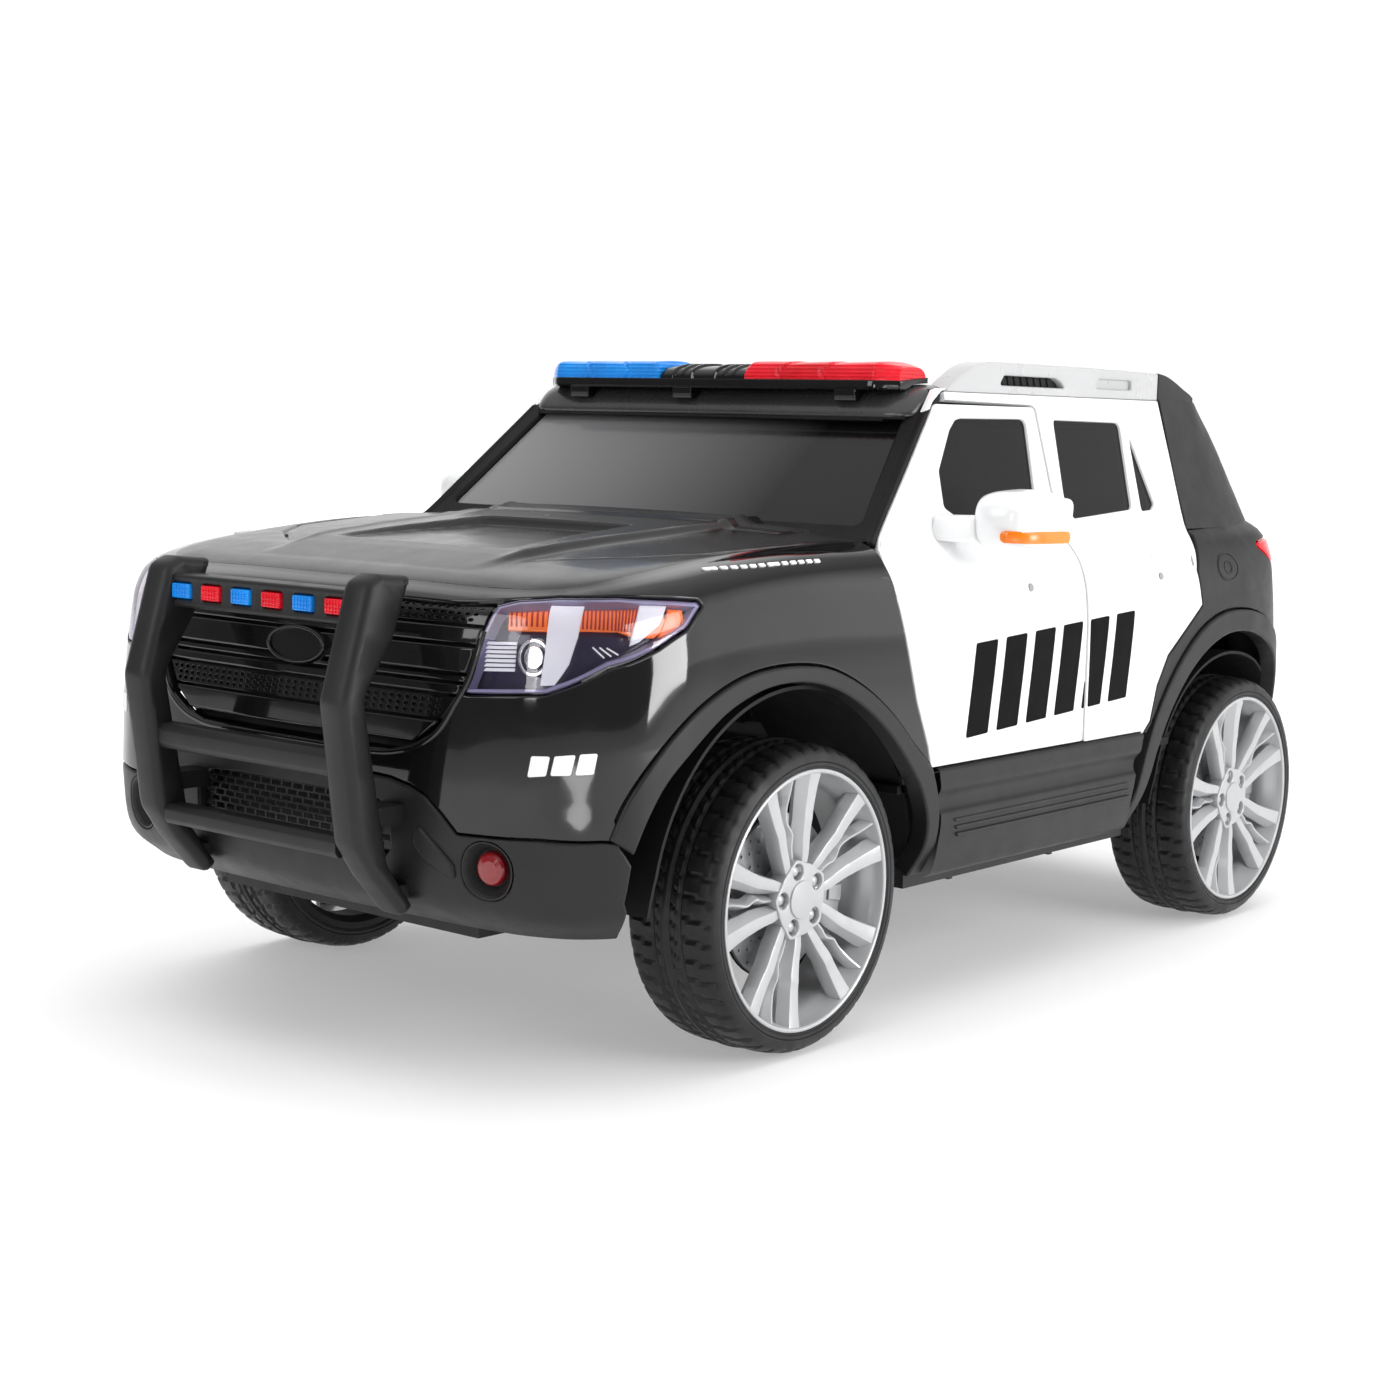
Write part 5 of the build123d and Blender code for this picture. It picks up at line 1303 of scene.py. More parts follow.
# header: broad smooth face sloping from the roof edge to the top of the screen, rounded off at its ends
HEAD = curve2([(8, 535.4), (26, 534.6), (42, 531.2), (54, 524.2), (62, 515.6), (66.4, 508.6), (67.2, 506.6), (66.2, 505.4)], 28)
s = Shape(); R = []
for y in np.r_[np.linspace(-226, -198, 13)[:-1], np.linspace(-198, 198, 47)[:-1], np.linspace(198, 226, 13)]:
    e = max(0.0, (abs(y) - 198) / 28.0); g = 1 - math.sqrt(max(0.0, 1 - e * e))
    ring = [(8 + (x - 8) * (1 - 0.22 * g), y, 534.4 + (z - 534.4) * (1 - 0.10 * g) - 7.0 * g * max(0, 1 - (534.4 - z) / 24.0)) for x, z in HEAD] + [(56, y, 505.8 + g), (30, y, 520), (8, y, 531 - 3 * g)]
    R.append(ring)
rings(s, R)
# header in the lighter black that paints its sheen
s.make("header_lip", "header_black", slot="black_satin", smooth=50)
# dark band between the header and the screen, with its small step near the left pillar
s = Shape(); R = []
for y in np.r_[-218, -216, np.linspace(-212, 196, 40), 197, 198, 199, 212, 217, 219]:
    dn_ = 1.8 if y > 197.5 else 0.0
    R.append([(65.4, y, 506.4), (65.8, y, 502.6 + dn_), (64.8, y, 501.6 + dn_), (56, y, 501.6 + dn_), (54, y, 506.4)])
rings(s, R)
s.make("header_band", "black_matte", slot="black_satin")

p = Panel().sheet(W, shift(ccw(screen_hole), -1.5), lift=-4.6, grid=16, step=8)
p.make("windscreen_pane", "screen_glass", replaces=("windscreen",), slot="smoked")

# ------------------------------------------------------------------ light bar
def bar_ends(y):
    """Plan taper at the two ends: front and rear x of the bar at a place along it."""
    e = max(0.0, (abs(y) - 188) / 19.0)
    return 5 + 10 * e ** 1.3, 69 - 14 * e ** 1.3


s = Shape(); R = []
for y in np.r_[-208.5, -207.9, np.linspace(-206, 206, 71), 207.9, 208.5]:
    a, b = bar_ends(min(207, abs(y))); k = 0.9 if abs(y) > 208.2 else 0.0
    R.append([(a - 2 + k, y, 536.2 + k), (a - 2 + k, y, 541.2 - k), (b + 0.2 - k, y, 537.4 - k), (b + 0.8 - k, y, 536.2), (b + 0.8 - k, y, 531.0), (b - 0.8 - k, y, 529.0 + k), (b - 9, y, 528.8 + k), (a + 22, y, 534.6)])
rings(s, R)
for y in (-162, -32, 156):
    prism(s, fillet([(y - 11.5, 519.0), (y + 11.5, 519.0), (y + 11.5, 530.6), (y - 11.5, 530.6)], 1.2), "x", 52, 66.6, edge=0.8)
    prism(s, fillet([(3, y - 12), (27, y - 12), (27, y + 12), (3, y + 12)], 2.0), "z", 533.1, 537, edge=0.5)
# centre block: an arched cover with two groups of three hoops
R = []
ang = np.linspace(0, math.pi, 17)
for y in np.linspace(-60, 46, 133):
    g = 0.0
    for c0 in (14, 25, 36):
        g = max(g, min(1.0, max(0.0, 2.1 - abs(abs(y + 7) - c0)) / 0.9))
    end = min(1.0, (53.6 - abs(y + 7)) / 4.0)
    a, h = 27.5 + 1.6 * g, (8.2 + 1.7 * g) * (0.75 + 0.25 * end)
    R.append([(39 + a * math.copysign(abs(math.cos(t)) ** 0.72, math.cos(t)), y, 536.2 + (39 + a - 39 - a * math.cos(t)) * 0.08 + (h + 3.4) * math.sin(t) ** 0.7) for t in ang] + [(39 - a, y, 535.6), (39 + a, y, 531.6)])
rings(s, R)
s.make("light_bar_housing", "black_gloss", replaces=("light_bar_base",), slot="black_gloss", smooth=32)


def bar_lens(inner, notches):
    """One lens: deep front face, sloped ends, and two chevron notches between its three plates."""
    s = Shape(); R = []
    prof = np.array([(69.0, 537.0), (69.4, 538.2), (69.4, 540.6), (68.9, 543.8), (68.2, 547.0), (67.3, 549.6), (66.2, 551.2), (64.2, 552.4), (60.5, 553.2), (53, 553.8), (45, 554.3), (37, 554.5),
                     (29, 554.4), (21, 554.0), (15, 553.0), (11, 551.2), (7.8, 548.6), (5.9, 545.6), (5.2, 542.4), (5.2, 540.6)])
    ys = np.r_[inner, inner + .4, inner + 1.2, np.linspace(inner + 2, 205, 190), 206, 206.7, 207]
    for y in ys:
        e = max(0.0, (y - 188) / 19.0); e2 = max(0.0, (inner + 6.5 - y) / 6.5)
        xa, xb = bar_ends(y); ring = []
        for x, z in prof:
            f = max(0.0, (z - 541.4) / 13.1)
            zz = z - f * (5.0 * e ** 1.3 + 5.0 * e2 ** 1.4)
            xx = xa + (x - 5) * (xb - xa) / 64.0
            xx = 37 + (xx - 37) * (1 - (0.10 * e ** 1.5 + 0.05 * e2) * f)
            # the notch zigzags down the front face, then runs back over the top
            for c0 in notches:
                if x > 57:
                    bend = abs(z - 543.0) * 1.15
                else:
                    bend = 11.3 - (57 - x) * 0.30
                dd = y - (c0 - 6 + bend)
                w = 2.6
                if abs(dd) < w:
                    amt = (1 - abs(dd) / w)
                    zz -= 2.6 * amt * min(1, max(0, f) * 1.2); xx -= 1.5 * amt * (1 if x > 57 else -0.5 if x < 12 else 0)
                elif 0 < dd < 44:
                    zz -= 0.9 * (1 - dd / 44) * min(1, f * 1.2)
            ring.append((xx, y, zz))
        R.append(ring)
    rings(s, R)
    # reflector cells behind the front face show as a row of fine bars
    for y in np.arange(inner + 11, 188, 9.2):
        prism(s, [(y, 538.4), (y + 6.0, 538.4), (y + 6.0, 539.4), (y, 539.4)], "x", 68.9, 70.0, edge=0.25)
    return s


bar_lens(45, (88, 136)).make("bar_lens_red", "bar_red", replaces=("light_bar_red_lens",), slot="red_lens", smooth=24)
bar_lens(59, (100, 148)).other().make("bar_lens_blue", "bar_blue", replaces=("light_bar_blue_lens",), slot="blue_lens", smooth=24)

# ------------------------------------------------------------------ roof rails and their black ends
RAIL = [(10, 532.6), (-26, 552.2), (-52, 557.4), (-120, 557.9), (-246, 557.6), (-365, 556.4), (-365, 532.6)]
SLOT1 = [(-80, 546), (-168, 546), (-179, 543), (-187, 537), (-72, 537)]
SLOT2 = [(-249, 547.5), (-312, 547.5), (-313, 538.5), (-243, 538.5)]
rail_line = np.vstack([curve2([(12, 532.2), (-8, 543.6), (-27, 552.6), (-48, 556.9), (-75, 557.8)], 22), [(x, 557.9) for x in np.arange(-90, -240, -15)], [(-246, 557.7), (-300, 557.2), (-365, 556.4), (-365, 529.2), (12.5, 529.2)]])
s = Shape()
prism(s, rail_line, "y", 206.0, 229.2, holes=[fillet(SLOT1, [3, 3, 8, 3, 3]), fillet(SLOT2, [3, 3, 3, 4])], edge=1.9)
box(s, -316, -238, 209, 225.2, 535.5, 549.5)
dark = Shape()
box(dark, -189, -68, 210, 221, 535.6, 547.4)
for k in range(9):
    x = -174 + k * 11.5
    prism(dark, [(x, 537.2), (x + 7.5, 537.2), (x + 10.5, 545.8), (x + 3.0, 545.8)], "y", 220.5, 222.4, edge=0.5)
s.add(dark.verts(), dark.f, 1)
# rails in the greyer copy of the body white, painted shade; black matte slots
s.mirrored().make("rail_covers", ["rail_white_painted_shade", "black_matte"], replaces=("roof_rails",), slot="white_gloss", smooth=32)
s = Shape()
CAP = np.vstack([curve2([(-365.6, 556.6), (-382, 554.4), (-402, 548.4), (-420, 541.6), (-434, 536.6), (-439.5, 533.8)], 18), [(-439.8, 529.6), (-365.6, 529.6)]])
prism(s, CAP, "y", 205.8, 229.4, edge=1.1)
s.mirrored().make("rail_end_covers", "black_satin", replaces=("rail_end_caps",), slot="black_satin", smooth=32)

# ------------------------------------------------------------------ mirrors
def mirror():
    s = Shape(); R = []
    n = 64
    th = np.linspace(0, 2 * math.pi, n, endpoint=False)
    for y, k, zs in ((299.5, .72, 0), (300.4, .82, 0), (303, .91, 0), (308, .97, 0), (315, 1.0, 0), (323, .997, 0), (331, .98, 0), (338, .95, 0), (344, .905, 0), (348.5, .84, 0), (351.6, .74, 0), (353.4, .60, 0), (354.1, .42, 0)):
        ring = []
        for t in th:
            c, q = math.cos(t), math.sin(t)
            ex = 2 / 3.4
            x = 37.5 + 41.0 * k * math.copysign(abs(c) ** ex, c)
            z = 420.5 + 26.0 * (k ** 0.9) * math.copysign(abs(q) ** ex, q)
            # the top falls towards the front, the underside rises towards the tip
            z += -0.055 * (x - 37.5) if q > 0 else 0.05 * (x - 37.5)
            ring.append((x, y, z))
        R.append(ring)
    rings(s, R)
    # foot to the door corner
    prism(s, fillet([(53, 400.5), (81, 401.5), (79, 424), (57, 423)], 6), "y", 262.5, 303.5, edge=3.0)
    # rim and glass on the rear face
    s2 = Shape()
    prism(s2, fillet([(307, 398.5), (349, 400.5), (352, 440), (307, 441)], 8), "x", -4.9, 4.0, mat=0, edge=1.5, holes=[fillet([(310.5, 402), (346, 403.5), (348.5, 437), (310.5, 438)], 6)])
    prism(s2, fillet([(309.5, 401), (347, 402.5), (349.5, 438), (309.5, 439)], 6), "x", -2.6, 0.0, mat=2, edge=0.8)
    s.add(s2.verts(), s2.f)
    s.m[-len(s2.f):] = s2.m
    # amber strip, thinner at its ends, round the outer lower edge
    path = curve2([(78.9, 331), (77.4, 337), (74.2, 343.6), (67.6, 350.4), (56, 354.6), (38, 356.3), (8, 356.3)], 44)
    R = []
    tng = unit(np.gradient(path, axis=0)); nr = np.stack([-tng[:, 1], tng[:, 0]], 1)
    sgn = 1 if nr[20][1] > 0 else -1
    for (x, y), (nx, ny), t in zip(path, nr * sgn, np.linspace(0, 1, 44)):
        h = 5.0 * min(1, min(t, 1 - t) * 14 + 0.5)
        d = 0.4 + 1.6 * min(1, min(t, 1 - t) * 16 + 0.2)
        zc = 408.3 - 0.9 * t
        R.append([(x - nx * 3, min(358, y - ny * 3), zc - h), (x + nx * (d - 0.7) * .5, y + ny * (d - 0.7) * .5, zc - h), (x + nx * d * .5, y + ny * d * .5, zc - h + 1.4), (x + nx * d * .5, y + ny * d * .5, zc + h - 1.4),
                  (x + nx * (d - 0.7) * .5, y + ny * (d - 0.7) * .5, zc + h), (x - nx * 3, min(358, y - ny * 3), zc + h)])
    s3 = Shape(); rings(s3, R)
    k0 = len(s.f); s.add(s3.verts(), s3.f, 3)
    return s


mr = mirror()
mr.make("left_mirror_look", ["white_gloss", "black_satin", "bright_plate", "amber"], body="left_door", replaces=("left_mirror",), slot="white_gloss", smooth=40)
mr.other().make("right_mirror_look", ["white_gloss", "black_satin", "bright_plate", "amber"], body="right_door", replaces=("right_mirror",), slot="white_gloss", smooth=40)


# ------------------------------------------------------------------ plain marks in place of lettering
def clip_x(poly, x, keep_right):
    out = []
    n = len(poly)
    for i in range(n):
        a, b = poly[i], poly[(i + 1) % n]
        ia = a[0] >= x if keep_right else a[0] <= x
        ib = b[0] >= x if keep_right else b[0] <= x
        if ia:
            out.append(a)
        if ia != ib:
            t = (x - a[0]) / (b[0] - a[0]); out.append((x, a[1] + (b[1] - a[1]) * t))
    return out


marks = {"door": Panel(), "panel": Panel()}
for k in range(6):
    t0 = k / 6.0 + 0.012; t1 = t0 + 0.118
    xb0, xb1 = 75 - 287 * t0, 75 - 287 * t1
    lean = -12
    zb = lambda t: 234 + 15 * t; zt = lambda t: 315 + 16 * t
    bar = [(xb0, zb(t0)), (xb1, zb(t1)), (xb1 + lean, zt(t1)), (xb0 + lean, zt(t0))]
    for key, xx, right in (("door", -124.6, True), ("panel", -131.2, False)):
        c = clip_x(bar, xx, right)
        if len(c) > 2 and abs(area2(np.array(c))) > 30:
            marks[key].add(D, fillet(dn(c), 2.2), gap=0.0, r=0.28, thick=0.1, lift=0.45, grid=12, step=5)
for key, body in (("door", "{}_door"), ("panel", "body")):
    if marks[key].n:
        m2 = marks[key].mirrored(only=True)
        marks[key].make("left_%s_bars" % key, "black_decal", body=body.format("left"), slot="black_satin")
        m2.make("right_%s_bars" % key, "black_decal", body=body.format("right"), slot="black_satin")
# three slanted white blocks on the fender, dashes along the bonnet's side
p = Panel()
top3 = low([(542, 236, 257.5), (534, 251, 258), (523, 266, 260), (512, 277, 261)]); bot3 = low([(543, 235, 242), (535, 250, 244), (525, 265, 245), (513, 276, 246)])
for k in range(3):
    a0, a1 = top3[k] + (top3[k + 1] - top3[k]) * 0.10, top3[k] + (top3[k + 1] - top3[k]) * 0.92
    b0, b1 = bot3[k] + (bot3[k + 1] - bot3[k]) * 0.02, bot3[k] + (bot3[k + 1] - bot3[k]) * 0.84
    c = np.array([a0, a1, b1, b0])
    p.add(B, fillet(c, 1.6), gap=0.0, r=0.25, thick=0.1, lift=0.5, grid=6, step=3)
line = low([(397, 273, 388), (361, 280, 389), (315, 282, 390), (262, 283, 391)])
ln = curve2(line, 41)
for k in range(14):
    a = ln[int(k * 40 / 14)]; b = ln[min(40, int(k * 40 / 14) + 2)]
    d_ = unit(b - a); w_ = np.array([-d_[1], d_[0]]) * 1.5
    L = np.linalg.norm(ln[-1] - ln[0]) / 14 * 0.66
    p.add(B, np.array([a + w_, a + d_ * L + w_, a + d_ * L - w_, a - w_]), gap=0.0, r=0.2, thick=0.1, lift=1.3, grid=0, step=9)
p.mirrored().make("fender_marks", "white_decal", slot="white_gloss")

# ------------------------------------------------------------------ handles, keyholes, fuel cap
for side, flag in (("left", False), ("right", True)):
    for nm, body, pts, dot in (("front_handle", side + "_door", [(-16, 371), (-26, 365.5), (-56, 364.5), (-83, 374), (-83, 377.5), (-50, 377.5), (-22, 376.5)], (-31, 359)),
                               ("rear_handle", "body", [(-258, 380), (-330, 380), (-334, 376), (-326, 368.5), (-262, 368.5), (-257, 373)], (-268, 360.5))):
        p = Panel()
        o = fillet(dn(pts), 2.5)
        p.add(D, shift(ccw(o), -2.6), holes=[shift(ccw(o), 0.4)], gap=0.0, r=0.5, thick=0.4, lift=0.7, grid=0, step=4)
        p.add(D, o, gap=0.0, r=1.6, thick=0.4, lift=3.4, grid=6, step=4)
        p.add(D, circle(dn([dot])[0], 3.6, 20), gap=0.0, r=0.8, thick=0.3, lift=1.6, grid=0, step=3, mat=1)
        if nm == "rear_handle":
            p.add(D, fillet(dn([(-337, 378), (-341, 378), (-340, 368), (-336, 368)]), 1), gap=0.0, r=0.3, thick=0.2, lift=0.35, grid=0, step=3, mat=1)
        q = p.mirrored(only=True) if flag else p
        q.make(side + "_" + nm, ["white_gloss", "disc_grey"], body=body, slot="white_gloss")
p = Panel()
fc2 = low([(-409, 294, 364)])[0]
for r0_, r1_, lf in ((21.5, 19.6, 0.8), (9.0, 7.2, 0.7)):
    p.add(B, circle(fc2, r0_, 44, ry=r0_ * 0.76), holes=[circle(fc2, r1_, 40, ry=r1_ * 0.76)], gap=0.0, r=0.6, thick=0.3, lift=lf, grid=0, step=3)
p.add(B, circle(fc2, 19.2, 44, ry=14.4), holes=[circle(fc2, 9.4, 36, ry=7.2)], gap=0.0, r=0.5, thick=0.3, lift=0.35, grid=7, step=3)
p.make("fuel_cap", "black_satin", slot="black_satin")

# ------------------------------------------------------------------ rear: tailgate, glass, bumper, lamps
TR = []
for y, x0, hb, h1, h2, h3 in ((206, -609.5, -561, -544, -510.5, -476.5), (170, -615, -568, -551, -515, -480), (120, -621, -571.5, -553.6, -517.5, -481.8),
                              (60, -624, -573.5, -555.5, -519.5, -482.7), (0, -625, -574, -556, -520, -483)):
    yt = y * 1.0
    row = [(x0 + d, yt, z) for d, z in ((0, 208), (0, 240), (2, 290), (6, 335), (11, 372), (20, 395), (34, 407))]
    row += [(hb, yt * 0.995, 414), (h1, yt * 0.985, 443), (h2, yt * 0.962, 488), (h3, yt * 0.945, 523)]
    TR.append(row)
TR = TR + [[(x, -y, z) for x, y, z in r] for r in TR[-2::-1]]
T = Loft(TR, 220, 180, side=(-1, 0, 0))
tnr = lambda pts: T.near(pts, (1, 2))
gate = np.vstack([tnr([(y, 216.5) for y in np.linspace(-196, 196, 25)]), tnr([(198, z) for z in np.linspace(220, 405, 16)]), tnr([(197 - 0.062 * (z - 408), z) for z in np.linspace(415, 520, 10)]),
                  tnr([(y, 521.5) for y in np.linspace(186, -186, 17)]), tnr([(-197 + 0.062 * (z - 408), z) for z in np.linspace(520, 415, 10)]), tnr([(-198, z) for z in np.linspace(405, 220, 16)])])
glass = fillet(tnr([(-176, 428), (176, 428), (164, 502), (-164, 502)]), 9)
p = Panel().add(T, drop_close(gate, 1.0), holes=[glass], gap=0.8, r=2.0, thick=7, grid=10, step=6)
# number plate recess stays a plain frame, with a grip bar over it
plate = fillet(tnr([(-62, 284), (62, 284), (62, 322), (-62, 322)]), 5)
p.add(T, shift(ccw(plate), -4), holes=[plate], gap=0.0, r=1.6, thick=0.3, lift=2.2, grid=0, step=5)
p.add(T, fillet(tnr([(-74, 331), (74, 331), (70, 347), (-70, 347)]), 5), gap=0.0, r=2.4, thick=0.3, lift=4.0, grid=9, step=5, mat=1)
# two press lines over the width
for z in (252, 262):
    p.add(T, fillet(tnr([(-182, z), (182, z), (182, z + 4), (-182, z + 4)]), 1.6), gap=0.0, r=1.2, thick=0.2, lift=1.4, grid=0, step=8)
p.make("tailgate_skin", ["black_satin", "black_gloss"], replaces=("tailgate",), slot="black_satin")
p = Panel().sheet(T, shift(ccw(glass), -1.5), lift=-3.8, grid=16, step=8)
p.make("rear_pane", "smoked_glass", replaces=("rear_window",), slot="smoked")

rb = np.vstack([low([(-597, 240, 205), (-606, 222, 206), (-612, 200, 211), (-621, 120, 214), (-624, 60, 214)]), [[mid1 + E, low([(-624, 60, 214)])[0][1]]],
                [[mid1 + E, -E]], [[t, -E] for t in np.linspace(mid1 - 20, low([(-598, 228, 119)])[0][0], 16)], r_out[(r_out[:, 0] > low([(-590, 243, 160)])[0][0] - 60) & (r_out[:, 1] < side_st([(-595, 205)])[0][1])][::-1]])
p = Panel().add(B, drop_close(rb, 1.0), gap=0.8, r=2.4, thick=7, grid=9, step=5)
p.add(B, fillet(low([(-606, 220, 160), (-616, 180, 160), (-616, 180, 182), (-606, 220, 182)]), 4), gap=0.0, r=1.0, thick=0.3, lift=1.6, grid=7, step=4, mat=1)
p.mirrored().make("rear_bumper_skin", ["black_satin", "red_lens"], replaces=("rear_bumper",), slot="black_satin")

tl = fillet(tail_lamp, 4)
p = Panel().add(B, shift(ccw(tl), 0.6), gap=0.3, r=2.0, thick=7, lift=1.2, grid=7, step=4)
for k in range(5):
    z = 356 + k * 7.5
    p.add(B, low([(-609, 205.5, z), (-597, 233, z), (-574, 262, z + 1), (-574, 262, z + 2.4), (-597, 233, z + 1.4), (-609, 205.5, z + 1.4)]), gap=0.0, r=0.3, thick=0.2, lift=1.9, grid=0, step=6)
p.mirrored().make("tail_lamp_lenses", "red_lens", replaces=("tail_lamps",), slot="red_lens")

# header over the tailgate, between the two sides
s = Shape(); R = []
for y in np.linspace(-205, 205, 31):
    e = abs(y) / 205.0
    R.append([(-441, y, 526), (-441, y, 531.5), (-446, y, 533.2), (-462 + 2 * e, y, 531.8), (-474 + 4 * e, y, 527.5), (-481 + 6 * e, y, 520.5), (-476 + 6 * e, y, 517), (-450, y, 520)])
rings(s, R)
s.make("rear_header_cover", "black_satin", slot="black_satin", smooth=40)


# ------------------------------------------------------------------ wheels
def wheel_parts(side):
    """Tyre and rim about the origin, axis y, outer face towards side * y."""
    # tyre: turned grid with a tread field
    nt_, W = 288, 44.0
    ys = np.r_[np.linspace(-44, -38, 4)[:-1], np.linspace(-38, -30, 5)[:-1], np.linspace(-30, 30, 41)[:-1], np.linspace(30, 38, 6)[:-1], np.linspace(38, 44, 6)]
    base_r = np.interp(ys, [-44, -43.2, -41, -37, -31, -22, 0, 22, 31, 37, 41, 43.2, 44], [113, 117, 120.4, 122.8, 124.2, 124.9, 125, 124.9, 124.2, 122.8, 120.4, 117, 113])
    th = np.linspace(0, 2 * math.pi, nt_, endpoint=False)
    T, Y = np.meshgrid(th, ys, indexing="ij")
    R = np.broadcast_to(base_r, T.shape).copy()

    def groove(c, w, depth, soft=0.7):
        return -depth * np.clip((w / 2 + soft - np.abs(Y - c)) / soft, 0, 1)
    cut = np.zeros_like(R)
    cut = np.minimum(cut, groove(13.5, 2.4, 2.2)); cut = np.minimum(cut, groove(-13.5, 2.4, 2.2))
    cut = np.minimum(cut, groove(2.8, 1.6, 1.5)); cut = np.minimum(cut, groove(-4.6, 1.6, 1.5))
    n1 = 46
    ph = (T * n1 / (2 * math.pi) + (Y - 14) * 0.012) % 1.0
    lat = np.clip((0.13 - np.abs(ph - 0.5)) / 0.05, 0, 1)
    cut = np.minimum(cut, -2.0 * lat * (np.abs(Y) > 14.5) * np.clip((43 - np.abs(Y)) / 4, 0, 1))
    ph2 = (T * 60 / (2 * math.pi) + (Y - 4) * 0.06) % 1.0
    lat2 = np.clip((0.14 - np.abs(ph2 - 0.5)) / 0.05, 0, 1)
    cut = np.minimum(cut, -1.5 * lat2 * (((Y > 3.6) & (Y < 12.5)) | ((Y < -5.6) & (Y > -12.5))))
    R = R + cut - 0.9
    R = R + 0.9 * np.clip((2.6 - np.abs(Y + 0.9)) / 0.8, 0, 1)          # the raised middle rib
    V = np.stack([R * np.cos(T), Y, R * np.sin(T)], 2).reshape(-1, 3)
    m = len(ys); F = []
    for i in range(nt_):
        j = (i + 1) % nt_
        for k in range(m - 1):
            F.append((i * m + k, i * m + k + 1, j * m + k + 1, j * m + k))
    tyre = Shape().add(V, F)
    # sidewalls with two fine rings
    for s_ in (1, -1):
        prof = [(44, 112.1), (43.9, 111), (43.3, 110.4), (43.9, 109.8), (43.8, 107.4), (43.2, 106.8), (43.5, 106.2), (43.0, 105.3), (41, 105.3)]
        n2 = 144; mm = len(prof); V = []
        for i in range(n2):
            a = 2 * math.pi * i / n2
            for h, r in prof:
                V.append((r * math.cos(a), s_ * h, r * math.sin(a)))
        F = []
        for i in range(n2):
            j = (i + 1) % n2
            for k in range(mm - 1):
                f = (i * mm + k, i * mm + k + 1, j * mm + k + 1, j * mm + k)
                F.append(f if s_ < 0 else f[::-1])
        tyre.add(V, F)
    # rim: barrel and lip, spokes, hub
    rim = Shape()
    lip = [(-43, 105.1), (-43, 99), (-36, 93.5), (-10, 93.5), (-2, 93.5), (16, 93.5), (26, 95.5), (31, 99.2), (38, 100.6), (42.4, 101.4), (43.3, 102.1), (43.7, 103.3), (43.3, 104.6), (42.4, 105.1)]
    turned(rim, lip, (0, 0, 0), "y", 144)
    # painted shade: the inner half of the silver barrel is coloured near black, for the shadow behind the spokes
    rv = rim.verts()
    rim.m = [2 if np.mean(rv[list(f), 1]) < -6 else 0 for f in rim.f]
    # spokes: ten, in pairs, each a broad flat face with two sloping flanks
    prow = np.array([(20, 8.6, 33.0, 6.2, 2.6, 1.0), (33, 12.0, 35.2, 7.6, 3.6, 1.6), (48, 14.8, 36.2, 8.6, 4.8, 2.0), (58, 16.6, 37.4, 9.4, 5.0, 2.2), (62, 17.6, 38.0, 9.6, 5.0, 2.2),
                     (66, 18.8, 38.0, 9.8, 5.0, 2.2), (80, 23.0, 39.2, 10.8, 5.8, 2.4), (90, 26.0, 40.5, 12.0, 6.4, 2.6), (97, 28.2, 41.8, 13.2, 5.6, 2.4), (99.6, 28.9, 42.3, 13.8, 5.0, 2.2)])
    acc = np.r_[0, np.cumsum(np.hypot(np.diff(prow[:, 0]), np.diff(prow[:, 1])))]
    rows = cubic(acc, prow, np.linspace(0, acc[-1], 34))
    for k in range(5):
        ca = math.radians(111 + 72 * k)
        e1 = np.array([math.cos(ca), math.sin(ca)]); e2 = np.array([-math.sin(ca), math.cos(ca)])
        for sg in (1, -1):
            tn_ = unit(np.gradient(rows[:, :2], axis=0)); R = []
            for (r, l, h, w, wi, wo), t in zip(rows, tn_):
                n_ = np.array([-t[1], t[0]]); c = np.array([r, l]); ring = []
                for off, hh in ((-w / 2 - wi, h - 9.0), (-w / 2 - wi * 0.94, h - 8.4), (-w / 2 - 0.5, h - 0.75), (-w / 2 - 0.1, h - 0.2), (-w / 2 + 0.5, h), (w / 2 - 0.5, h),
                                (w / 2 + 0.1, h - 0.2), (w / 2 + 0.4, h - 0.8), (w / 2 + wo, h - 10.0), (w / 2 + wo * 0.7, h - 13), (-w / 2 - wi * 0.8, h - 13)):
                    q = c + n_ * off
                    w3 = e1 * q[0] + e2 * q[1] * sg
                    ring.append((w3[0], hh, w3[1]))
                R.append(ring)
            rings(rim, R)
        # thin wavy rib between the pair
        pr = np.array([(30, 0, 31.0), (46, 0.5, 32.0), (53, 2.2, 32.6), (58, 0.6, 32.6), (63, -2.0, 32.4), (74, -1.4, 32.0), (88, 0.3, 36.0), (102, 0.5, 41.0)])
        pr = cubic(np.r_[0, np.cumsum(np.hypot(np.diff(pr[:, 0]), np.diff(pr[:, 1])))], pr, np.linspace(0, 72, 32)); R = []
        for i, (r, l, h) in enumerate(pr):
            ring = []
            for off, hh in ((-4.4, h - 9.5), (-1.1, h - 0.4), (-0.7, h), (0.7, h), (1.1, h - 0.4), (4.4, h - 9.5)):
                w3 = e1 * r + e2 * (l + off)
                ring.append((w3[0], hh, w3[1]))
            R.append(ring)
        rings(rim, R)
    # hub with five deep lug pockets and a flat cap
    lugs = [math.radians(111 + 72 * k) for k in range(5)]
    hub = []
    for t in np.linspace(0, 2 * math.pi, 90, endpoint=False):
        d_ = min(abs((t - a + math.pi) % (2 * math.pi) - math.pi) for a in lugs)
        hub.append((math.cos(t) * (29.5 + 4.0 * max(0, 1 - d_ / 0.34)), math.sin(t) * (29.5 + 4.0 * max(0, 1 - d_ / 0.34))))
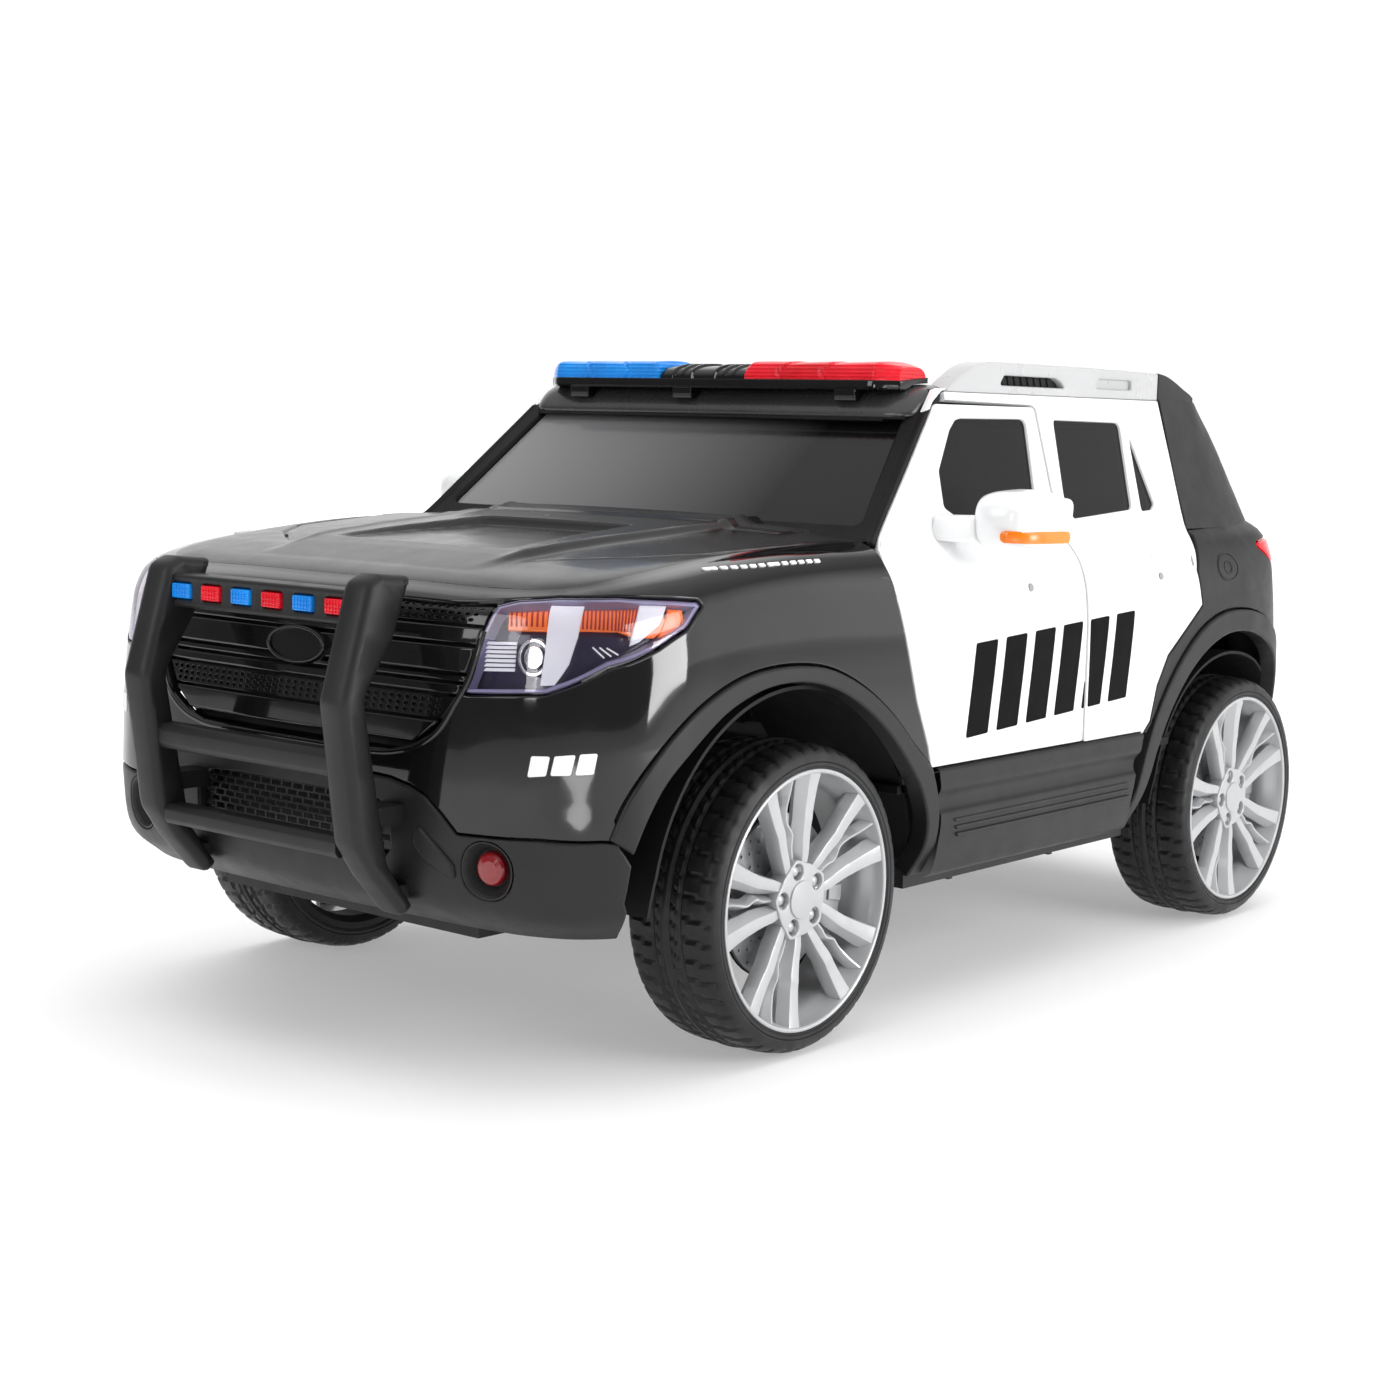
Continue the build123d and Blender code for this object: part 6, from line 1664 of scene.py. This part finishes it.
    # outline in (x, z) for an extrusion along y
    prism(rim, np.array(hub), "y", 22.0, 36.0, holes=[circle((23.2 * math.cos(a), 23.2 * math.sin(a)), 6.6, 24) for a in lugs], edge=1.2)
    prism(rim, circle((0, 0), 15.5, 60), "y", 34.2, 37.6, edge=1.0)
    for a in lugs:
        turned(rim, [(24.6, 0.0), (24.6, 6.7), (23.6, 6.7), (23.6, 0.0)], (23.2 * math.cos(a), 0, 23.2 * math.sin(a)), "y", 18)
        turned(rim, [(24, 0.0), (24, 4.7), (31.2, 4.7), (32.6, 3.9), (33.6, 2.2), (33.8, 0.0)], (23.2 * math.cos(a), 0, 23.2 * math.sin(a)), "y", 12)
    # boss behind the spokes
    turned(rim, [(22.5, 5.2), (22.5, 26), (-38, 16), (-38, 5.2)], (0, 0, 0), "y", 36)
    # drilled disc and caliper, cast behind the spokes
    holes = []
    for rr_, nn, of_ in ((38, 18, 0), (46, 18, .5), (54, 24, 0.25), (61, 24, .75)):
        for i in range(nn):
            a = 2 * math.pi * (i + of_) / nn
            holes.append(circle((rr_ * math.cos(a), rr_ * math.sin(a)), 1.25, 8))
    prism(rim, circle((0, 0), 66, 96), "y", 9.0, 12.4, mat=1, holes=holes, edge=0.4)
    # near-black disc behind the drilled disc: painted shade seen through its holes
    prism(rim, circle((0, 0), 66.5, 48), "y", 7.0, 8.6, mat=2)
    arc = [(math.cos(a) * 75, math.sin(a) * 75) for a in np.linspace(3.30, 4.34, 14)] + [(math.cos(a) * 50, math.sin(a) * 50) for a in np.linspace(4.34, 3.30, 14)]
    prism(rim, np.array(arc), "y", 3.0, 19.5, mat=1, edge=2.2)
    for a in (3.52, 3.82, 4.12):
        arc = [(math.cos(t) * 73, math.sin(t) * 73) for t in np.linspace(a - .1, a + .1, 5)] + [(math.cos(t) * 56, math.sin(t) * 56) for t in np.linspace(a + .1, a - .1, 5)]
        prism(rim, np.array(arc), "y", 19.0, 21.5, mat=1, edge=0.9)
    if side < 0:
        for s_ in (tyre, rim):
            for v in s_.v:
                v[:, 1] *= -1
            s_.f = [f[::-1] for f in s_.f]
    return tyre, rim


for side, tag in ((1, "left"), (-1, "right")):
    tyre_s, rim_s = wheel_parts(side)
    for end_, x in (("front", 291.0), ("rear", -444.0)):
        nm = end_ + "_" + tag
        off = Vector((x * MM, side * 259.0 * MM, 125.0 * MM))
        # a different turn for each wheel, as wheels stop anywhere
        turn = {"front_left": 0.59, "rear_left": 0.70, "front_right": 0.9, "rear_right": 0.5}[nm]
        ct, st = math.cos(turn), math.sin(turn)
        for kind, shp, mats in (("tyre", tyre_s, ["tyre"]), ("rim", rim_s, ["rim_silver", "disc_grey", "dark_hole"])):
            me = bpy.data.meshes.new(nm + "_" + kind)
            wv = shp.verts() * MM
            me.from_pydata(np.c_[wv[:, 0] * ct + wv[:, 2] * st, wv[:, 1], wv[:, 2] * ct - wv[:, 0] * st].tolist(), [], shp.f)
            for mname in mats:
                me.materials.append(MATS[mname])
            for pl, i in zip(me.polygons, shp.m):
                pl.material_index = i
            me.validate(); me.shade_smooth()
            me.set_sharp_from_angle(angle=math.radians(26))
            ob = bpy.data.objects.new(nm + "_" + kind + "_look", me)
            bpy.context.scene.collection.objects.link(ob)
            ob.location = off
            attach(ob, nm + "_wheel")
            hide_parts(nm + "_" + kind)


# ------------------------------------------------------------------ inside: seat, dash, steering wheel, pedal
def pad(s, x0, x1, y0, y1, z0, z1, r, crown, axis="z", seams=(), mat=0, nx=26, ny=30):
    """Cushion: rounded block with a crowned face towards axis, with stitched seams sunk in."""
    for face in (1,):
        U = np.linspace(-1, 1, nx); Vv = np.linspace(-1, 1, ny)
        G = np.zeros((nx, ny, 3))
        for i, u in enumerate(U):
            for j, v in enumerate(Vv):
                du = max(0.0, abs(u) - (1 - r / ((x1 - x0) / 2 if axis == "z" else (z1 - z0) / 2))) * ((x1 - x0) / 2 if axis == "z" else (z1 - z0) / 2)
                dv = max(0.0, abs(v) - (1 - r / ((y1 - y0) / 2))) * (y1 - y0) / 2
                d = min(r, math.hypot(du, dv)); h = -(r - math.sqrt(max(0, r * r - d * d))) + crown * (1 - u * u) * (1 - v * v)
                for q in seams:
                    h -= 2.2 * math.exp(-((v * (y1 - y0) / 2 - q) / 2.0) ** 2)
                if axis == "z":
                    G[i, j] = ((x0 + x1) / 2 + u * (x1 - x0) / 2, (y0 + y1) / 2 + v * (y1 - y0) / 2, z1 + h)
                else:
                    G[i, j] = (x1 + h, (y0 + y1) / 2 + v * (y1 - y0) / 2, (z0 + z1) / 2 + u * (z1 - z0) / 2)
        n = nx * ny; V = G.reshape(-1, 3)
        W2 = V.copy()
        if axis == "z":
            W2[:, 2] = z0
        else:
            W2[:, 0] = x0
        F = []
        for i in range(nx - 1):
            for j in range(ny - 1):
                a = i * ny + j
                f = (a, a + ny, a + ny + 1, a + 1)
                F.append(f if axis == "z" else f[::-1]); F.append(tuple(n + k for k in (f[::-1] if axis == "z" else f)))
        rim_ = [i * ny for i in range(nx)] + [(nx - 1) * ny + j for j in range(1, ny)] + [i * ny + ny - 1 for i in range(nx - 2, -1, -1)] + [j for j in range(ny - 2, 0, -1)]
        for a, b in zip(rim_, rim_[1:] + rim_[:1]):
            f = (a, n + a, n + b, b)
            F.append(f if axis == "z" else f[::-1])
        s.add(np.vstack([V, W2]), F, mat)
    return s


s = Shape()
# base moulding, cushion with two side bolsters, backrest with the same
prism(s, fillet([(-116, 110), (-352, 110), (-352, 150), (-330, 196), (-126, 196), (-116, 180)], [6, 6, 10, 14, 12, 6]), "y", -148, 148, edge=4)
pad(s, -300, -124, -96, 96, 190, 222, 15, 3.5, seams=(-32, 0, 32))
pad(s, -300, -122, -146, -97, 186, 233, 17, 3, nx=22, ny=16)
pad(s, -300, -122, 97, 146, 186, 233, 17, 3, nx=22, ny=16)
back = Shape()
pad(back, -346, -306, -94, 94, 224, 376, 15, 4, axis="x", seams=(-30, 0, 30))
pad(back, -346, -296, -144, -95, 214, 366, 17, 3, axis="x", nx=22, ny=16)
pad(back, -346, -296, 95, 144, 214, 366, 17, 3, axis="x", nx=22, ny=16)
prism(back, resample(fillet([(-140, 190), (140, 190), (146, 230), (146, 352), (110, 388), (-110, 388), (-146, 352), (-146, 230)], [10, 10, 20, 26, 24, 24, 26, 20]), 14), "x", -351, -336, edge=4)
s.add(back.verts(), back.f)
# buckle slots and shell rim
for y in (-60, 60):
    prism(s, fillet([(y - 12, 352), (y + 12, 352), (y + 12, 360), (y - 12, 360)], 3.5), "x", -312, -304, mat=1, edge=0.8)
s.make("seat_look", ["seat", "black_satin"], replaces=("seat",), slot="seat", smooth=40)

# dashboard: rolled top, hooded gauge, radio, vents, glovebox lid
s = Shape(); R = []
DP = curve2([(104, 328), (100, 345), (101, 362), (106, 377), (116, 388), (132, 395), (152, 398.5), (174, 399.5)], 24)
for y in np.r_[-251.5, -250.5, np.linspace(-248, 248, 60), 250.5, 251.5]:
    k = 0.96 if abs(y) > 251 else 1.0
    sink = 2.5 * math.exp(-((y + 120) / 80) ** 4)
    R.append([(139 + (x + (sink if z < 370 else 0) - 139) * k, y, 364 + (z - 364) * k) for x, z in DP] + [(176.5, y, 397), (176.5, y, 330), (150, y, 327.5)])
rings(s, R)
s2 = Shape()
# hood over the gauge in front of the driver
gy = 0.0
for y0, y1 in ((-64, 64),):
    R = []
    for t in np.linspace(0, math.pi, 28):
        y = gy + 62 * math.cos(t); z = 372 + 22 * math.sin(t) ** 0.75
        R.append([(93, y, z), (95, y, z + 1.6), (128, y, z + 3.0), (128, y, z - 3), (93, y, z - 2.4)])
    rings(s2, R)
prism(s2, circle((0, 366), 23, 48), "x", 97.5, 103, mat=0, edge=1.4, holes=[circle((0, 366), 20, 40)])
prism(s2, circle((0, 366), 20.4, 40), "x", 98.5, 102, mat=1)
prism(s2, [(-1.0, 366), (0.8, 365), (10.5, 378.5), (9.6, 379.3)], "x", 97.6, 98.8, mat=2)
for k in range(11):
    a = math.radians(-40 + 26 * k)
    c_, s_ = math.cos(a), math.sin(a)
    prism(s2, [(15.2 * c_ - .5 * s_, 366 + 15.2 * s_ + .5 * c_), (18.6 * c_ - .5 * s_, 366 + 18.6 * s_ + .5 * c_), (18.6 * c_ + .5 * s_, 366 + 18.6 * s_ - .5 * c_), (15.2 * c_ + .5 * s_, 366 + 15.2 * s_ - .5 * c_)], "x", 98.0, 98.9, mat=2)
for sy in (-1, 1):
    # vents with slats
    yc = sy * 196
    prism(s2, fillet([(yc - 30, 352), (yc + 30, 352), (yc + 30, 376), (yc - 30, 376)], 5), "x", 98.8, 106, mat=0, edge=1.2, holes=[fillet([(yc - 26, 355.5), (yc + 26, 355.5), (yc + 26, 372.5), (yc - 26, 372.5)], 3)])
    # dark sheet behind the slats: painted shade inside the vent
    prism(s2, fillet([(yc - 26.5, 355), (yc + 26.5, 355), (yc + 26.5, 373), (yc - 26.5, 373)], 2), "x", 102, 105, mat=1)
    for z in (358.5, 362.5, 366.5, 370.5):
        prism(s2, [(yc - 26, z - .8), (yc + 26, z - .8), (yc + 26, z + .8), (yc - 26, z + .8)], "x", 99.6, 103.5, edge=0.3)
# radio with a plain screen, keys and two knobs
prism(s2, fillet([(74, 340), (144, 340), (144, 378), (74, 378)], 4), "x", 98.2, 106, mat=0, edge=1.4)
prism(s2, fillet([(84, 356), (134, 356), (134, 374), (84, 374)], 2), "x", 97.4, 99, mat=1, edge=0.4)
for k in range(5):
    prism(s2, fillet([(84 + k * 10.3, 344), (92 + k * 10.3, 344), (92 + k * 10.3, 350), (84 + k * 10.3, 350)], 1), "x", 96.6, 99, mat=3, edge=0.5)
for y in (79.5, 139):
    turned(s2, [(96, 0.0), (96, 2.6), (96.6, 3.3), (99.5, 3.5), (99.5, 0)], (0, y, 365), "x", 18, mat=3)
# key switch and gear rocker
prism(s2, circle((-92, 352), 9, 28), "x", 97.5, 103, mat=3, edge=1.0)
prism(s2, fillet([(-93.2, 347), (-90.8, 347), (-90.8, 357), (-93.2, 357)], .6), "x", 96.8, 98.2, mat=1)
prism(s2, fillet([(-140, 343), (-116, 343), (-116, 361), (-140, 361)], 3), "x", 97.4, 103, mat=1, edge=0.8)
prism(s2, fillet([(-136, 346), (-120, 346), (-120, 358), (-136, 358)], 2), "x", 95.8, 99, mat=3, edge=1.0)
s.add(s2.verts(), s2.f); s.m[-len(s2.f):] = s2.m
s.make("dashboard_look", ["black_satin", "dark_hole", "white_decal", "disc_grey"], replaces=("dashboard",), slot="black_satin", smooth=36)

# steering wheel: grip ring with thumb rests, three spokes, padded hub, horn button
SHAFT_LEN = 234.5
PED = (-45.8, -0.2)
MAT_Z = 108.0
o = np.array([25.0, 0.0, 355.0]); ax = unit(np.array([-0.7748, 0.0, 0.6322])); e1 = np.array([0.0, 1.0, 0.0]); e2 = np.cross(ax, e1)
s = Shape(); V = []; n1_, n2_ = 120, 18
for i in range(n1_):
    a = 2 * math.pi * i / n1_
    r_ = 7.2 + 1.3 * math.exp(-(((a - math.pi * .22 + math.pi) % (2 * math.pi) - math.pi) / .16) ** 2) + 1.3 * math.exp(-(((a - math.pi * .78 + math.pi) % (2 * math.pi) - math.pi) / .16) ** 2)
    r_ -= 0.5 * (1 if i % 10 == 0 else 0)
    rad = math.cos(a) * e1 + math.sin(a) * e2
    for j in range(n2_):
        b = 2 * math.pi * j / n2_
        flat = 1.0 - 0.12 * max(0, math.cos(3 * b))
        V.append(o + rad * (80 + r_ * math.cos(b) * flat) + ax * (r_ * math.sin(b)))
F = [(i * n2_ + j, ((i + 1) % n1_) * n2_ + j, ((i + 1) % n1_) * n2_ + (j + 1) % n2_, i * n2_ + (j + 1) % n2_) for i in range(n1_) for j in range(n2_)]
s.add(V, F)
for a in (math.radians(0), math.radians(180), math.radians(-90)):
    d_ = math.cos(a) * e1 + math.sin(a) * e2; w_ = np.cross(ax, d_); R = []
    for t in np.linspace(0, 1, 12):
        rr_ = 16 + 62 * t; hw = 11 - 6 * math.sin(t * math.pi * 0.75); th_ = 3.6
        R.append([o + d_ * rr_ + w_ * (hw * c) + ax * (th_ * q - 3 * (1 - t) ** 2 * 0) for c, q in ((-1, 0), (-.8, .8), (-.4, 1), (.4, 1), (.8, .8), (1, 0), (.8, -.8), (.4, -1), (-.4, -1), (-.8, -.8))])
    rings(s, R)
    # key on the spoke
    if abs(math.sin(a)) < 0.5:
        c_ = o + d_ * 40; R = []
        for h, k in ((3.0, 1.0), (4.6, 1.0), (5.2, 0.85)):
            R.append([c_ + d_ * (8 * k * math.cos(t)) + w_ * (4.6 * k * math.sin(t)) + ax * h for t in np.linspace(0, 2 * math.pi, 20, endpoint=False)])
        rings(s, R, mat=1)
R = []
for h, k in ((-9, 17), (-6, 21), (2, 23.5), (6, 23), (9.5, 20.5), (11.4, 15), (12.2, 8), (12.4, 0.4)):
    R.append([o + (math.cos(t) * e1 * k * 1.12 + math.sin(t) * e2 * k) + ax * h for t in np.linspace(0, 2 * math.pi, 48, endpoint=False)])
rings(s, R)
R = []
for h, k in ((10.5, 9.6), (12.6, 9.6), (13.4, 8.6), (13.6, 0.3)):
    R.append([o + (math.cos(t) * e1 * k + math.sin(t) * e2 * k) + ax * h for t in np.linspace(0, 2 * math.pi, 32, endpoint=False)])
rings(s, R, mat=1)
# steel shaft down to the tie rod
tube_path(s, [o - ax * t for t in np.linspace(4, SHAFT_LEN, 8)], 5.6, 20, mat=2)
s.make("steering_wheel_look", ["black_satin", "disc_grey", "steel"], body="steering_wheel", replaces=("steering_wheel",), slot="black_satin", smooth=38)

# pedal with a ribbed tread and its arm
s = Shape()
prism(s, fillet([(150.5, 108.5), (157.5, 108.5), (139.6, 159.4), (134.5, 156.6)], 1.5), "y", PED[0], PED[1], edge=1.2)
pd = unit(np.array([134.3 - 150.3, 0, 156.8 - 108.3])); pn = np.array([-pd[2], 0, pd[0]])
for k in range(8):
    c_ = np.array([150.1, 0, 108.6]) + pd * (7 + k * 5.4); R = []
    for y, q in ((PED[0] + 3, 0.6), (PED[0] + 4, 1.0), (PED[1] - 4, 1.0), (PED[1] - 3, 0.6)):
        R.append([c_ + np.array([0, y, 0]) + pd * u + pn * h * q for u, h in ((-1.5, -1.0), (-1.1, 1.1), (1.1, 1.1), (1.5, -1.0))])
    rings(s, R)
s.make("accelerator_pedal_look", "black_satin", replaces=("accelerator_pedal",), slot="black_satin", smooth=36)

# column shroud: split cover with a seam and two screws
s = Shape(); R = []
for t, k in ((40.5, .80), (41.5, .93), (44, 1.0), (66, 1.0), (67, .955), (68, .955), (69, 1.0), (92, 1.0), (94.5, .93), (95.5, .82)):
    c_ = o - ax * t
    R.append([c_ + e1 * (14.6 * k * math.cos(a)) + e2 * (14.6 * k * math.sin(a)) for a in np.linspace(0, 2 * math.pi, 40, endpoint=False)])
rings(s, R)
prism(s, fillet([(84.5, 296.5), (115.5, 296.5), (115.5, 325.5), (84.5, 325.5)], 2), "y", -8.6, 8.6, edge=1.2)
for z in (302, 319):
    turned(s, [(8.2, 0.0), (8.2, 2.6), (8.9, 2.4), (9.0, 1.4), (8.7, 0.0)], (109, 0, z), "y", 14, mat=1)
s.make("steering_column_look", ["black_satin", "steel"], replaces=("steering_column",), slot="black_satin", smooth=36)

# floor mats: ribbed panels laid in the foot well
s = Shape()
for y0, y1 in ((-146, -16), (16, 146)):
    prism(s, fillet([(-104, y0), (96, y0), (96, y1), (-104, y1)], 12), "z", MAT_Z, MAT_Z + 2.0, edge=0.7)
    for k in range(11):
        y = y0 + 14 + k * (y1 - y0 - 28) / 10.0
        prism(s, fillet([(-92, y - 2.2), (84, y - 2.2), (84, y + 2.2), (-92, y + 2.2)], 1.8), "z", MAT_Z + 1.6, MAT_Z + 3.4, edge=0.6)
s.make("floor_mats", "black_matte", slot="black_satin", smooth=36)

# load deck: a row of ribs
s = Shape()
deck_out = np.array([(-304, 150), (-304, 262), (-496, 262), (-552, 246), (-582, 214), (-596, 120), (-596, -120), (-582, -214), (-552, -246), (-496, -262), (-304, -262), (-304, -150), (-353, -150), (-353, 150)], float)
for k in range(15):
    y = -224 + k * 32.0
    x0_ = -312.0 if abs(y) > 152 else -362.0
    x1_ = float(np.interp(abs(y), [0, 120, 214, 246], [-588, -588, -572, -540]))
    prism(s, fillet([(x1_, y - 5), (x0_, y - 5), (x0_, y + 5), (x1_, y + 5)], 4.5), "z", 303.2, 306.4, edge=1.2)
s.make("load_deck_ribs", "black_satin", slot="black_satin", smooth=36)

# ---- ledges that close the floor against the wheel arch liners
s = Shape()
for sg in (1, -1):
    for x0, x1, y0, y1 in ((-319, -256, 198, 285), (104, 146, 148, 283)):
        ya, yb = sorted((sg * y0, sg * y1))
        prism(s, fillet([(x0, ya), (x1, ya), (x1, yb), (x0, yb)], 1.5), "z", 191.0, 199.0, edge=0.8)
s.make("arch_ledges", "black_matte", slot="black_satin")


# ------------------------------------------------------------------ materials of the CAD nodes that stay
for n, o in NODES.items():
    want = None
    for sp in frame["record"]["subparts"]:
        if sp["node"] == n:
            want = sp["material_slot"]
    use = {"smoked": "smoked_glass", "clear_lens": "lamp_violet"}.get(want, want) or "black_satin"
    if n.endswith("arch_liners"):
        use = "black_matte"
    if n in ("windscreen",):
        use = "smoked_glass"
    if not o.material_slots:
        o.data.materials.append(MATS[use])
    for sl in o.material_slots:
        sl.material = MATS[use]

# ------------------------------------------------------------------ stage, light, camera
world = bpy.data.worlds.new("studio"); bpy.context.scene.world = world; world.use_nodes = True
nt = world.node_tree; bg = nt.nodes["Background"]
# white studio wall behind the car, mid grey elsewhere, lighter overhead
tc = nt.nodes.new("ShaderNodeTexCoord")


def along(vec, a, b, lo, hi):
    dt = nt.nodes.new("ShaderNodeVectorMath"); dt.operation = "DOT_PRODUCT"
    nt.links.new(tc.outputs["Generated"], dt.inputs[0]); dt.inputs[1].default_value = vec
    mr = nt.nodes.new("ShaderNodeMapRange"); mr.interpolation_type = "SMOOTHSTEP"
    mr.inputs["From Min"].default_value = a; mr.inputs["From Max"].default_value = b
    mr.inputs["To Min"].default_value = lo; mr.inputs["To Max"].default_value = hi
    nt.links.new(dt.outputs["Value"], mr.inputs["Value"])
    return mr.outputs["Result"]


wall = along((-0.77, -0.638, 0.0), 0.45, 0.85, 0.14, 1.05)
sky = along((0.0, 0.0, 1.0), 0.2, 0.95, 0.0, 0.8)
# a broad soft panel off to the left rear
soft = along((-0.76, 0.645, 0.08), 0.80, 0.97, 0.0, 1.35)
m0 = nt.nodes.new("ShaderNodeMath"); m0.operation = "MAXIMUM"
nt.links.new(wall, m0.inputs[0]); nt.links.new(sky, m0.inputs[1])
mx = nt.nodes.new("ShaderNodeMath"); mx.operation = "MAXIMUM"
nt.links.new(m0.outputs["Value"], mx.inputs[0]); nt.links.new(soft, mx.inputs[1])
nt.links.new(mx.outputs["Value"], bg.inputs["Strength"])
bg.inputs["Color"].default_value = (1, 1, 1, 1)

me = bpy.data.meshes.new("floor")
me.from_pydata([(-14, -14, 0), (14, -14, 0), (14, 14, 0), (-14, 14, 0)], [], [(0, 1, 2, 3)])
floor = bpy.data.objects.new("floor", me); bpy.context.scene.collection.objects.link(floor)
m, nt, b = new_mat("floor_pale"); b.inputs["Roughness"].default_value = 0.8; b.inputs["Specular IOR Level"].default_value = 0.1
tc = nt.nodes.new("ShaderNodeTexCoord"); dt = nt.nodes.new("ShaderNodeVectorMath"); dt.operation = "DOT_PRODUCT"
nt.links.new(tc.outputs["Object"], dt.inputs[0]); dt.inputs[1].default_value = (-0.77, -0.638, 0.0)
f_ = ramp(nt, dt.outputs["Value"], 0, 1, 1.0, 4.0)
nt.links.new(mixcol(nt, f_, (0.62, 0.62, 0.62), (0.96, 0.96, 0.96)), b.inputs["Base Color"])
# the floor glows, whiter as it runs back to the wall: painted light that also lightens the car's shadow on it
nt.links.new(mixcol(nt, f_, (0.46, 0.46, 0.46), (1.0, 1.0, 1.0)), b.inputs["Emission Color"]); b.inputs["Emission Strength"].default_value = 0.7
me.materials.append(m)


def area(name, loc, target, size, power, size_y=None, col=(1, 1, 1)):
    l = bpy.data.lights.new(name, "AREA"); l.energy = power; l.size = size; l.color = col
    l.shape = "RECTANGLE"; l.size_y = size_y or size
    o = bpy.data.objects.new(name, l); bpy.context.scene.collection.objects.link(o)
    o.location = loc
    o.rotation_euler = (Vector(target) - Vector(loc)).to_track_quat("-Z", "Y").to_euler()
    return o


area("top", (-0.3, -0.2, 3.4), (-0.1, 0, 0), 4.6, 125, 4.6).visible_glossy = False
area("left", (-0.1, 2.9, 1.5), (-0.1, 0.2, 0.3), 2.2, 40, 1.2)
area("front", (3.0, -0.9, 1.5), (0.4, 0, 0.25), 1.2, 16, 1.2)
area("patch_a", (-0.45, 2.1, 0.36), (0.45, 0.3, 0.32), 0.8, 10, 0.34)
area("patch_b", (1.95, 1.45, 0.015), (1.95, 1.45, 1.0), 1.1, 11, 0.5)
area("patch_c", (2.75, 0.35, 0.75), (0.5, 0.2, 0.25), 0.30, 5, 0.7)

yaw, pitch, roll = (math.radians(a) for a in (-140.3244, -6.9560, 1.3757))
d = Vector((math.cos(yaw) * math.cos(pitch), math.sin(yaw) * math.cos(pitch), math.sin(pitch)))
r0 = d.cross(Vector((0, 0, 1))).normalized(); u0 = r0.cross(d)
rr = math.cos(roll) * r0 + math.sin(roll) * u0
uu = -math.sin(roll) * r0 + math.cos(roll) * u0
cam = bpy.data.cameras.new("camera"); cam.lens = 58.95; cam.sensor_width = 36; cam.clip_start = 0.02
co = bpy.data.objects.new("camera", cam); bpy.context.scene.collection.objects.link(co)
co.matrix_world = Matrix(((rr.x, uu.x, -d.x, 1.71433), (rr.y, uu.y, -d.y, 1.36614), (rr.z, uu.z, -d.z, 0.49903), (0, 0, 0, 1)))
bpy.context.scene.camera = co
bpy.context.scene.view_settings.view_transform = "Standard"
